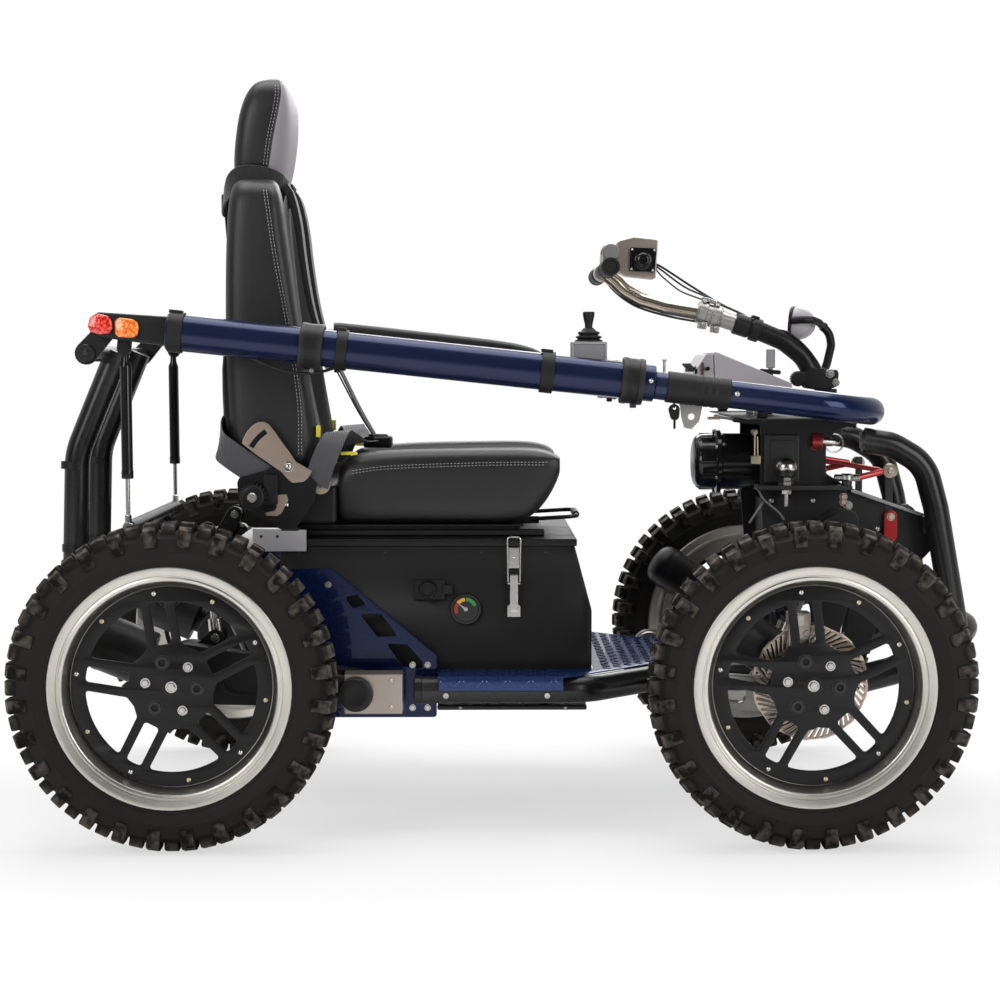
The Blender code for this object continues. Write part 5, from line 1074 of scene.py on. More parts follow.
soft_rubber = finish("soft_rubber", (0.0095, 0.0092, 0.0092), 0.5, dust=(0.034, 0.032, 0.03), dusting=0.18,
    spread=0.16, grain=850.0, depth=0.35, specular=0.3)
bm = bmesh.new()
for side in (-1, 1):
    first, last = 0.3175, 0.433
    start, end = Vector((first, side * bar_y, loop_z(first))), Vector((last, side * bar_y, loop_z(last)))
    length = (end - start).length
    profile = [(0, 0.0255), (0, 0.0272), (0.0015, 0.0285)]
    for i in range(4):
        at = length * 0.44 + i * 0.013
        profile += [(at, 0.0285), (at + 0.0012, 0.0276), (at + 0.0052, 0.0276), (at + 0.0064, 0.0285)]
    profile += [(length - 0.0015, 0.0285), (length, 0.0272), (length, 0.0255)]
    turned(bm, profile, start, end, 40)
settle(bm, "nose_loop_sleeves", soft_rubber, "chassis")
bm = bmesh.new()
for side in (-1, 1):
    dome_screw(bm, (0.444, side * (bar_y + 0.0252), loop_z(0.444) + 0.002), (0, side, 0), 0.005, 0.003)
settle(bm, "nose_loop_screws", bright_steel, "chassis")

# Side bars
# Each navy bar hinges on the hoop's cross bar and meets the nose loop in a thick collar. Black rubber cuffs
# and a clamp hold the cable and the armrest; a black tail block carries the red and amber lamps.


def along_bar(x, side):
    return Vector((x, side * bar_y, bar_z(x)))


bar_radius = 0.0335
strut_head = (rear_x - 0.106, 0.888)
for label, side in sides.items():
    body = f"side_bar_{label}"
    bm = bmesh.new()
    start, end = along_bar(-0.59, side), along_bar(collar_x - 0.002, side)
    length = (end - start).length
    turned(bm, [(0, 0), (0, 0.032), (0.0015, bar_radius), (length - 0.0015, bar_radius), (length, 0.032),
        (length, 0)], start, end, 64)
    settle(bm, f"side_bar_tube_{label}", navy, body, [f"side_bar_{label}"])
    bm = bmesh.new()
    clamp = [(0, bar_radius), (0, 0.0412), (0.0015, 0.0427), (0.0105, 0.0427), (0.012, 0.0418),
        (0.03, 0.0418), (0.0315, 0.0427), (0.0405, 0.0427), (0.042, 0.0412), (0.042, bar_radius)]
    turned(bm, clamp, along_bar(-0.349, side), along_bar(0.5, side), 56)
    collar = [(0, bar_radius), (0, 0.0408), (0.0015, 0.0423), (0.01, 0.0425), (0.0115, 0.0414),
        (0.0295, 0.041), (0.031, 0.0423), (0.0395, 0.0421), (0.041, 0.0406), (0.041, bar_radius)]
    turned(bm, collar, along_bar(0.2345, side), along_bar(0.5, side), 56)
    for x in (-0.328, 0.256):
        block(bm, (x - 0.006, side * bar_y, bar_z(x) - 0.0485),
            (x + 0.006, side * (bar_y + 0.01), bar_z(x) - 0.036), 0.002)
    settle(bm, f"bar_collars_{label}", cast_black, body)
    bm = bmesh.new()
    for x, half, proud in ((-0.573, 0.0135, 0.037), (-0.273, 0.01, 0.0372), (0.1, 0.012, 0.0382)):
        profile = [(0, bar_radius), (0, proud - 0.001), (0.001, proud), (2 * half - 0.001, proud),
            (2 * half, proud - 0.001), (2 * half, bar_radius)]
        turned(bm, profile, along_bar(x - half, side), along_bar(1.0, side), 56)
        block(bm, (x - half * 0.9, side * (bar_y - 0.01), bar_z(x) + proud - 0.003),
            (x + half * 0.9, side * (bar_y + 0.012), bar_z(x) + proud + 0.0035), 0.0018, lean_deg=6.1)
    settle(bm, f"bar_cuffs_{label}", soft_rubber, body)
    bm = bmesh.new()
    dome_screw(bm, (0.287, side * (bar_y + 0.0333), bar_z(0.287) + 0.004), (0, side, 0), 0.0046, 0.0028)
    socket_bolt(bm, (-0.328, side * (bar_y + 0.01), bar_z(-0.328) - 0.0425), (0, side, 0), 0.0042, 0.003)
    settle(bm, f"bar_screws_{label}", bright_steel, body)
    # The tail block behind the tube, its hinge ear and the hanger of the gas strut
    bm = bmesh.new()
    tail = [(-0.712, 0.9085), (-0.726, 0.916), (-0.732, 0.929), (-0.727, 0.945), (-0.712, 0.954),
        (-0.56, bar_z(-0.56) + 0.028), (-0.56, bar_z(-0.56) - 0.028)]
    sheet(bm, [tail], side * (bar_y - 0.024), side * (bar_y + 0.0165), 0.006, corner=0.006)
    ear = round_ends(hinge_bar, 0.021, (hinge_bar[0] + 0.04, 0.925), 0.018)
    sheet(bm, [ear], side * (bar_y - 0.021), side * (bar_y - 0.013), 0.001)
    hanger = round_ends(strut_head, 0.013, (strut_head[0] + 0.004, 0.925), 0.013)
    sheet(bm, [hanger], side * (strut_y + 0.0085), side * (strut_y + 0.0175), 0.001)
    settle(bm, f"bar_tail_{label}", black_plastic, body)
    bm = bmesh.new()
    cross_bar(bm, hinge_bar[0], hinge_bar[1], side * (bar_y - 0.0125), side * (bar_y - 0.006), 0.0165,
        0.0015, 32)
    hex_bolt(bm, (hinge_bar[0], side * (bar_y - 0.006), hinge_bar[1]), (0, side, 0), 0.01, 0.005, 0.0085)
    settle(bm, f"hinge_bolt_{label}", black_steel, body)

# Lamps
# A red tail lamp and an amber indicator on the outer face of each tail block: clear moulded lenses with
# fine inner ribs. The bright reflector behind them is not modelled; painted glints and a faint painted glow
# stand in for it.


def lens_material(name, colour, deep):
    """Coloured clear plastic over ribs as one glossy surface, with painted glints in bright cells and a faint
    painted glow.
    """
    made = bpy.data.materials.new(name)
    made.use_nodes = True
    tree, shader = parts_of(made)[:2]
    # The emission is a painted glow standing in for light off the reflector behind the lens.
    for socket, value in {"Roughness": 0.1, "Coat Weight": 1.0, "Coat Roughness": 0.03,
            "Emission Strength": 0.35}.items():
        shader[socket].default_value = value
    place = shader_node(tree, "TexCoord")["Object"]
    cells = shader_node(tree, "TexVoronoi", {"Vector": place, "Scale": 210.0})["Distance"]
    # Bright cell centres in the colour are painted glints of that reflector.
    lens_tint_and_painted_glints = shader_node(tree, "ValToRGB", {"Fac": cells})["Color"]
    for stop, at, shade in zip(lens_tint_and_painted_glints.node.color_ramp.elements, (0.1, 0.72), (colour, deep)):
        stop.position = at
        stop.color = (*shade, 1)
    for socket in ("Base Color", "Emission Color"):
        tree.links.new(lens_tint_and_painted_glints, shader[socket])
    emboss(made, cells, 0.0012, 0.6)
    return made


red_lens = lens_material("red_lens", (0.95, 0.1, 0.06), (0.42, 0.008, 0.006))
amber_lens = lens_material("amber_lens", (1.0, 0.34, 0.06), (0.62, 0.11, 0.012))
red_shape = [(-0.73, 0.928), (-0.7245, 0.918), (-0.708, 0.9135), (-0.6905, 0.915), (-0.685, 0.926),
    (-0.687, 0.938), (-0.693, 0.947), (-0.712, 0.951), (-0.7255, 0.945)]
amber_shape = [(-0.681, 0.915), (-0.675, 0.909), (-0.648, 0.9075), (-0.64, 0.913), (-0.638, 0.926),
    (-0.64, 0.935), (-0.648, 0.941), (-0.673, 0.944), (-0.6805, 0.938)]
for label, side in sides.items():
    for name, lens, shape in (("red", red_lens, red_shape), ("amber", amber_lens, amber_shape)):
        bm = bmesh.new()
        sheet(bm, [shape], side * (bar_y + 0.0155), side * (bar_y + 0.0238), 0.0032, 0.006, steps=3)
        settle(bm, f"{name}_lamp_{label}", lens, f"side_bar_{label}", smooth_deg=50)

# Gas struts
# A gas strut under each bar's tail carries its weight as it lifts. The black painted cylinder hangs from the
# bar, and the plated steel rod stands on a cross bar of the frame.

for label, side in sides.items():
    foot, head = (Vector((x, side * strut_y, z)) for x, z in (strut_foot, strut_head))
    length = (head - foot).length
    up = (head - foot).normalized()
    bm = bmesh.new()
    round_bar(bm, foot, foot + up * 0.21, 0.004, 0.0005, 20)
    turned(bm, [(0.006, 0), (0.006, 0.0062), (0.022, 0.0062), (0.024, 0.004), (0.024, 0)], foot, head, 6)
    round_bar(bm, foot - Vector((0, 0.009, 0)), foot + Vector((0, 0.009, 0)), 0.01)
    settle(bm, f"strut_steel_rod_{label}", bright_steel, f"strut_rod_{label}",
        [f"strut_rod_{label}"])
    bm = bmesh.new()
    profile = [(0.218, 0), (0.218, 0.0055), (0.09, 0.0055), (0.09, 0.01), (0.0915, 0.011), (0.104, 0.011),
        (0.106, 0.0104), (length - 0.032, 0.0104), (length - 0.03, 0.0098), (length - 0.022, 0.0065),
        (length - 0.008, 0.006), (length - 0.008, 0)]
    turned(bm, profile, foot, head, 28)
    round_bar(bm, head - Vector((0, 0.0072, 0)), head + Vector((0, 0.0072, 0)), 0.009)
    settle(bm, f"strut_black_cylinder_{label}", gloss_black, f"strut_cylinder_{label}",
        [f"strut_cylinder_{label}"])

# Rear arms and their motors
# Cast trailing arms, coated black, each with its gearbox on the hub's axis and a domed gear motor behind.
# Socket screws close the gearbox, and a bolt through two ears holds the lower eye of the shock absorber.


def domed_motor(bm, start, way, length, radius, neck):
    """A neck, a ribbed case with a band near its end, and a domed end."""
    end = neck + length
    profile = [(-0.03, 0), (-0.03, 0.028), (-0.028, 0.03), (neck - 0.003, 0.03), (neck, 0.034),
        (neck, radius - 0.002), (neck + 0.002, radius)]
    profile += [(end - 0.046, radius), (end - 0.044, radius + 0.0008), (end - 0.036, radius + 0.0008),
        (end - 0.034, radius - 0.0006)]
    for i in range(9):
        turn = radians(10 * i)
        profile.append((end - 0.026 + 0.026 * sin(turn), (radius - 0.001) * cos(turn) ** 0.72))
    profile.append((end + 0.0002, 0.0))
    turned(bm, profile, start, Vector(start) + Vector(way), 40)


def gearbox(bm, x, inner, side):
    """A round case from its inboard face to the hub, with a rib round its middle and six socket screws."""
    z, outer, radius, bolts = axle_z, side * (track / 2 - 0.0385), 0.05, 6
    cross_bar(bm, x, z, inner, outer, radius, 0.003, 48)
    middle = (inner + outer) / 2
    turned(bm, [(0, radius - 0.001), (0, radius + 0.004), (0.001, radius + 0.005), (0.007, radius + 0.005),
        (0.008, radius + 0.004), (0.008, radius - 0.001)], (x, middle - 0.004, z), (x, middle + 1, z), 48)
    for bolt in range(bolts):
        px, pz = polar(radius * 0.78, tau * bolt / bolts + 0.3)
        socket_bolt(bm, (x + px, inner, z + pz), (0, -side, 0), 0.0048, 0.004)


for label, side in sides.items():
    bm = bmesh.new()
    y = rear_arm_y
    arm = round_ends((pivot_x, pivot_z), 0.034, (rear_x, axle_z), 0.056, 14)
    sheet(bm, [arm], side * (y - 0.018), side * (y + 0.018), 0.004)
    well = round_ends((pivot_x - 0.06, pivot_z + 0.004), 0.018, (rear_x + 0.1, axle_z - 0.008), 0.026, 10)
    lip = round_ends((pivot_x - 0.052, pivot_z + 0.004), 0.023, (rear_x + 0.094, axle_z - 0.008), 0.031, 10)
    sheet(bm, [lip, well], side * (y + 0.0175), side * (y + 0.0205), 0.001)
    gearbox(bm, rear_x, side * (rear_shock_y - 0.0305), side)
    domed_motor(bm, (rear_x - 0.03, side * (y + 0.008), axle_z + 0.012), (-0.93, 0, 0.37), 0.13, 0.052, 0.035)
    shock_ears(bm, rear_foot, side, rear_shock_y, (rear_x + 0.006, axle_z + 0.007))
    settle(bm, f"trailing_arm_{label}", cast_black, f"rear_arm_{label}", [f"rear_arm_{label}"])
    bm = bmesh.new()
    for way in (-1, 1):
        place = (rear_foot[0], side * (rear_shock_y + way * ear_face), rear_foot[1])
        hex_bolt(bm, place, (0, side * way, 0))
    settle(bm, f"rear_arm_bolts_{label}", bright_steel, f"rear_arm_{label}")

# Front arms
# Machined aluminium leading arms, left bare, with an upright yoke that holds each knuckle's kingpin. A boss
# at the rear end turns on the frame's cross shaft, under a hexagon bolt.

bare_alloy = finish("bare_alloy", (0.5, 0.49, 0.475), 0.36, 0.9, dust=(0.28, 0.25, 0.22), dusting=0.4,
    spread=0.18, grain=380.0, depth=0.18)
for label, side in sides.items():
    px, pz = front_x - 0.226, axle_z - 0.031
    y = front_arm_y
    bm = bmesh.new()
    arm = round_ends((px, pz), 0.032, (front_x - 0.005, axle_z - 0.048), 0.034, 12)
    slot = round_ends((px + 0.058, pz - 0.002), 0.012, (front_x - 0.11, axle_z - 0.044), 0.014, 8)
    sheet(bm, [arm, slot], side * (y - 0.009), side * (y + 0.009), 0.002)
    block(bm, (front_x - 0.024, side * (y - 0.0085), axle_z - 0.083),
        (front_x + 0.024, side * (y + 0.0085), axle_z + 0.083), 0.003)
    for z in (axle_z - 0.082, axle_z + 0.07):
        block(bm, (front_x - 0.022, side * (y - 0.005), z), (front_x + 0.022, side * kingpin_y, z + 0.012),
            0.002)
        round_bar(bm, (front_x, side * kingpin_y, z - 0.002), (front_x, side * kingpin_y, z + 0.014),
            0.0235, 0.0015, 32)
    cross_bar(bm, px, pz, side * (y - 0.019), side * (y + 0.01), 0.029, 0.002, 40)
    shock_ears(bm, front_foot, side, front_shock_y, (front_x - 0.03, axle_z - 0.045))
    block(bm, (front_x - 0.045, side * (front_shock_y - 0.0315), axle_z - 0.066),
        (front_x - 0.015, side * y, axle_z - 0.048), 0.002)
    settle(bm, f"leading_arm_{label}", bare_alloy, f"front_arm_{label}", [f"front_arm_{label}"])
    bm = bmesh.new()
    for way in (-1, 1):
        hex_bolt(bm, (front_foot[0], side * (front_shock_y + way * ear_face), front_foot[1]),
            (0, side * way, 0))
    hex_bolt(bm, (px, side * (y + 0.01), pz), (0, side, 0), 0.015, 0.007, 0.014)
    for z, way in ((axle_z - 0.084, -1), (axle_z + 0.084, 1)):
        hex_bolt(bm, (front_x, side * kingpin_y, z), (0, 0, way), 0.013, 0.006, 0.0115)
    settle(bm, f"front_arm_bolts_{label}", bright_steel, f"front_arm_{label}")

# Knuckles and calipers
# Steered hub carriers: a cast black gearbox with its domed motor turns on the kingpin. A bronze anodised
# caliper with a cream plug is milled from the block and sits astride the brake disc.

cream_plastic = finish("cream_plastic", (0.62, 0.6, 0.55), 0.4, dust=(0.4, 0.38, 0.34), dusting=0.3,
    spread=0.1, grain=600.0, depth=0.1)
for label, side in sides.items():
    body = f"knuckle_{label}"
    bm = bmesh.new()
    gearbox(bm, front_x, side * (kingpin_y - 0.04), side)
    round_bar(bm, (front_x, side * kingpin_y, axle_z - 0.067), (front_x, side * kingpin_y, axle_z + 0.067),
        0.02)
    domed_motor(bm, (front_x - 0.02, side * (kingpin_y - 0.01), axle_z + 0.015), (-0.82, 0, 0.57), 0.185,
        0.045, 0.046)
    settle(bm, f"hub_carrier_{label}", cast_black, body, [f"knuckle_{label}"])
    bm = bmesh.new()
    disc_inner, x = track / 2 - 0.032, front_x - 0.022
    for half, y_low, y_high, z_low, z_high in ((0.02, -0.015, -0.001, 0.044, 0.127),
            (0.0195, -0.0145, 0.018, 0.102, 0.128), (0.019, 0.005, 0.0175, 0.066, 0.11)):
        block(bm, (x - half, side * (disc_inner + y_low), axle_z + z_low),
            (x + half, side * (disc_inner + y_high), axle_z + z_high), 0.0025)
    for dx in (-0.0125, 0.0125):
        cross_bar(bm, x + dx, axle_z + 0.09, side * (disc_inner + 0.016), side * (disc_inner + 0.0195),
            0.0058, 0.0008, 24)
    settle(bm, f"brake_caliper_{label}", bronze, body)
    bm = bmesh.new()
    block(bm, (x - 0.0075, side * (disc_inner + 0.0175), axle_z + 0.104),
        (x + 0.0075, side * (disc_inner + 0.0245), axle_z + 0.124), 0.002)
    settle(bm, f"caliper_plug_{label}", cream_plastic, body)

# Shock absorbers
# Four air shocks. Each gloss black can hangs from its top eye, and a bright steel shaft with its eye slides
# in it. Hexagon bolts hold the eyes, and a steel band rings each front can.

for label, side in sides.items():
    for where, top, foot, y in (("rear", rear_top, rear_foot, rear_shock_y),
            ("front", front_top, front_foot, front_shock_y)):
        top_at, foot_at = Vector((top[0], side * y, top[1])), Vector((foot[0], side * y, foot[1]))
        length = (foot_at - top_at).length
        down = (foot_at - top_at).normalized()
        last = length * 0.6
        bm = bmesh.new()
        profile = [(0, 0), (0, 0.008), (0.02, 0.008), (0.024, 0.018), (0.031, 0.0232), (0.033, 0.024),
            (0.046, 0.024), (0.047, 0.0228), (0.051, 0.0228), (0.052, 0.024), (last - 0.02, 0.024),
            (last - 0.019, 0.0232), (last - 0.011, 0.0232), (last - 0.009, 0.0225), (last, 0.016),
            (last, 0.0095), (0.036, 0.0095), (0.034, 0)]
        turned(bm, profile, top_at, foot_at, 40)
        across = Vector((0, 0.025, 0))
        round_bar(bm, top_at - across, top_at + across, 0.013, 0.001, 28)
        settle(bm, f"{where}_shock_case_{label}", gloss_black, f"{where}_shock_can_{label}",
            [f"shock_can_{where}_{label}"])
        bm = bmesh.new()
        round_bar(bm, top_at + down * 0.076, foot_at, 0.008, 0.0005, 28)
        round_bar(bm, foot_at - across, foot_at + across, 0.013, 0.001, 28)
        turned(bm, [(length - 0.034, 0.0079), (length - 0.034, 0.013), (length - 0.032, 0.014),
            (length - 0.008, 0.014), (length - 0.006, 0.013), (length - 0.006, 0)], top_at, foot_at, 28)
        settle(bm, f"{where}_shock_bright_shaft_{label}", bright_steel, f"{where}_shock_shaft_{label}",
            [f"shock_shaft_{where}_{label}"])
        if where == "front":
            bm = bmesh.new()
            at = last * 0.42
            turned(bm, [(at, 0.0242), (at, 0.0252), (at + 0.004, 0.0256), (at + 0.01, 0.0256),
                (at + 0.014, 0.0252), (at + 0.014, 0.0242)], top_at, foot_at, 40)
            settle(bm, f"front_shock_band_{label}", bright_steel, f"front_shock_can_{label}")
        bm = bmesh.new()
        for way in (-1, 1):
            hex_bolt(bm, (top[0], side * (y + way * ear_face), top[1]), (0, side * way, 0))
        settle(bm, f"{where}_shock_bolts_{label}", bright_steel, "chassis")

# Front tower
# Two black coated plates stand on the tubes' waist and carry the arms, the nose and the column. Between them
# sit the steering motor and its housings; a bare steel strip stiffens the edge that runs to the bull bar.

f = front_x
bm = bmesh.new()
tower_edge = [(-0.106, 0.758), (0.134, 0.758), (0.134, 0.745), (0.096, 0.736), (0.074, 0.712),
    (0.074, 0.652), (0.112, 0.628), (0.122, 0.624), (0.304, 0.56), (0.304, 0.532), (0.19, 0.41),
    (0.15, 0.2775), (-0.02, 0.2775), (-0.04, 0.48), (-0.052, 0.62), (-0.052, 0.744), (-0.106, 0.75)]
tower_window = [(0.01, 0.325), (0.11, 0.325), (0.135, 0.44), (0.01, 0.44)]
tower_outlines = [[(f + x, z) for x, z in outline] for outline in (tower_edge, tower_window)]
for side in (-1, 1):
    sheet(bm, tower_outlines, side * 0.151, side * 0.156, 0.0008, 0.007, steps=3)
    shock_ears(bm, front_top, side, front_shock_y, (f + 0.09, 0.57))
    block(bm, (f - 0.046, side * 0.1555, 0.634), (f + 0.022, side * 0.163, 0.726), 0.003)
    block(bm, (f - 0.034, side * 0.162, 0.648), (f + 0.01, side * 0.1655, 0.716), 0.002)
for low, high in (((f - 0.1055, -0.1525, 0.752), (f + 0.1335, 0.1525, 0.7575)),
        ((f - 0.02, -0.1525, 0.5), (f + 0.12, 0.1525, 0.59)),
        ((f + 0.126, -0.152, 0.738), (f + 0.133, 0.152, 0.755)),
        ((f - 0.01, -0.1525, 0.278), (f + 0.145, 0.1525, 0.2855)),
        ((f - 0.02, -0.1525, 0.6), (f + 0.01, 0.02, 0.632)),
        ((f + 0.012, -0.14, 0.588), (f + 0.066, 0.14, 0.748))):
    block(bm, low, high, 0.002)
cross_bar(bm, f + 0.09, 0.57, -0.2955, 0.2955, 0.014)
cross_bar(bm, f + 0.288, 0.545, -0.154, 0.154, 0.012)
settle(bm, "tower_plates", cast_black, "chassis", ["front_tower"])
bm = bmesh.new()
motor_at = (f - 0.046, -0.045, 0.67)
post_x, post_y = f - 0.006, 0.184
plate_face = 0.1558
case = [(-0.052, 0), (-0.052, 0.052), (-0.049, 0.055), (0.07, 0.055), (0.0715, 0.062), (0.073, 0.0635),
    (0.08, 0.0635), (0.0815, 0.062), (0.083, 0.055), (0.108, 0.054), (0.116, 0.0515), (0.122, 0.045),
    (0.125, 0.034), (0.125, 0.0)]
turned(bm, case, motor_at, (motor_at[0] - 1, *motor_at[1:]), 64)
for fin in range(12):
    dy, dz = polar(0.0535, tau * fin / 12)
    round_bar(bm, (motor_at[0] - 0.083, motor_at[1] + dy, motor_at[2] + dz),
        (motor_at[0] - 0.112, motor_at[1] + dy, motor_at[2] + dz), 0.0022, 0.0006, 10)
settle(bm, "steering_motor", gloss_black, "chassis")
bm = bmesh.new()
for bolt in range(6):
    dy, dz = polar(0.059, tau * (bolt + 0.5) / 6)
    socket_bolt(bm, (motor_at[0] - 0.081, motor_at[1] + dy, motor_at[2] + dz), (-1, 0, 0), 0.0038, 0.0045)
for side in (-1, 1):
    dome = [(0.0, 0), (0.0, 0.0205), (0.004, 0.0215), (0.01, 0.0208), (0.016, 0.0175), (0.021, 0.011),
        (0.0235, 0.004), (0.0237, 0)]
    turned(bm, dome, (post_x, side * post_y, 0.66), (post_x, side * post_y, 1), 32)
    for z, across, height in ((0.631, 0.026, 0.008), (0.6395, 0.022, 0.007)):
        turned(bm, [(0, 0), (0, across / 1.74), (height - 0.001, across / 1.74), (height, across / 2),
            (height, 0)], (post_x, side * post_y, z), (post_x, side * post_y, 1), 6)
    hex_bolt(bm, (post_x, side * post_y, 0.623), (0, 0, -1), 0.017, 0.01, 0.013)
    round_bar(bm, (post_x, side * post_y, 0.615), (post_x, side * post_y, 0.59), 0.0045)
    for x, z in ((f + 0.117, 0.59), (f + 0.288, 0.545)):
        hex_bolt(bm, (x, side * plate_face, z), (0, side, 0), 0.011, 0.0055, 0.009)
    for x, z in ((f - 0.03, 0.6), (f + 0.05, 0.6), (f - 0.02, 0.515), (f + 0.05, 0.7), (f + 0.175, 0.545)):
        dome_screw(bm, (x, side * plate_face, z), (0, side, 0), 0.0048, 0.003)
settle(bm, "tower_bright_bolts", bright_steel, "chassis")
bm = bmesh.new()
for side in (-1, 1):
    strip = [(f + 0.12, 0.6235), (f + 0.304, 0.559), (f + 0.304, 0.553), (f + 0.12, 0.6165)]
    sheet(bm, [strip], side * 0.1562, side * 0.168, 0.001)
settle(bm, "tower_edge_strip", finish("bare_sheet_steel", (0.3, 0.3, 0.31), 0.42, 0.8,
    dust=(0.2, 0.19, 0.18), dusting=0.3, spread=0.2, grain=400.0, depth=0.15), "chassis")
bm = bmesh.new()
for side in (-1, 1):
    block(bm, (f - 0.064, side * 0.1555, 0.622), (f + 0.118, side * 0.198, 0.6305), 0.0015)
    turned(bm, [(0, 0), (0, 0.015), (0.003, 0.019), (0.01, 0.019), (0.0145, 0.0205), (0.0145, 0)],
        (post_x, side * post_y, 0.646), (post_x, side * post_y, 1), 28)
    round_bar(bm, (f + 0.11, side * 0.18, 0.63), (f + 0.11, side * 0.18, 0.641), 0.01, 0.001, 20)
    block(bm, (f + 0.188, side * 0.152, 0.576), (f + 0.202, side * 0.158, 0.67), 0.001)
    turned(bm, [(0, 0), (0, 0.025), (0.002, 0.027), (0.009, 0.027), (0.011, 0.025), (0.011, 0)],
        (f + 0.288, side * 0.144, 0.545), (f + 0.288, side * 2, 0.545), 32)
settle(bm, "tower_brackets", black_steel, "chassis")

# Steering links
# Red anodised link rods with plated rod ends join the steering arm's joint to the nose on both sides; a red
# clamp and a bright cone hold the hose beside them.

red_anodised = finish("red_anodised", (0.42, 0.012, 0.014), 0.28, 0.6, dust=(0.3, 0.04, 0.04),
    dusting=0.25, bare=(0.6, 0.3, 0.3), wear=0.3, spread=0.15, grain=500.0, depth=0.08)
plated_steel = finish("yellow_plated_steel", (0.47, 0.375, 0.305), 0.36, 0.85, dust=(0.34, 0.28, 0.22),
    dusting=0.35, bare=(0.75, 0.7, 0.64), wear=0.5, spread=0.2, grain=500.0, depth=0.12)
joint_x, joint_z = f + 0.195, 0.657
bm = bmesh.new()
for side in (-1, 1):
    round_bar(bm, (f + 0.072, side * 0.148, 0.675), (f + 0.176, side * 0.166, 0.6585), 0.0048)
    round_bar(bm, (f + 0.128, side * 0.18, 0.644), (f + 0.18, side * 0.17, 0.656), 0.006)
    round_bar(bm, (f + 0.046, side * 0.15, 0.713), (f + 0.066, side * 0.15, 0.713), 0.0175, 0.0015, 32)
    sheet(bm, [round_ends((f + 0.1975, 0.569), 0.0125, (f + 0.1975, 0.533), 0.0125, 8)], side * 0.1562,
        side * 0.166, 0.001)
settle(bm, "steering_links", red_anodised, "chassis")
bm = bmesh.new()
for side in (-1, 1):
    turned(bm, [(-0.0045, 0.006), (-0.0045, 0.0125), (-0.003, 0.014), (0.003, 0.014), (0.0045, 0.0125),
        (0.0045, 0.006), (-0.0045, 0.006)], (joint_x, side * 0.166, joint_z), (joint_x, side * 2, joint_z),
        28)
    cross_bar(bm, joint_x, joint_z, side * 0.157, side * 0.176, 0.0062, 0.001, 20)
    hex_bolt(bm, (joint_x, side * 0.1715, joint_z), (0, side, 0), 0.012, 0.006, 0.01)
    hex_bolt(bm, (f + 0.1975, side * 0.1658, 0.569), (0, side, 0))
    for z in (0.6065, 0.5965):
        hex_bolt(bm, (f + 0.108, side * plate_face, z), (0, side, 0), 0.01, 0.006, 0.008)
settle(bm, "link_rod_ends", plated_steel, "chassis")
bm = bmesh.new()
for side in (-1, 1):
    turned(bm, [(0, 0), (0, 0.01), (0.02, 0.0085), (0.034, 0.0032), (0.036, 0)],
        (f + 0.0655, side * 0.15, 0.713), (f + 0.11, side * 0.15, 0.71), 28)
    turned(bm, [(-0.002, 0.0165), (-0.002, 0.019), (0.002, 0.019), (0.002, 0.0165), (-0.002, 0.0165)],
        (f + 0.09, side * 0.15, 0.7095), (f + 0.092, side * 0.17, 0.7095), 36)
    turned(bm, [(0, 0), (0, 0.01), (0.003, 0.0125), (0.011, 0.0125), (0.014, 0.01), (0.014, 0)],
        (f + 0.11, side * 0.18, 0.6385), (f + 0.11, side * 0.18, 1), 28)
    round_bar(bm, (f + 0.086, side * 0.18, 0.6445), (f + 0.134, side * 0.18, 0.6445), 0.0068, 0.001, 20)
settle(bm, "link_joints", bright_steel, "chassis")

# Seat frame and recliners
# A black steel pan on channels that slide along the lid's rails. On each side a plated quadrant with an arc
# slot is bolted at the back's pivot, over a black upright; a ribbed hand knob with a steel boss locks it.

recline = (-0.378, 0.67)
knob_x, knob_z = -0.443, 0.614
moulded_black = finish("moulded_black", (0.0085, 0.0085, 0.009), 0.4, dust=(0.035, 0.034, 0.032),
    dusting=0.13, spread=0.12, grain=700.0, depth=0.14, specular=0.28)
bm = bmesh.new()
block(bm, (-0.402, -0.2, 0.5535), (0.06, 0.2, 0.558), 0.001)
for side in (-1, 1):
    block(bm, (-0.376, side * 0.154, 0.5465), (0.055, side * 0.186, 0.5555), 0.0015)
    block(bm, (-0.393, side * 0.19, 0.55), (-0.36, side * 0.2575, 0.5565), 0.0015)
    upright = [(-0.474, 0.64), (-0.47, 0.65), (-0.42, 0.664), (-0.379, 0.69), (-0.362, 0.67),
        (-0.326, 0.64), (-0.33, 0.606), (-0.366, 0.5535), (-0.396, 0.5535), (-0.428, 0.59), (-0.47, 0.594)]
    sheet(bm, [upright], side * 0.2535, side * 0.2572, 0.0006, 0.006, steps=3)
    block(bm, (-0.424, side * 0.2565, 0.6), (-0.398, side * 0.2665, 0.656), 0.002)
block(bm, (-0.39, -0.236, 0.56), (-0.29, 0.236, 0.634), 0.01, segments=4)
settle(bm, "seat_sliding_frame", satin_black, "seat", ["seat_base"])
lobe = [(-0.464, 0.7136), (-0.462, 0.7217), (-0.454, 0.736), (-0.444, 0.747), (-0.434, 0.7526),
    (-0.424, 0.754), (-0.414, 0.749), (-0.402, 0.734), (-0.39, 0.716), (-0.376, 0.697), (-0.364, 0.679),
    (-0.35, 0.671), (-0.334, 0.662), (-0.342, 0.649), (-0.35, 0.642), (-0.37, 0.64), (-0.378, 0.645),
    (-0.392, 0.661), (-0.436, 0.691), (-0.454, 0.7055)]
slot = [(recline[0] + r * cos(radians(a)), recline[1] + r * sin(radians(a)))
        for r, angles in ((0.0825, range(122, 153, 3)), (0.0725, range(152, 121, -3))) for a in angles]
bm = bmesh.new()
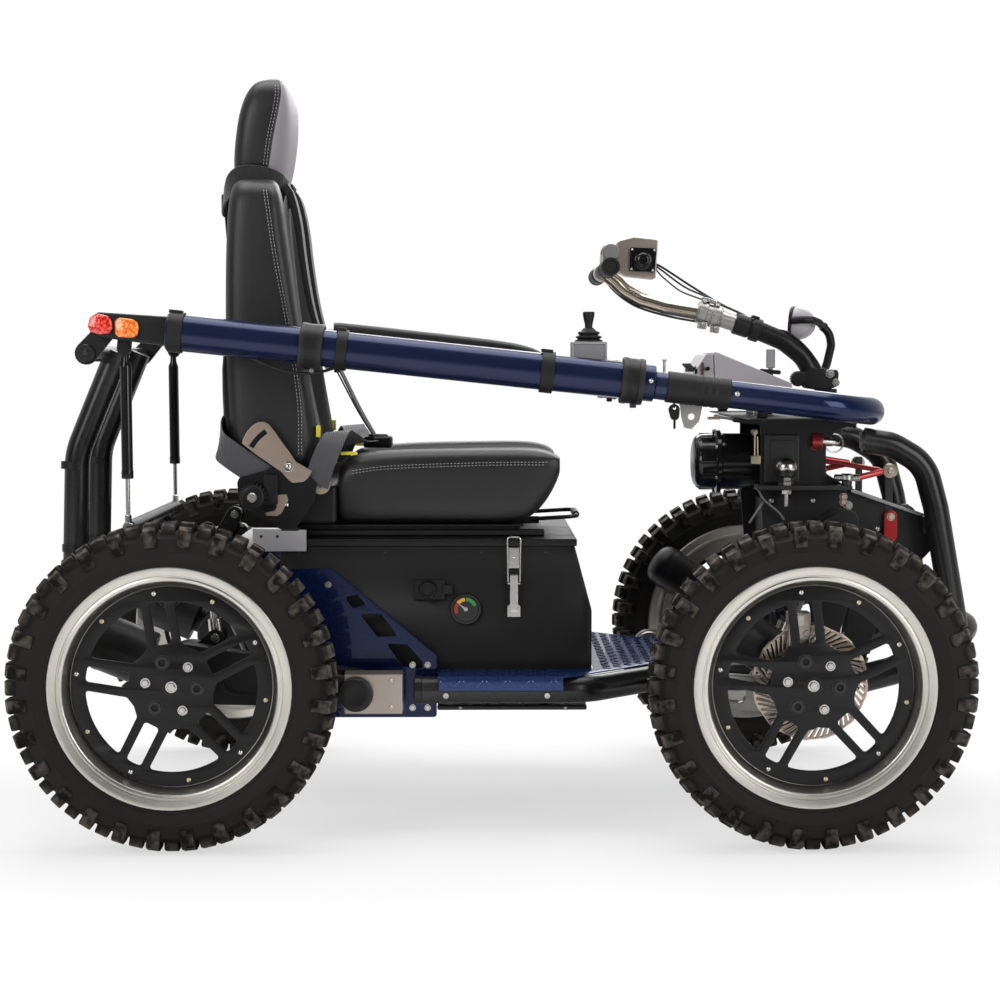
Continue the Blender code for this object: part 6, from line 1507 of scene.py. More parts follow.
for side in (-1, 1):
    sheet(bm, [lobe, slot], side * 0.2576, side * 0.2612, 0.0008)
    turned(bm, [(0, 0), (0, 0.018), (0.0006, 0.0186), (0.0024, 0.0186), (0.003, 0.018), (0.003, 0)],
        (-0.32, side * 0.2416, 0.636), (-0.32, side * 1, 0.636), 36)
    hook = [(-0.408, 0.617), (-0.382, 0.619), (-0.379, 0.608), (-0.392, 0.583), (-0.4, 0.578),
        (-0.42, 0.579), (-0.422, 0.585), (-0.404, 0.588), (-0.4, 0.595)]
    sheet(bm, [hook], side * 0.2576, side * 0.2606, 0.0006, 0.003, steps=3)
settle(bm, "recliner_quadrants", plated_steel, "seat")
bm = bmesh.new()
for side in (-1, 1):
    turned(bm, [(0, 0), (0, 0.0098), (0.0014, 0.0104), (0.0028, 0.0098), (0.003, 0.0078), (0.0052, 0.0072),
        (0.0074, 0.005), (0.0082, 0.0022), (0.0084, 0)], (recline[0], side * 0.2612, recline[1]),
        (recline[0], side * 1, recline[1]), 28)
    dome_screw(bm, (-0.318, side * 0.2446, 0.634), (0, side, 0), 0.0055, 0.0034)
    dome_screw(bm, (-0.3825, side * 0.2576, 0.599), (0, side, 0), 0.0045, 0.003)
    turned(bm, [(0.0255, 0), (0.0255, 0.009), (0.0285, 0.009), (0.03, 0.0078), (0.03, 0.004),
        (0.029, 0.0036), (0.029, 0)], (knob_x, side * 0.262, knob_z), (knob_x, side * 1, knob_z), 28)
settle(bm, "recliner_bolts", bright_steel, "seat")
bm = bmesh.new()
for side in (-1, 1):
    turned(bm, [(-0.005, 0), (-0.005, 0.012), (0.001, 0.012), (0.001, 0.0225), (0.003, 0.0245),
        (0.02, 0.0235), (0.0235, 0.0215), (0.025, 0.018), (0.025, 0.012), (0.0265, 0.011), (0.0265, 0)],
        (knob_x, side * 0.262, knob_z), (knob_x, side * 1, knob_z), 48)
    for rib in range(20):
        dx, dz = polar(0.024, tau * rib / 20)
        cross_bar(bm, knob_x + dx, knob_z + dz, side * 0.2632, side * 0.282, 0.0027, 0.0012, 10)
settle(bm, "recliner_knobs", moulded_black, "seat")

# Seat cushion
# Foam under black grained leather cloth: a crowned top panel between two raised rolls, a twin row of pale
# stitches along the seam, and side panels that draw in towards the pan.


def leather(name, colour, roughness):
    """Coated cloth with a fine pebbled grain, soft creases and a lighter tone on its sharp high spots."""
    made = finish(name, colour, roughness, dust=tuple(c * 1.9 + 0.01 for c in colour), dusting=0.16,
        bare=tuple(c * 2.6 + 0.02 for c in colour), wear=0.25, spread=0.14, grain=60.0, depth=0.2,
        specular=0.42)
    place = shader_node(made.node_tree, "TexCoord")["Object"]
    pebbles = shader_node(made.node_tree, "TexVoronoi", {"Vector": place, "Scale": 620.0})["Distance"]
    emboss(made, pebbles, 0.00035, 0.45)
    return made


black_leather = leather("black_leather_cloth", (0.0115, 0.0112, 0.0112), 0.4)
pale_thread = finish("pale_thread", (0.5, 0.5, 0.5), 0.7, dust=(0.4, 0.4, 0.4), dusting=0.3, grain=2500.0,
    depth=0.5)


def skin(bm, rings):
    """A closed form drawn through level or upright rings of as many points each, capped by flat ends."""
    first = [bm.verts.new(point) for point in rings[0]]
    loop = [bm.edges.new(pair) for pair in zip(first, first[1:] + first[:1])]
    bm.faces.new(first)
    for ring in rings[1:]:
        pulled = bmesh.ops.extrude_edge_only(bm, edges=loop)["geom"]
        verts = [item for item in pulled if isinstance(item, bmesh.types.BMVert)]
        after = []
        for vert, place in zip(first, ring):
            after.append(next(edge.other_vert(vert) for edge in vert.link_edges
                if edge.other_vert(vert) in verts))
            after[-1].co = place
        loop = [bm.edges.get(pair) for pair in zip(after, after[1:] + after[:1])]
        first = after
    bm.faces.new(list(reversed(first)))


def smooth_line(points, steps):
    """A smooth line through the given points, with evenly shared steps between each pair."""
    points = [Vector(point) for point in points]
    ends = [points[0] * 2 - points[1], *points, points[-1] * 2 - points[-2]]
    line = []
    for i in range(1, len(ends) - 2):
        a, b, c, d = ends[i - 1], ends[i], ends[i + 1], ends[i + 2]
        for step in range(steps):
            t = step / steps
            line.append(0.5 * (2 * b + (c - a) * t + (2 * a - 5 * b + 4 * c - d) * t ** 2
                + (3 * b - a - 3 * c + d) * t ** 3))
    return [*line, points[-1]]


def section_between(stations, steps):
    """Stations of equal length lists, smoothed along one another."""
    columns = [smooth_line(column, steps) for column in zip(*stations)]
    return list(zip(*columns))


def upholster(piece, levels):
    soft = piece.modifiers.new("smooth", "SUBSURF")
    soft.levels = soft.render_levels = levels


def cushion_section(x, half, low, side_top, crest, crown):
    """Across the cushion: base, drawn-in side, piping seam, raised roll, valley seam and crowned middle."""
    right = [(half * 0.8, low), (half * 0.945, low + 0.006), (half * 0.975, low + (side_top - low) * 0.42),
        (half * 0.992, side_top - 0.012), (half * 0.985, side_top), (half * 0.978, side_top + 0.006),
        (half * 0.94, side_top + (crest - side_top) * 0.72), (half * 0.85, crest),
        (half * 0.74, crest - 0.002), (half * 0.665, crown - 0.006), (half * 0.64, crown - 0.009),
        (half * 0.615, crown - 0.005), (half * 0.4, crown + 0.001)]
    full = [*right, (0.0, crown + 0.003), *[(-y, z) for y, z in reversed(right)]]
    return [(x, y, z) for y, z in full]


low = 0.559
stations = [cushion_section(*row) for row in ((-0.292, 0.222, low + 0.01, 0.636, 0.662, 0.656),
    (-0.278, 0.234, low + 0.002, 0.652, 0.684, 0.676), (-0.24, 0.2395, low, 0.664, 0.694, 0.684),
    (-0.16, 0.24, low, 0.673, 0.7, 0.688), (-0.06, 0.24, low, 0.677, 0.7025, 0.69),
    (0.03, 0.24, low, 0.679, 0.7035, 0.692), (0.072, 0.239, low + 0.01, 0.68, 0.7025, 0.692),
    (0.098, 0.237, low + 0.034, 0.68, 0.699, 0.69), (0.118, 0.233, low + 0.066, 0.679, 0.693, 0.685),
    (0.13, 0.226, low + 0.096, 0.677, 0.684, 0.678))]
bm = bmesh.new()
skin(bm, section_between(stations, 3))
cushion = settle(bm, "cushion_cover", black_leather, "seat", ["seat_cushion"], smooth_deg=60)
upholster(cushion, 2)

# Cushion stitching
# A double row of pale thread along the top of each side panel of the cushion. Every stitch is a short
# thread of its own that lies on the surface of the cover.


def stitches(bm, line, way, length=0.0042, pitch=0.0066, radius=0.00055, proud=0.0006):
    """Short thread stitches laid end to end along a line, pressed into the cover."""
    way = Vector(way).normalized()
    line = [Vector(point) for point in line]
    spent, due = 0.0, 0.0
    for a, b in zip(line, line[1:]):
        run = (b - a).length
        along = (b - a).normalized()
        while due <= spent + run:
            start = a + along * (due - spent) + way * proud
            turned(bm, [(0, 0), (length * 0.08, radius * 0.7), (length * 0.3, radius),
                (length * 0.7, radius), (length * 0.92, radius * 0.7), (length, 0)], start, start + along,
                5)
            due += pitch
        spent += run


def ray_line(obj, line, way):
    """The same line, moved along a direction until it lies on the piece's surface."""
    graph = bpy.context.evaluated_depsgraph_get()
    seen = obj.evaluated_get(graph)
    way = Vector(way).normalized()
    laid = []
    for point in line:
        start = Vector(point) + Vector((middle_x, 0, 0)) - way * 0.08
        hit, place = seen.ray_cast(start, way)[:2]
        if hit:
            laid.append(place - Vector((middle_x, 0, 0)))
    return laid


bm = bmesh.new()
for side in (-1, 1):
    for drop in (0.0, 0.005):
        seam = ((-0.262, 0.661), (-0.2, 0.6695), (-0.1, 0.674), (0.02, 0.677), (0.1, 0.677))
        line = smooth_line([(x, side * 0.24, z - drop) for x, z in seam], 8)
        stitches(bm, ray_line(cushion, line, (0, -side, 0)), (0, side, 0))
settle(bm, "cushion_stitching", pale_thread, "seat")

# Seat back
# One tall moulded foam back: flat sides and rear, two wings that stand forward of the middle panel, and
# square shoulders. Its cover matches the cushion's, with a double row of stitches down each side.


def back_section(z, half, rear, seam, front, valley):
    """Level section: flat rear, rounded rear corner, flat side to the seam, wing, valley and middle panel."""
    right = [(rear, half * 0.3), (rear, half * 0.78), (rear + 0.0035, half * 0.9),
        (rear + 0.013, half * 0.975), (rear + 0.03, half * 0.998), ((rear + seam) / 2, half),
        (seam - 0.006, half), (seam, half * 0.996), (seam + 0.007, half * 0.985),
        ((seam + front) / 2 + 0.005, half * 0.95), (front - 0.001, half * 0.87), (front, half * 0.8),
        (front - 0.004, half * 0.73), (front - valley * 0.75, half * 0.655), (front - valley, half * 0.62),
        (front - valley * 0.9, half * 0.585), (front - valley * 0.7, half * 0.4)]
    full = [*right, (front - valley * 0.62, 0.0), *[(x, -y) for x, y in reversed(right)], (rear, 0.0)]
    return [(x, y, z) for x, y in full]


stations = [back_section(*row) for row in ((0.658, 0.214, -0.474, -0.372, -0.336, 0.006),
    (0.666, 0.226, -0.483, -0.362, -0.326, 0.012), (0.69, 0.233, -0.491, -0.3555, -0.3205, 0.02),
    (0.75, 0.2358, -0.497, -0.3547, -0.3295, 0.026), (0.83, 0.236, -0.501, -0.362, -0.3435, 0.028),
    (0.93, 0.236, -0.502, -0.3755, -0.359, 0.028), (1.04, 0.2355, -0.501, -0.3945, -0.3735, 0.026),
    (1.12, 0.2345, -0.498, -0.405, -0.385, 0.022), (1.16, 0.231, -0.495, -0.409, -0.3905, 0.018),
    (1.184, 0.223, -0.491, -0.415, -0.396, 0.012), (1.2, 0.206, -0.486, -0.423, -0.403, 0.007),
    (1.209, 0.18, -0.478, -0.433, -0.413, 0.003))]
bm = bmesh.new()
skin(bm, section_between(stations, 2))
for side in (-1, 1):
    cross_bar(bm, recline[0], recline[1], side * 0.2, side * 0.253, 0.014)
back = settle(bm, "back_cover", black_leather, "seat_back", ["seat_back"], smooth_deg=60)
upholster(back, 1)

# Head rest
# The back's head part, drawn in at the neck: dark grained side panels and a smooth paler front panel, with a
# double row of stitches where they meet.

dove_leather = leather("dove_grey_leather", (0.265, 0.245, 0.27), 0.46)


def head_section(z, half, rear, seam, front):
    right = [(rear, half * 0.35), (rear + 0.001, half * 0.72), (rear + 0.007, half * 0.9),
        (rear + 0.02, half * 0.985), ((rear + seam) / 2, half), (seam - 0.004, half), (seam, half * 0.992),
        (seam + (front - seam) * 0.45, half * 0.93), (seam + (front - seam) * 0.8, half * 0.8),
        (front - 0.001, half * 0.6), (front, half * 0.3)]
    full = [*right, (front, 0.0), *[(x, -y) for x, y in reversed(right)], (rear, 0.0)]
    return [(x, y, z) for x, y in full]


stations = [head_section(*row) for row in ((1.196, 0.112, -0.488, -0.44, -0.404),
    (1.215, 0.118, -0.494, -0.433, -0.399), (1.245, 0.126, -0.4965, -0.425, -0.392),
    (1.29, 0.131, -0.493, -0.417, -0.3855), (1.335, 0.132, -0.486, -0.407, -0.383),
    (1.368, 0.128, -0.476, -0.401, -0.385), (1.39, 0.118, -0.464, -0.401, -0.39),
    (1.402, 0.1, -0.452, -0.406, -0.3985), (1.4085, 0.076, -0.44, -0.412, -0.407))]
bm = bmesh.new()
skin(bm, section_between(stations, 3))
head = settle(bm, "head_rest_cover", black_leather, "seat_back", smooth_deg=60)
head.data.materials.append(dove_leather)
seam_places = [(1.19, -0.441), (1.215, -0.433), (1.245, -0.425), (1.29, -0.417), (1.335, -0.407),
    (1.368, -0.401), (1.42, -0.404)]
for face in head.data.polygons:
    x, z = face.center.x - middle_x, face.center.z
    low = max(i for i in range(len(seam_places) - 1) if seam_places[i][0] <= z)
    share = (z - seam_places[low][0]) / (seam_places[low + 1][0] - seam_places[low][0])
    if x > seam_places[low][1] + (seam_places[low + 1][1] - seam_places[low][1]) * share:
        face.material_index = 1
upholster(head, 1)
bm = bmesh.new()
for side in (-1, 1):
    for back_by in (0.0, 0.0055):
        seam = ((-0.415, 1.184), (-0.408, 1.14), (-0.3965, 1.06), (-0.376, 0.95), (-0.359, 0.84),
            (-0.352, 0.77), (-0.352, 0.69))
        line = smooth_line([(x - back_by, side * 0.2, z) for x, z in seam], 8)
        stitches(bm, ray_line(back, [Vector((p.x - 0.004, side * 0.236, p.z)) for p in line],
            (0, -side, 0)), (0, side, 0))
        seam = ((-0.429, 1.24), (-0.421, 1.29), (-0.411, 1.335), (-0.4055, 1.368), (-0.406, 1.388))
        line = smooth_line([(x - back_by, side * 0.12, z) for x, z in seam], 8)
        stitches(bm, ray_line(head, [Vector((p.x, side * 0.13, p.z)) for p in line], (0, -side, 0)),
            (0, side, 0))
settle(bm, "back_stitching", pale_thread, "seat_back")

# Harness and belts
# Woven webbing: a neck band behind the head rest, two padded shoulder straps that run down to a buckle on
# the cushion, a lap strap from each side, and a black retaining strap round the foot of the back.


def webbing(name, colour, roughness, pitch):
    """Woven strap: ribs across the weave with a fine cross thread."""
    made = finish(name, colour, roughness, dust=tuple(c * 1.8 + 0.01 for c in colour), dusting=0.3,
        spread=0.12, grain=1500.0, depth=0.5, specular=0.3, sheen=0.25)
    place = shader_node(made.node_tree, "TexCoord")["Object"]
    ribs = shader_node(made.node_tree, "TexWave", {"Vector": place, "Scale": pitch, "Distortion": 0.6})["Fac"]
    emboss(made, ribs, 0.0008, 0.7)
    return made


def strap(bm, points, across, width, thick):
    """A flat strap with soft edges along a smooth line. Across is its flat way, or one for each point."""
    line = smooth_line(points, 6)
    flat = smooth_line(across, 6) if isinstance(across, list) else [Vector(across)] * len(line)
    rings = []
    for i, place in enumerate(line):
        along = (line[min(i + 1, len(line) - 1)] - line[max(i - 1, 0)]).normalized()
        face = along.cross(flat[i]).normalized()
        side = face.cross(along).normalized()
        deep = thick[0] + (thick[1] - thick[0]) * i / (len(line) - 1) if isinstance(thick, tuple) else thick
        rings.append([place + side * (width / 2 * a) + face * (deep / 2 * b)
            for a, b in ((-1, -0.4), (-0.95, -1), (0.95, -1), (1, -0.4), (1, 0.4), (0.95, 1), (-0.95, 1),
            (-1, 0.4))])
    skin(bm, rings)


grey_webbing = webbing("grey_webbing", (0.062, 0.062, 0.068), 0.5, 90.0)
black_webbing = webbing("black_webbing", (0.011, 0.011, 0.012), 0.55, 120.0)
bm = bmesh.new()
band = [(-0.515, 0.02, 1.166), (-0.518, 0.062, 1.172), (-0.505, 0.114, 1.192), (-0.477, 0.1365, 1.214),
    (-0.438, 0.136, 1.214), (-0.408, 0.121, 1.204), (-0.396, 0.09, 1.192)]
for side in (-1, 1):
    strap(bm, mirrored(band, side), (0.1, 0, 1), 0.044, 0.004)
block(bm, (-0.527, -0.03, 1.152), (-0.513, 0.03, 1.192), 0.003)
strap(bm, [(-0.5205, 0, 1.156), (-0.517, 0, 1.11), (-0.511, 0, 1.04), (-0.51, 0, 0.96), (-0.5085, 0, 0.88),
    (-0.5045, 0, 0.8)], (0, 1, 0), 0.05, 0.003)
block(bm, (-0.518, -0.034, 1.01), (-0.5065, 0.034, 1.046), 0.003)
settle(bm, "neck_band", black_webbing, "seat_back")
for label, side in sides.items():
    bm = bmesh.new()
    y = side * 0.092
    run = ((-0.398, 1, 1.204), (-0.384, 0.96, 1.18), (-0.372, 0.92, 1.13), (-0.363, 0.9, 1.06),
        (-0.35, 0.88, 0.98), (-0.331, 0.8, 0.905), (-0.3, 0.66, 0.845), (-0.262, 0.45, 0.77),
        (-0.234, 0.28, 0.722))
    line = [(x, y * share, z) for x, share, z in run]
    strap(bm, line[:6], (0, 1, 0), 0.06, (0.015, 0.01))
    strap(bm, line[4:], (0, 1, 0.12 * side), 0.046, 0.003)
    settle(bm, f"shoulder_strap_{label}", black_webbing, ("seat_back", "seat",
        (-0.345 + middle_x, 0, 0.96), (-0.25 + middle_x, 0, 0.745)))
    bm = bmesh.new()
    lap = [(-0.328, side * 0.248, 0.634), (-0.318, side * 0.2515, 0.668), (-0.302, side * 0.244, 0.708),
        (-0.289, side * 0.212, 0.733), (-0.279, side * 0.165, 0.726), (-0.262, side * 0.105, 0.71),
        (-0.244, side * 0.03, 0.708)]
    strap(bm, lap, (1, 0, 0.1), 0.046, 0.0024)
    settle(bm, f"lap_strap_{label}", grey_webbing, "seat")
    bm = bmesh.new()
    loop = [(-0.503, side * 0.13, 0.748), (-0.511, side * 0.185, 0.732), (-0.507, side * 0.232, 0.708),
        (-0.484, side * 0.25, 0.69), (-0.452, side * 0.2515, 0.668), (-0.412, side * 0.2515, 0.64)]
    flat = [(0, 0, 1), (0.05, 0, 1), (0.25, 0, 1), (0.5, 0, 0.85), (0.6, 0, 0.8), (0.6, 0, 0.8)]
    strap(bm, loop, flat, 0.05, 0.0026)
    settle(bm, f"back_retaining_strap_{label}", grey_webbing,
        ("seat_back", "seat", (-0.5 + middle_x, 0, 0.735), (-0.425 + middle_x, 0, 0.65)))
bm = bmesh.new()
block(bm, (-0.252, -0.03, 0.696), (-0.196, 0.03, 0.718), 0.005, segments=3)
turned(bm, [(0, 0), (0, 0.018), (0.002, 0.02), (0.005, 0.018), (0.006, 0)], (-0.224, 0, 0.717),
    (-0.224, 0, 1), 32)
settle(bm, "harness_buckle", moulded_black, "seat")
yellow = finish("yellow_tag", (0.72, 0.64, 0.02), 0.5, dust=(0.5, 0.45, 0.08), dusting=0.3, spread=0.1,
    grain=700.0, depth=0.1)
bm = bmesh.new()
for side in (-1, 1):
    block(bm, (-0.283, side * 0.222, 0.6905), (-0.252, side * 0.236, 0.6965), 0.0015)
    block(bm, (-0.33, side * 0.205, 0.723), (-0.322, side * 0.22, 0.745), 0.0015)
settle(bm, "yellow_belt_tags", yellow, "seat")
bm = bmesh.new()
shell = [back_section(*row) for row in ((0.7, 0.19, -0.505, -0.49, -0.488, 0.0),
    (0.76, 0.205, -0.51, -0.492, -0.49, 0.0), (0.85, 0.205, -0.512, -0.494, -0.492, 0.0),
    (0.9, 0.19, -0.508, -0.495, -0.493, 0.0))]
skin(bm, section_between(shell, 2))
settle(bm, "back_rear_shell", moulded_black, "seat_back")

# Slide lever
# The bail under the front of the cushion that frees the slide rails: black coated wire, bent to a U, with
# a thick moulded grip across its front. Two bushes hold its ends.

bm = bmesh.new()
pipe(bm, [(0.066, -0.1, 0.56), (0.166, -0.1, 0.566), (0.166, 0.1, 0.566), (0.066, 0.1, 0.56)], 0.004, 0.02, 6)
pipe(bm, [(0.1665, -0.052, 0.566), (0.1665, 0.052, 0.566)], 0.0068, sides=8)
for side in (-1, 1):
    cross_bar(bm, 0.066, 0.56, side * 0.092, side * 0.108, 0.0075)
settle(bm, "slide_bail", black_plastic, "slide_lever", ["slide_lever"])

# Handlebar
# The tiller. A thick black tube rises from the steering yoke, a silver sleeve and a split clamp hold the
# pale upper tube, and that tube carries a cross bar with two ribbed rubber grips.

champagne = finish("champagne_tube", (0.55, 0.47, 0.385), 0.2, 0.92, dust=(0.34, 0.29, 0.24), dusting=0.2,
    bare=(0.8, 0.76, 0.7), wear=0.1, spread=0.05, grain=300.0, depth=0.01)
bar_at = Vector((0.222, 0, 1.042))
bm = bmesh.new()
pipe(bm, [bar_at, (0.248, 0, 1.021), (0.262, 0, 1.006), (0.295, 0, 0.9875), (0.345, 0, 0.973),
    (0.428, 0, 0.959)], 0.0145, 0.06, 10, 12)
settle(bm, "upper_tiller_tube", champagne, "steering", ["handlebar"])
bm = bmesh.new()
round_bar(bm, (0.448, 0, 0.953), (0.486, 0, 0.94), 0.0165, 0.0012, 32)
clamp_from, clamp_to = Vector((0.4065, 0, 0.966)), Vector((0.4545, 0, 0.951))
round_bar(bm, clamp_from, clamp_to, 0.0205, 0.0015, 32)
along = (clamp_to - clamp_from).normalized()
for share in (0.24, 0.76):
    middle = clamp_from.lerp(clamp_to, share)
    round_bar(bm, middle - along * 0.0085, middle + along * 0.0085, 0.0232, 0.0012, 32)
    turned(bm, [(0, 0), (0, 0.0055), (0.004, 0.0055), (0.0048, 0.0045), (0.0048, 0)],
        middle + Vector((0.004, -0.012, 0.02)), middle + Vector((0.004, -0.012, 1)), 18)
    block(bm, middle + Vector((-0.008, -0.018, -0.032)), middle + Vector((0.008, 0.018, -0.018)), 0.0022, 12)
    turned(bm, [(0, 0), (0, 0.005), (0.0035, 0.005), (0.0045, 0.0038), (0.0045, 0)],
        middle + Vector((0, -0.018, -0.0255)), middle + Vector((0, -1, -0.0255)), 18)
block(bm, (0.416, -0.013, 0.982), (0.447, 0.013, 0.99), 0.003, 16)
settle(bm, "tiller_clamp", bare_alloy, "steering")
bm = bmesh.new()
tiller = [(0.483, 0, 0.9415), (0.535, 0, 0.925), (0.58, 0, 0.906), (0.618, 0, 0.876), (0.637, 0, 0.844)]
pipe(bm, tiller, 0.019, 0.07, 10, 14)
start, end = Vector(tiller[0]), Vector(tiller[1])
way = (end - start).normalized()
for low, high, radius in ((-0.002, 0.03, 0.0212), (0.033, 0.052, 0.0236)):
    round_bar(bm, start + way * low, start + way * high, radius, 0.0018, 36)
block(bm, start + way * 0.034 + Vector((0, -0.012, 0.019)), start + way * 0.051 + Vector((0, 0.012, 0.03)),
    0.003, 17)
settle(bm, "lower_tiller_tube", satin_black, "steering")
yoke_x, lock_x = 0.669, 0.604
bm = bmesh.new()
round_bar(bm, (0.6365, 0, 0.8475), (0.6415, 0, 0.8375), 0.0208, 0.0012, 36)
turned(bm, [(0, 0), (0, 0.014), (0.003, 0.0155), (0.0035, 0)], (yoke_x, 0, 0.763), (yoke_x, 0, 1), 32)
hex_bolt(bm, (0.668, -0.0262, 0.842), (0, -1, 0), 0.011, 0.005, 0.009)
hex_bolt(bm, (0.68, -0.0262, 0.824), (0, -1, 0), 0.009, 0.004, 0.0075)
settle(bm, "tiller_yoke_bolts", bright_steel, "steering")
bm = bmesh.new()
yoke = [(0.609, 0.83), (0.617, 0.844), (0.629, 0.853), (0.656, 0.853), (0.662, 0.849), (0.683, 0.85),
    (0.686, 0.842), (0.684, 0.817), (0.66, 0.808), (0.624, 0.813)]
sheet(bm, [yoke], -0.026, 0.026, 0.0025, 0.005)
round_bar(bm, (yoke_x, 0, 0.7665), (yoke_x, 0, 0.812), 0.0175, 0.0015, 32)
for at, radius in ((0.771, 0.026), (0.779, 0.0245), (0.787, 0.023), (0.795, 0.0212), (0.803, 0.0196)):
    turned(bm, [(0, 0), (0, radius - 0.005), (0.003, radius), (0.006, radius - 0.005), (0.006, 0)],
        (yoke_x, 0, at - 0.003), (yoke_x, 0, 1), 32)
settle(bm, "tiller_yoke", moulded_black, "steering")
bm = bmesh.new()
for i in range(18):
    turn = tau * i / 18
    spoke = Vector((cos(turn), 0, sin(turn)))
    place = Vector((lock_x, 0, 0.832)) + spoke * 0.0132
    round_bar(bm, place + Vector((0, -0.04, 0)), place + Vector((0, -0.022, 0)), 0.0022, 0.0006, 8)
cross_bar(bm, lock_x, 0.832, -0.041, -0.021, 0.0135, 0.0015, 28)
cross_bar(bm, lock_x, 0.832, -0.022, 0.006, 0.006)
block(bm, (0.6, -0.016, 0.818), (0.624, 0.008, 0.83), 0.002)
settle(bm, "tiller_lock_knob", black_plastic, "steering")
bm = bmesh.new()
round_bar(bm, bar_at + Vector((0, -0.226, 0)), bar_at + Vector((0, 0.226, 0)), 0.0108, 0.0012, 28)
settle(bm, "cross_bar", satin_black, "steering")
bm = bmesh.new()
for side in (-1, 1):
    profile = [(0, 0), (0, 0.0135), (0.001, 0.0168), (0.005, 0.0172), (0.007, 0.0158)]
    for i in range(16):
        at = 0.01 + i * 0.0066
        profile += [(at, 0.0158), (at + 0.0012, 0.0163), (at + 0.0046, 0.0163), (at + 0.0058, 0.0158)]
    profile += [(0.1175, 0.0158), (0.1185, 0.0174), (0.1215, 0.0174), (0.1225, 0.0168), (0.1225, 0.0125),
        (0.1185, 0.012), (0.1185, 0)]
    turned(bm, profile, bar_at + Vector((0, side * 0.1085, 0)), bar_at + Vector((0, side, 0)), 36)
settle(bm, "grips", soft_rubber, "steering")

# Switch pod
# A bronze box beside the tiller with a black square plate, four screws and a stepped push knob, held on the
# cross bar by a silver split clamp.

bm = bmesh.new()
side_view = [(0.25, 1.101), (0.256, 1.105), (0.285, 1.112), (0.332, 1.107), (0.3275, 1.03), (0.271, 1.036),
    (0.2505, 1.045)]
sheet(bm, [side_view], 0.02, 0.085, 0.0022, 0.0035)
settle(bm, "pod_case", bronze, "steering", ["control_pod"])
bm = bmesh.new()
corners = [Vector((0.276, 0, 1.0915)), Vector((0.329, 0, 1.0895)), Vector((0.325, 0, 1.042)),
    Vector((0.274, 0, 1.045))]
sheet(bm, [[(p.x, p.z) for p in corners]], 0.0145, 0.0202, 0.0008, 0.003)
knob = Vector((0.301, 0.0145, 1.0665))
turned(bm, [(0, 0), (0, 0.02), (0.003, 0.0195), (0.0034, 0.0165), (0.007, 0.016), (0.0074, 0.0148),
    (0.0125, 0.014), (0.015, 0.0118), (0.016, 0.0085), (0.012, 0.006), (0.0112, 0)], knob,
    knob + Vector((0, -1, 0)), 40)
settle(bm, "pod_switch_plate", gloss_black, "steering")
middle = sum(corners, Vector()) / 4
bm = bmesh.new()
for corner in corners:
    dome_screw(bm, corner.lerp(middle, 0.17) + Vector((0, 0.0145, 0)), (0, -1, 0), 0.0026, 0.0016)
settle(bm, "pod_screws", bright_steel, "steering")
bm = bmesh.new()
cross_bar(bm, 0.236, 1.082, -0.012, 0.07, 0.0165, 0.0015, 36)
cross_bar(bm, 0.236, 1.082, 0.012, 0.03, 0.018, 0.0012, 36)
cross_bar(bm, 0.222, 1.042, -0.01, 0.068, 0.0168, 0.0015, 36)
block(bm, (0.218, -0.006, 1.048), (0.246, 0.06, 1.076), 0.003)
settle(bm, "pod_clamp", bare_alloy, "steering")

# Control cables
# Free cables in black sheaths between the pod and the tiller, below the right side bar and beside the yoke.
# Each is fixed at both ends and hangs in a smooth line between them.

cable_black = finish("cable_sheath", (0.009, 0.0105, 0.01), 0.36, dust=(0.035, 0.038, 0.036), dusting=0.12,
    spread=0.1, grain=900.0, depth=0.1, specular=0.4)


def cable(name, points, radius, body, material):
    """A free cable along a smooth line."""
    line = [point + Vector((middle_x, 0, 0)) for point in smooth_line(points, 6)]
    data = bpy.data.curves.new(name, "CURVE")
    data.dimensions = "3D"
    data.bevel_depth = radius
    data.bevel_resolution = 4
    data.use_fill_caps = True
    spline = data.splines.new("POLY")
    spline.points.add(len(line) - 1)
    for point, place in zip(spline.points, line):
        point.co = (*place, 1)
    data.materials.append(material)
    piece = bpy.data.objects.new(name, data)
    scene.collection.objects.link(piece)
    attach(piece, body)


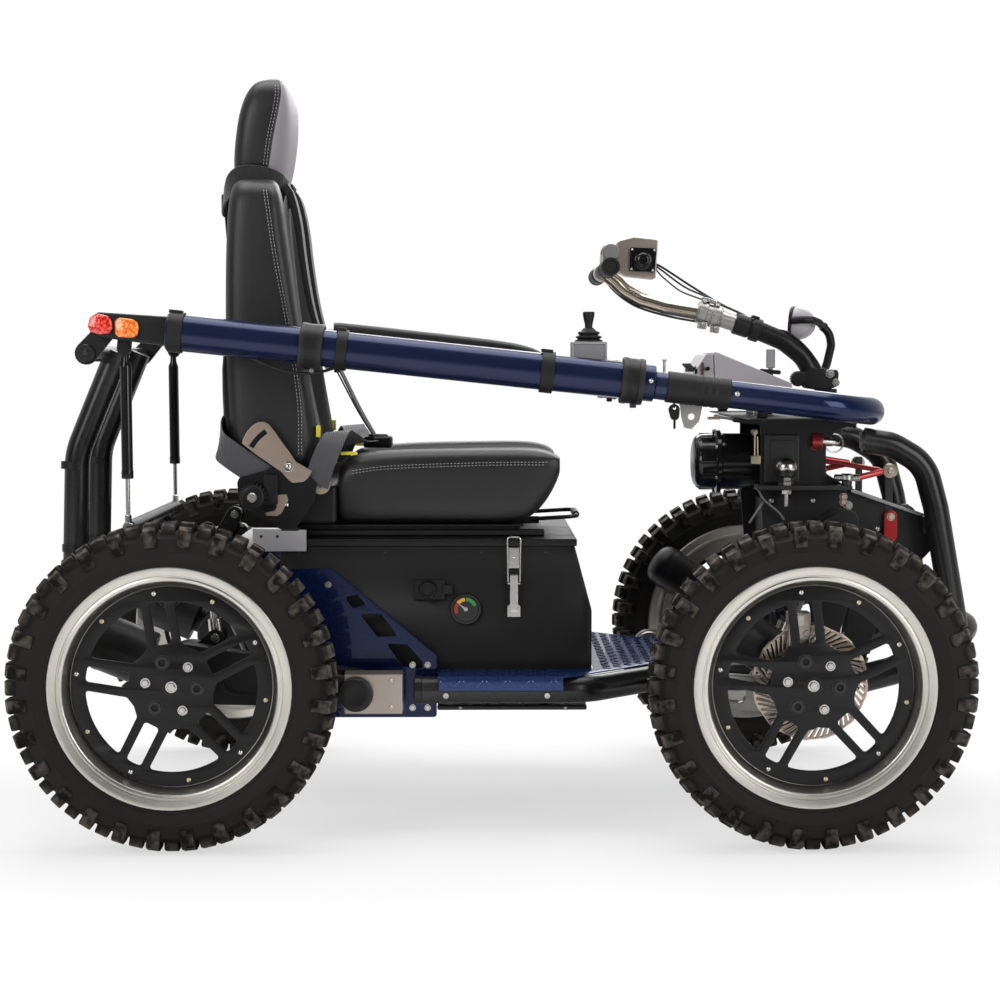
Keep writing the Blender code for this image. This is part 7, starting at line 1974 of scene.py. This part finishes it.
for name, radius, body, points in (("pod_cable_upper", 0.0023, "steering",
        [(0.3265, 0.05, 1.062), (0.344, 0.047, 1.053), (0.393, 0.034, 1.02), (0.43, 0.024, 0.996),
        (0.462, 0.014, 0.977), (0.5, 0.01, 0.959), (0.515, 0.006, 0.948)]),
        ("pod_cable_middle", 0.0019, "steering", [(0.3265, 0.042, 1.058), (0.343, 0.039, 1.046),
        (0.385, 0.024, 1.014), (0.425, 0.014, 0.995), (0.455, 0.004, 0.978), (0.49, -0.002, 0.962),
        (0.512, -0.004, 0.948)]), ("pod_cable_lower", 0.0016, "steering",
        [(0.3265, 0.034, 1.055), (0.334, 0.03, 1.042), (0.348, 0.024, 1.028), (0.375, 0.014, 1.006),
        (0.405, 0.004, 0.993), (0.425, -0.002, 0.986)]), ("grip_cable", 0.0022, "steering",
        [(0.224, 0.004, 1.03), (0.232, 0.002, 1.018), (0.25, -0.002, 0.999), (0.278, -0.006, 0.979),
        (0.31, -0.006, 0.966), (0.36, -0.004, 0.953), (0.412, 0.0, 0.944)]),
        ("side_bar_cable", 0.0028, "side_bar_right", [(-0.47, -0.33, 0.887), (-0.433, -0.332, 0.87),
        (-0.395, -0.333, 0.854), (-0.357, -0.334, 0.844), (-0.316, -0.333, 0.845), (-0.28, -0.331, 0.856),
        (-0.262, -0.33, 0.864)]), ("tiller_cable", 0.0022, "steering",
        [(0.57, -0.006, 0.928), (0.586, -0.008, 0.9235), (0.608, -0.01, 0.908), (0.628, -0.012, 0.888),
        (0.644, -0.014, 0.866), (0.652, -0.014, 0.852)])):
    cable(name, points, radius, body, cable_black)

# Control panel
# The wedge on the nose: a smooth moulded housing in lilac grey and, facing the driver, a silver panel with
# four toggles and a red rocker at its edge. It stands on two posts, with a lock pin beside it.

lilac_plastic = finish("lilac_grey_plastic", (0.42, 0.39, 0.425), 0.44, dust=(0.3, 0.28, 0.28),
    dusting=0.2, spread=0.08, grain=500.0, depth=0.08)
bm = bmesh.new()
wedge = [(-0.133, 0.827), (-0.135, 0.883), (-0.131, 0.884), (0.015, 0.824), (0.0175, 0.812)]
sheet(bm, [[(f + x, z) for x, z in wedge]], -0.1, 0.1, 0.0016, 0.002)
settle(bm, "panel_housing", lilac_plastic, "chassis", ["control_panel"])
bm = bmesh.new()
cheek = [(-0.134, 0.829), (-0.136, 0.881), (-0.15, 0.88), (-0.18, 0.835), (-0.179, 0.829)]
sheet(bm, [[(f + x, z) for x, z in cheek]], -0.096, 0.096, 0.0016, 0.003)
for y in (-0.06, 0.06):
    round_bar(bm, (f - 0.04, y, 0.7618), (f - 0.04, y, 0.825), 0.012)
settle(bm, "panel_face", silver_sheet, "chassis")
bm = bmesh.new()
slope = (Vector((f - 0.15, 0, 0.88)) - Vector((f - 0.18, 0, 0.835))).normalized()
out = Vector((-slope.z, 0, slope.x))
for y in (-0.075, -0.035, 0.005, 0.045):
    foot = Vector((f - 0.18, y, 0.835)) + slope * (0.0602 * 0.3)
    round_bar(bm, foot - out * 0.001, foot + out * 0.0035, 0.0062, 0.0006, 18)
    turned(bm, [(0, 0), (0, 0.0019), (0.01, 0.0026), (0.0135, 0.0022), (0.0142, 0)], foot + out * 0.003,
        foot + out + slope * 0.25, 14)
for y in (-0.0965, 0.0965):
    block(bm, (f - 0.1722, y - 0.0016, 0.842), (f - 0.167, y + 0.0016, 0.852), 0.0008)
cross_bar(bm, f - 0.148, 0.852, -0.095, -0.106, 0.0042, 0.0008, 18)
settle(bm, "panel_toggles", gloss_black, "chassis")
bm = bmesh.new()
block(bm, (f - 0.16, -0.101, 0.837), (f - 0.155, -0.095, 0.864), 0.0012)
settle(bm, "panel_rocker", finish("dark_red_plastic", (0.12, 0.018, 0.02), 0.35, dust=(0.1, 0.05, 0.05),
    dusting=0.2, spread=0.1, grain=500.0, depth=0.05), "chassis")
bm = bmesh.new()
round_bar(bm, (0.317, -0.292, 0.842), (0.317, -0.292, 0.866), 0.0024, 0.0006, 12)
round_bar(bm, (0.317, -0.292, 0.865), (0.317, -0.292, 0.87), 0.0038, 0.001, 14)
settle(bm, "lock_pin", bare_alloy, "chassis")

# Mirror
# A round-shouldered mirror in a moulded lilac-grey shell with a dark rim. A ball joint holds it on a bent
# black arm of steel tube that rises from the deck.

bm = bmesh.new()
pipe(bm, [(0.669, 0.14, 0.763), (0.674, 0.139, 0.82), (0.69, 0.139, 0.862), (0.6985, 0.138, 0.9),
    (0.694, 0.136, 0.923), (0.681, 0.133, 0.937)], 0.0085, 0.035, 8, 10)
for low, high, radius in ((0.7618, 0.77, 0.017), (0.77, 0.786, 0.0125)):
    round_bar(bm, (0.669, 0.14, low), (0.669, 0.14, high), radius)
pipe(bm, [(0.669, 0.14, 0.826), (0.672, 0.14, 0.832)], 0.0098, sides=10)
settle(bm, "mirror_arm", satin_black, "chassis", ["mirror_stem"])


def oval_ring(centre, way, up, half_high, half_wide, bulge, along=0.0, steps=36):
    """A rounded oval across a direction."""
    across = up.cross(way)
    ring = []
    for i in range(steps):
        turn = tau * i / steps
        c, s = cos(turn), sin(turn)
        high, wide = half_high * copysign(abs(s) ** bulge, s), half_wide * copysign(abs(c) ** bulge, c)
        ring.append(centre + way * along + up * high + across * wide)
    return ring


def mirror_rings(rows):
    """Ovals across the mirror's own direction, from their places along it and their sizes."""
    return [oval_ring(centre, look, up, 0.034 * grow, 0.047 * grow, 0.72, along) for along, grow in rows]


look = Vector((-0.95, 0.3, 0.07)).normalized()
up = (Vector((0, 0, 1)) - look * look.z).normalized()
centre = Vector((0.633, 0.15, 0.944))
bm = bmesh.new()
skin(bm, mirror_rings([(0.008, 0.985), (0.004, 1.0), (-0.004, 0.97), (-0.014, 0.86), (-0.024, 0.66),
    (-0.031, 0.4), (-0.0335, 0.16)]))
settle(bm, "mirror_shell", lilac_plastic, "mirror", ["mirror_head"], smooth_deg=60)
bm = bmesh.new()
skin(bm, mirror_rings([(0.0075, 1.0), (0.009, 1.035), (0.0135, 1.035), (0.015, 1.0), (0.015, 0.94),
    (0.0128, 0.93)]))
turned(bm, [(0, 0), (0.001, 0.005), (0.004, 0.0086), (0.009, 0.01), (0.014, 0.0086), (0.017, 0.005),
    (0.018, 0)], Vector((0.69, 0.1345, 0.934)), Vector((0.594, 0.12, 0.964)), 24)
pipe(bm, [(0.68, 0.133, 0.9372), (0.669, 0.117, 0.9455), (0.653, 0.102, 0.9505), (0.635, 0.099, 0.951),
    (0.612, 0.106, 0.9495)], 0.0078, 0.012, 6, 10)
settle(bm, "mirror_rim", moulded_black, "mirror", smooth_deg=50)
bm = bmesh.new()
skin(bm, mirror_rings([(0.0126, 0.93), (0.0136, 0.93)]))
settle(bm, "mirror_glass", finish("silvered_glass", (0.8, 0.81, 0.82), 0.03, 1.0, dust=(0.5, 0.5, 0.5),
    dusting=0.06, spread=0.02, grain=80.0, depth=0.0), "mirror", smooth_deg=50)

# Joystick
# A moulded light grey box with silver edges, fixed inside the right bar. A rubber bellows of three rings
# closes the foot of the stick, and a waisted black knob tops it.

bm = bmesh.new()
x, y = 0.179, -0.2625
block(bm, (x - 0.0295, y - 0.028, 0.864), (x + 0.0295, y + 0.028, 0.8975), 0.0022)
settle(bm, "joystick_case", grey_plastic, "side_bar_right", ["joystick_box"])
bm = bmesh.new()
block(bm, (x - 0.033, y - 0.03, 0.8965), (x + 0.033, y + 0.03, 0.9015), 0.0015)
for side in (-1, 1):
    for face in (-1, 1):
        block(bm, (x + side * 0.031 - 0.0018, y + face * 0.0275 - 0.0022, 0.865),
            (x + side * 0.031 + 0.0018, y + face * 0.0275 + 0.0022, 0.898), 0.001)
settle(bm, "joystick_frame", silver_sheet, "side_bar_right")
bm = bmesh.new()
rings = [(0, 0), (0, 0.0245), (0.0014, 0.0262), (0.003, 0.0262), (0.0042, 0.0235), (0.0056, 0.02),
    (0.0072, 0.0226), (0.0086, 0.0244), (0.0102, 0.0244), (0.0114, 0.0222), (0.0126, 0.0176),
    (0.0142, 0.0182), (0.016, 0.0206), (0.0178, 0.0208), (0.0192, 0.0186), (0.0206, 0.0142),
    (0.023, 0.0122), (0.0262, 0.009), (0.0264, 0.0)]
turned(bm, rings, (x, y, 0.901), (x, y, 1), 40)
settle(bm, "joystick_bellows", soft_rubber, ("side_bar_right", "joystick", (x + middle_x, y, 0.905),
    (x + middle_x, y, 0.924)), smooth_deg=50)
bm = bmesh.new()
turned(bm, [(0, 0), (0, 0.0072), (0.006, 0.007), (0.012, 0.0076), (0.016, 0.0086), (0.024, 0.0104),
    (0.03, 0.011), (0.0325, 0.0107), (0.0335, 0.0094), (0.0337, 0)], (x, y, 0.9236), (x, y, 1), 32)
settle(bm, "joystick_knob", moulded_black, "joystick", ["joystick"], smooth_deg=50)

# Armrests
# A padded, rounded rest of foam under black leather cloth, fixed along the inner edge of each bar and drawn
# down to the bar at its front end.

for label, side in sides.items():
    stations = []
    for x, grow, drop in ((-0.292, 0.6, 0.005), (-0.288, 0.88, 0.001), (-0.278, 1.0, 0.0),
            (-0.15, 1.0, 0.0), (0.0, 0.99, 0.001), (0.056, 0.95, 0.004), (0.082, 0.85, 0.008),
            (0.096, 0.66, 0.013), (0.102, 0.42, 0.017)):
        middle = Vector((x, side * 0.2705, bar_z(x) + 0.03 - drop))
        stations.append(oval_ring(middle, Vector((1, 0, 0)), Vector((0, 0, 1)), 0.0205 * grow,
            0.0225 * grow, 0.6, steps=20))
    bm = bmesh.new()
    skin(bm, section_between(stations, 2))
    pad = settle(bm, f"arm_pad_{label}", black_leather, f"side_bar_{label}", [f"armrest_{label}"],
        smooth_deg=60)

# Nose details
# Small parts round the tower's head: a winged post on the deck, a key in its bracket below the nose sleeve,
# an eyelet stud with its wires, and short cables into the tower.

bm = bmesh.new()
round_bar(bm, (0.55, -0.03, 0.853), (0.55, -0.03, 0.89), 0.0088, 0.0012, 28)
round_bar(bm, (0.55, -0.03, 0.844), (0.55, -0.03, 0.854), 0.0045, 0.0008, 20)
settle(bm, "deck_post", grey_plastic, "chassis")
bm = bmesh.new()
sheet(bm, [round_ends((0.532, 0.8475), 0.0042, (0.566, 0.8445), 0.0042)], -0.036, -0.024, 0.001)
round_bar(bm, (0.55, -0.03, 0.762), (0.55, -0.03, 0.844), 0.0052, 0.0008, 20)
settle(bm, "deck_post_wing", moulded_black, "chassis")
bm = bmesh.new()
sheet(bm, [[(0.344, 0.786), (0.386, 0.786), (0.38, 0.756), (0.366, 0.741), (0.352, 0.744), (0.347, 0.762)],
    circle(0.006, 16, 0.365, 0.764)], -0.312, -0.3085, 0.0008)
block(bm, (0.344, -0.312, 0.784), (0.386, -0.296, 0.7875), 0.001)
settle(bm, "key_bracket", bare_alloy, "chassis")
bm = bmesh.new()
sheet(bm, [round_ends((0.333, 0.777), 0.0105, (0.334, 0.766), 0.0085), circle(0.003, 14, 0.3335, 0.78)],
    -0.32, -0.315, 0.0012)
round_bar(bm, (0.333, -0.317, 0.796), (0.333, -0.317, 0.78), 0.002)
cross_bar(bm, 0.333, 0.796, -0.298, -0.318, 0.0024)
block(bm, (0.3315, -0.3182, 0.742), (0.336, -0.3166, 0.766), 0.0006)
settle(bm, "key", moulded_black, "chassis")
bm = bmesh.new()
turned(bm, [(0, 0), (0, 0.006), (0.002, 0.0075), (0.006, 0.0075), (0.009, 0.005), (0.0095, 0)],
    (0.502, -0.158, 0.731), (0.502, -1, 0.731), 24)
block(bm, (0.495, -0.167, 0.67), (0.513, -0.159, 0.686), 0.0012)
pipe(bm, [(0.502, -0.164, 0.725), (0.502, -0.164, 0.685)], 0.0016, sides=6)
pipe(bm, [(0.507, -0.164, 0.723), (0.508, -0.164, 0.685)], 0.0016, sides=6)
block(bm, (0.422, -0.09, 0.753), (0.445, -0.06, 0.7582), 0.001)
settle(bm, "tower_eyelet", brass, "chassis")
tower_lines = ([(0.505, -0.17, 0.631), (0.516, -0.176, 0.606), (0.53, -0.176, 0.593),
    (0.548, -0.172, 0.578), (0.559, -0.166, 0.564)], [(0.518, -0.17, 0.597), (0.508, -0.176, 0.584),
    (0.499, -0.174, 0.57), (0.492, -0.17, 0.558)])
for number, line in enumerate(tower_lines, 1):
    sheath = finish(f"grey_cable_{number}", (0.16, 0.16, 0.17), 0.45, dusting=0.2, spread=0.1, grain=700.0,
        depth=0.1)
    cable(f"tower_cable_{number}", line, 0.0021, "chassis", sheath)
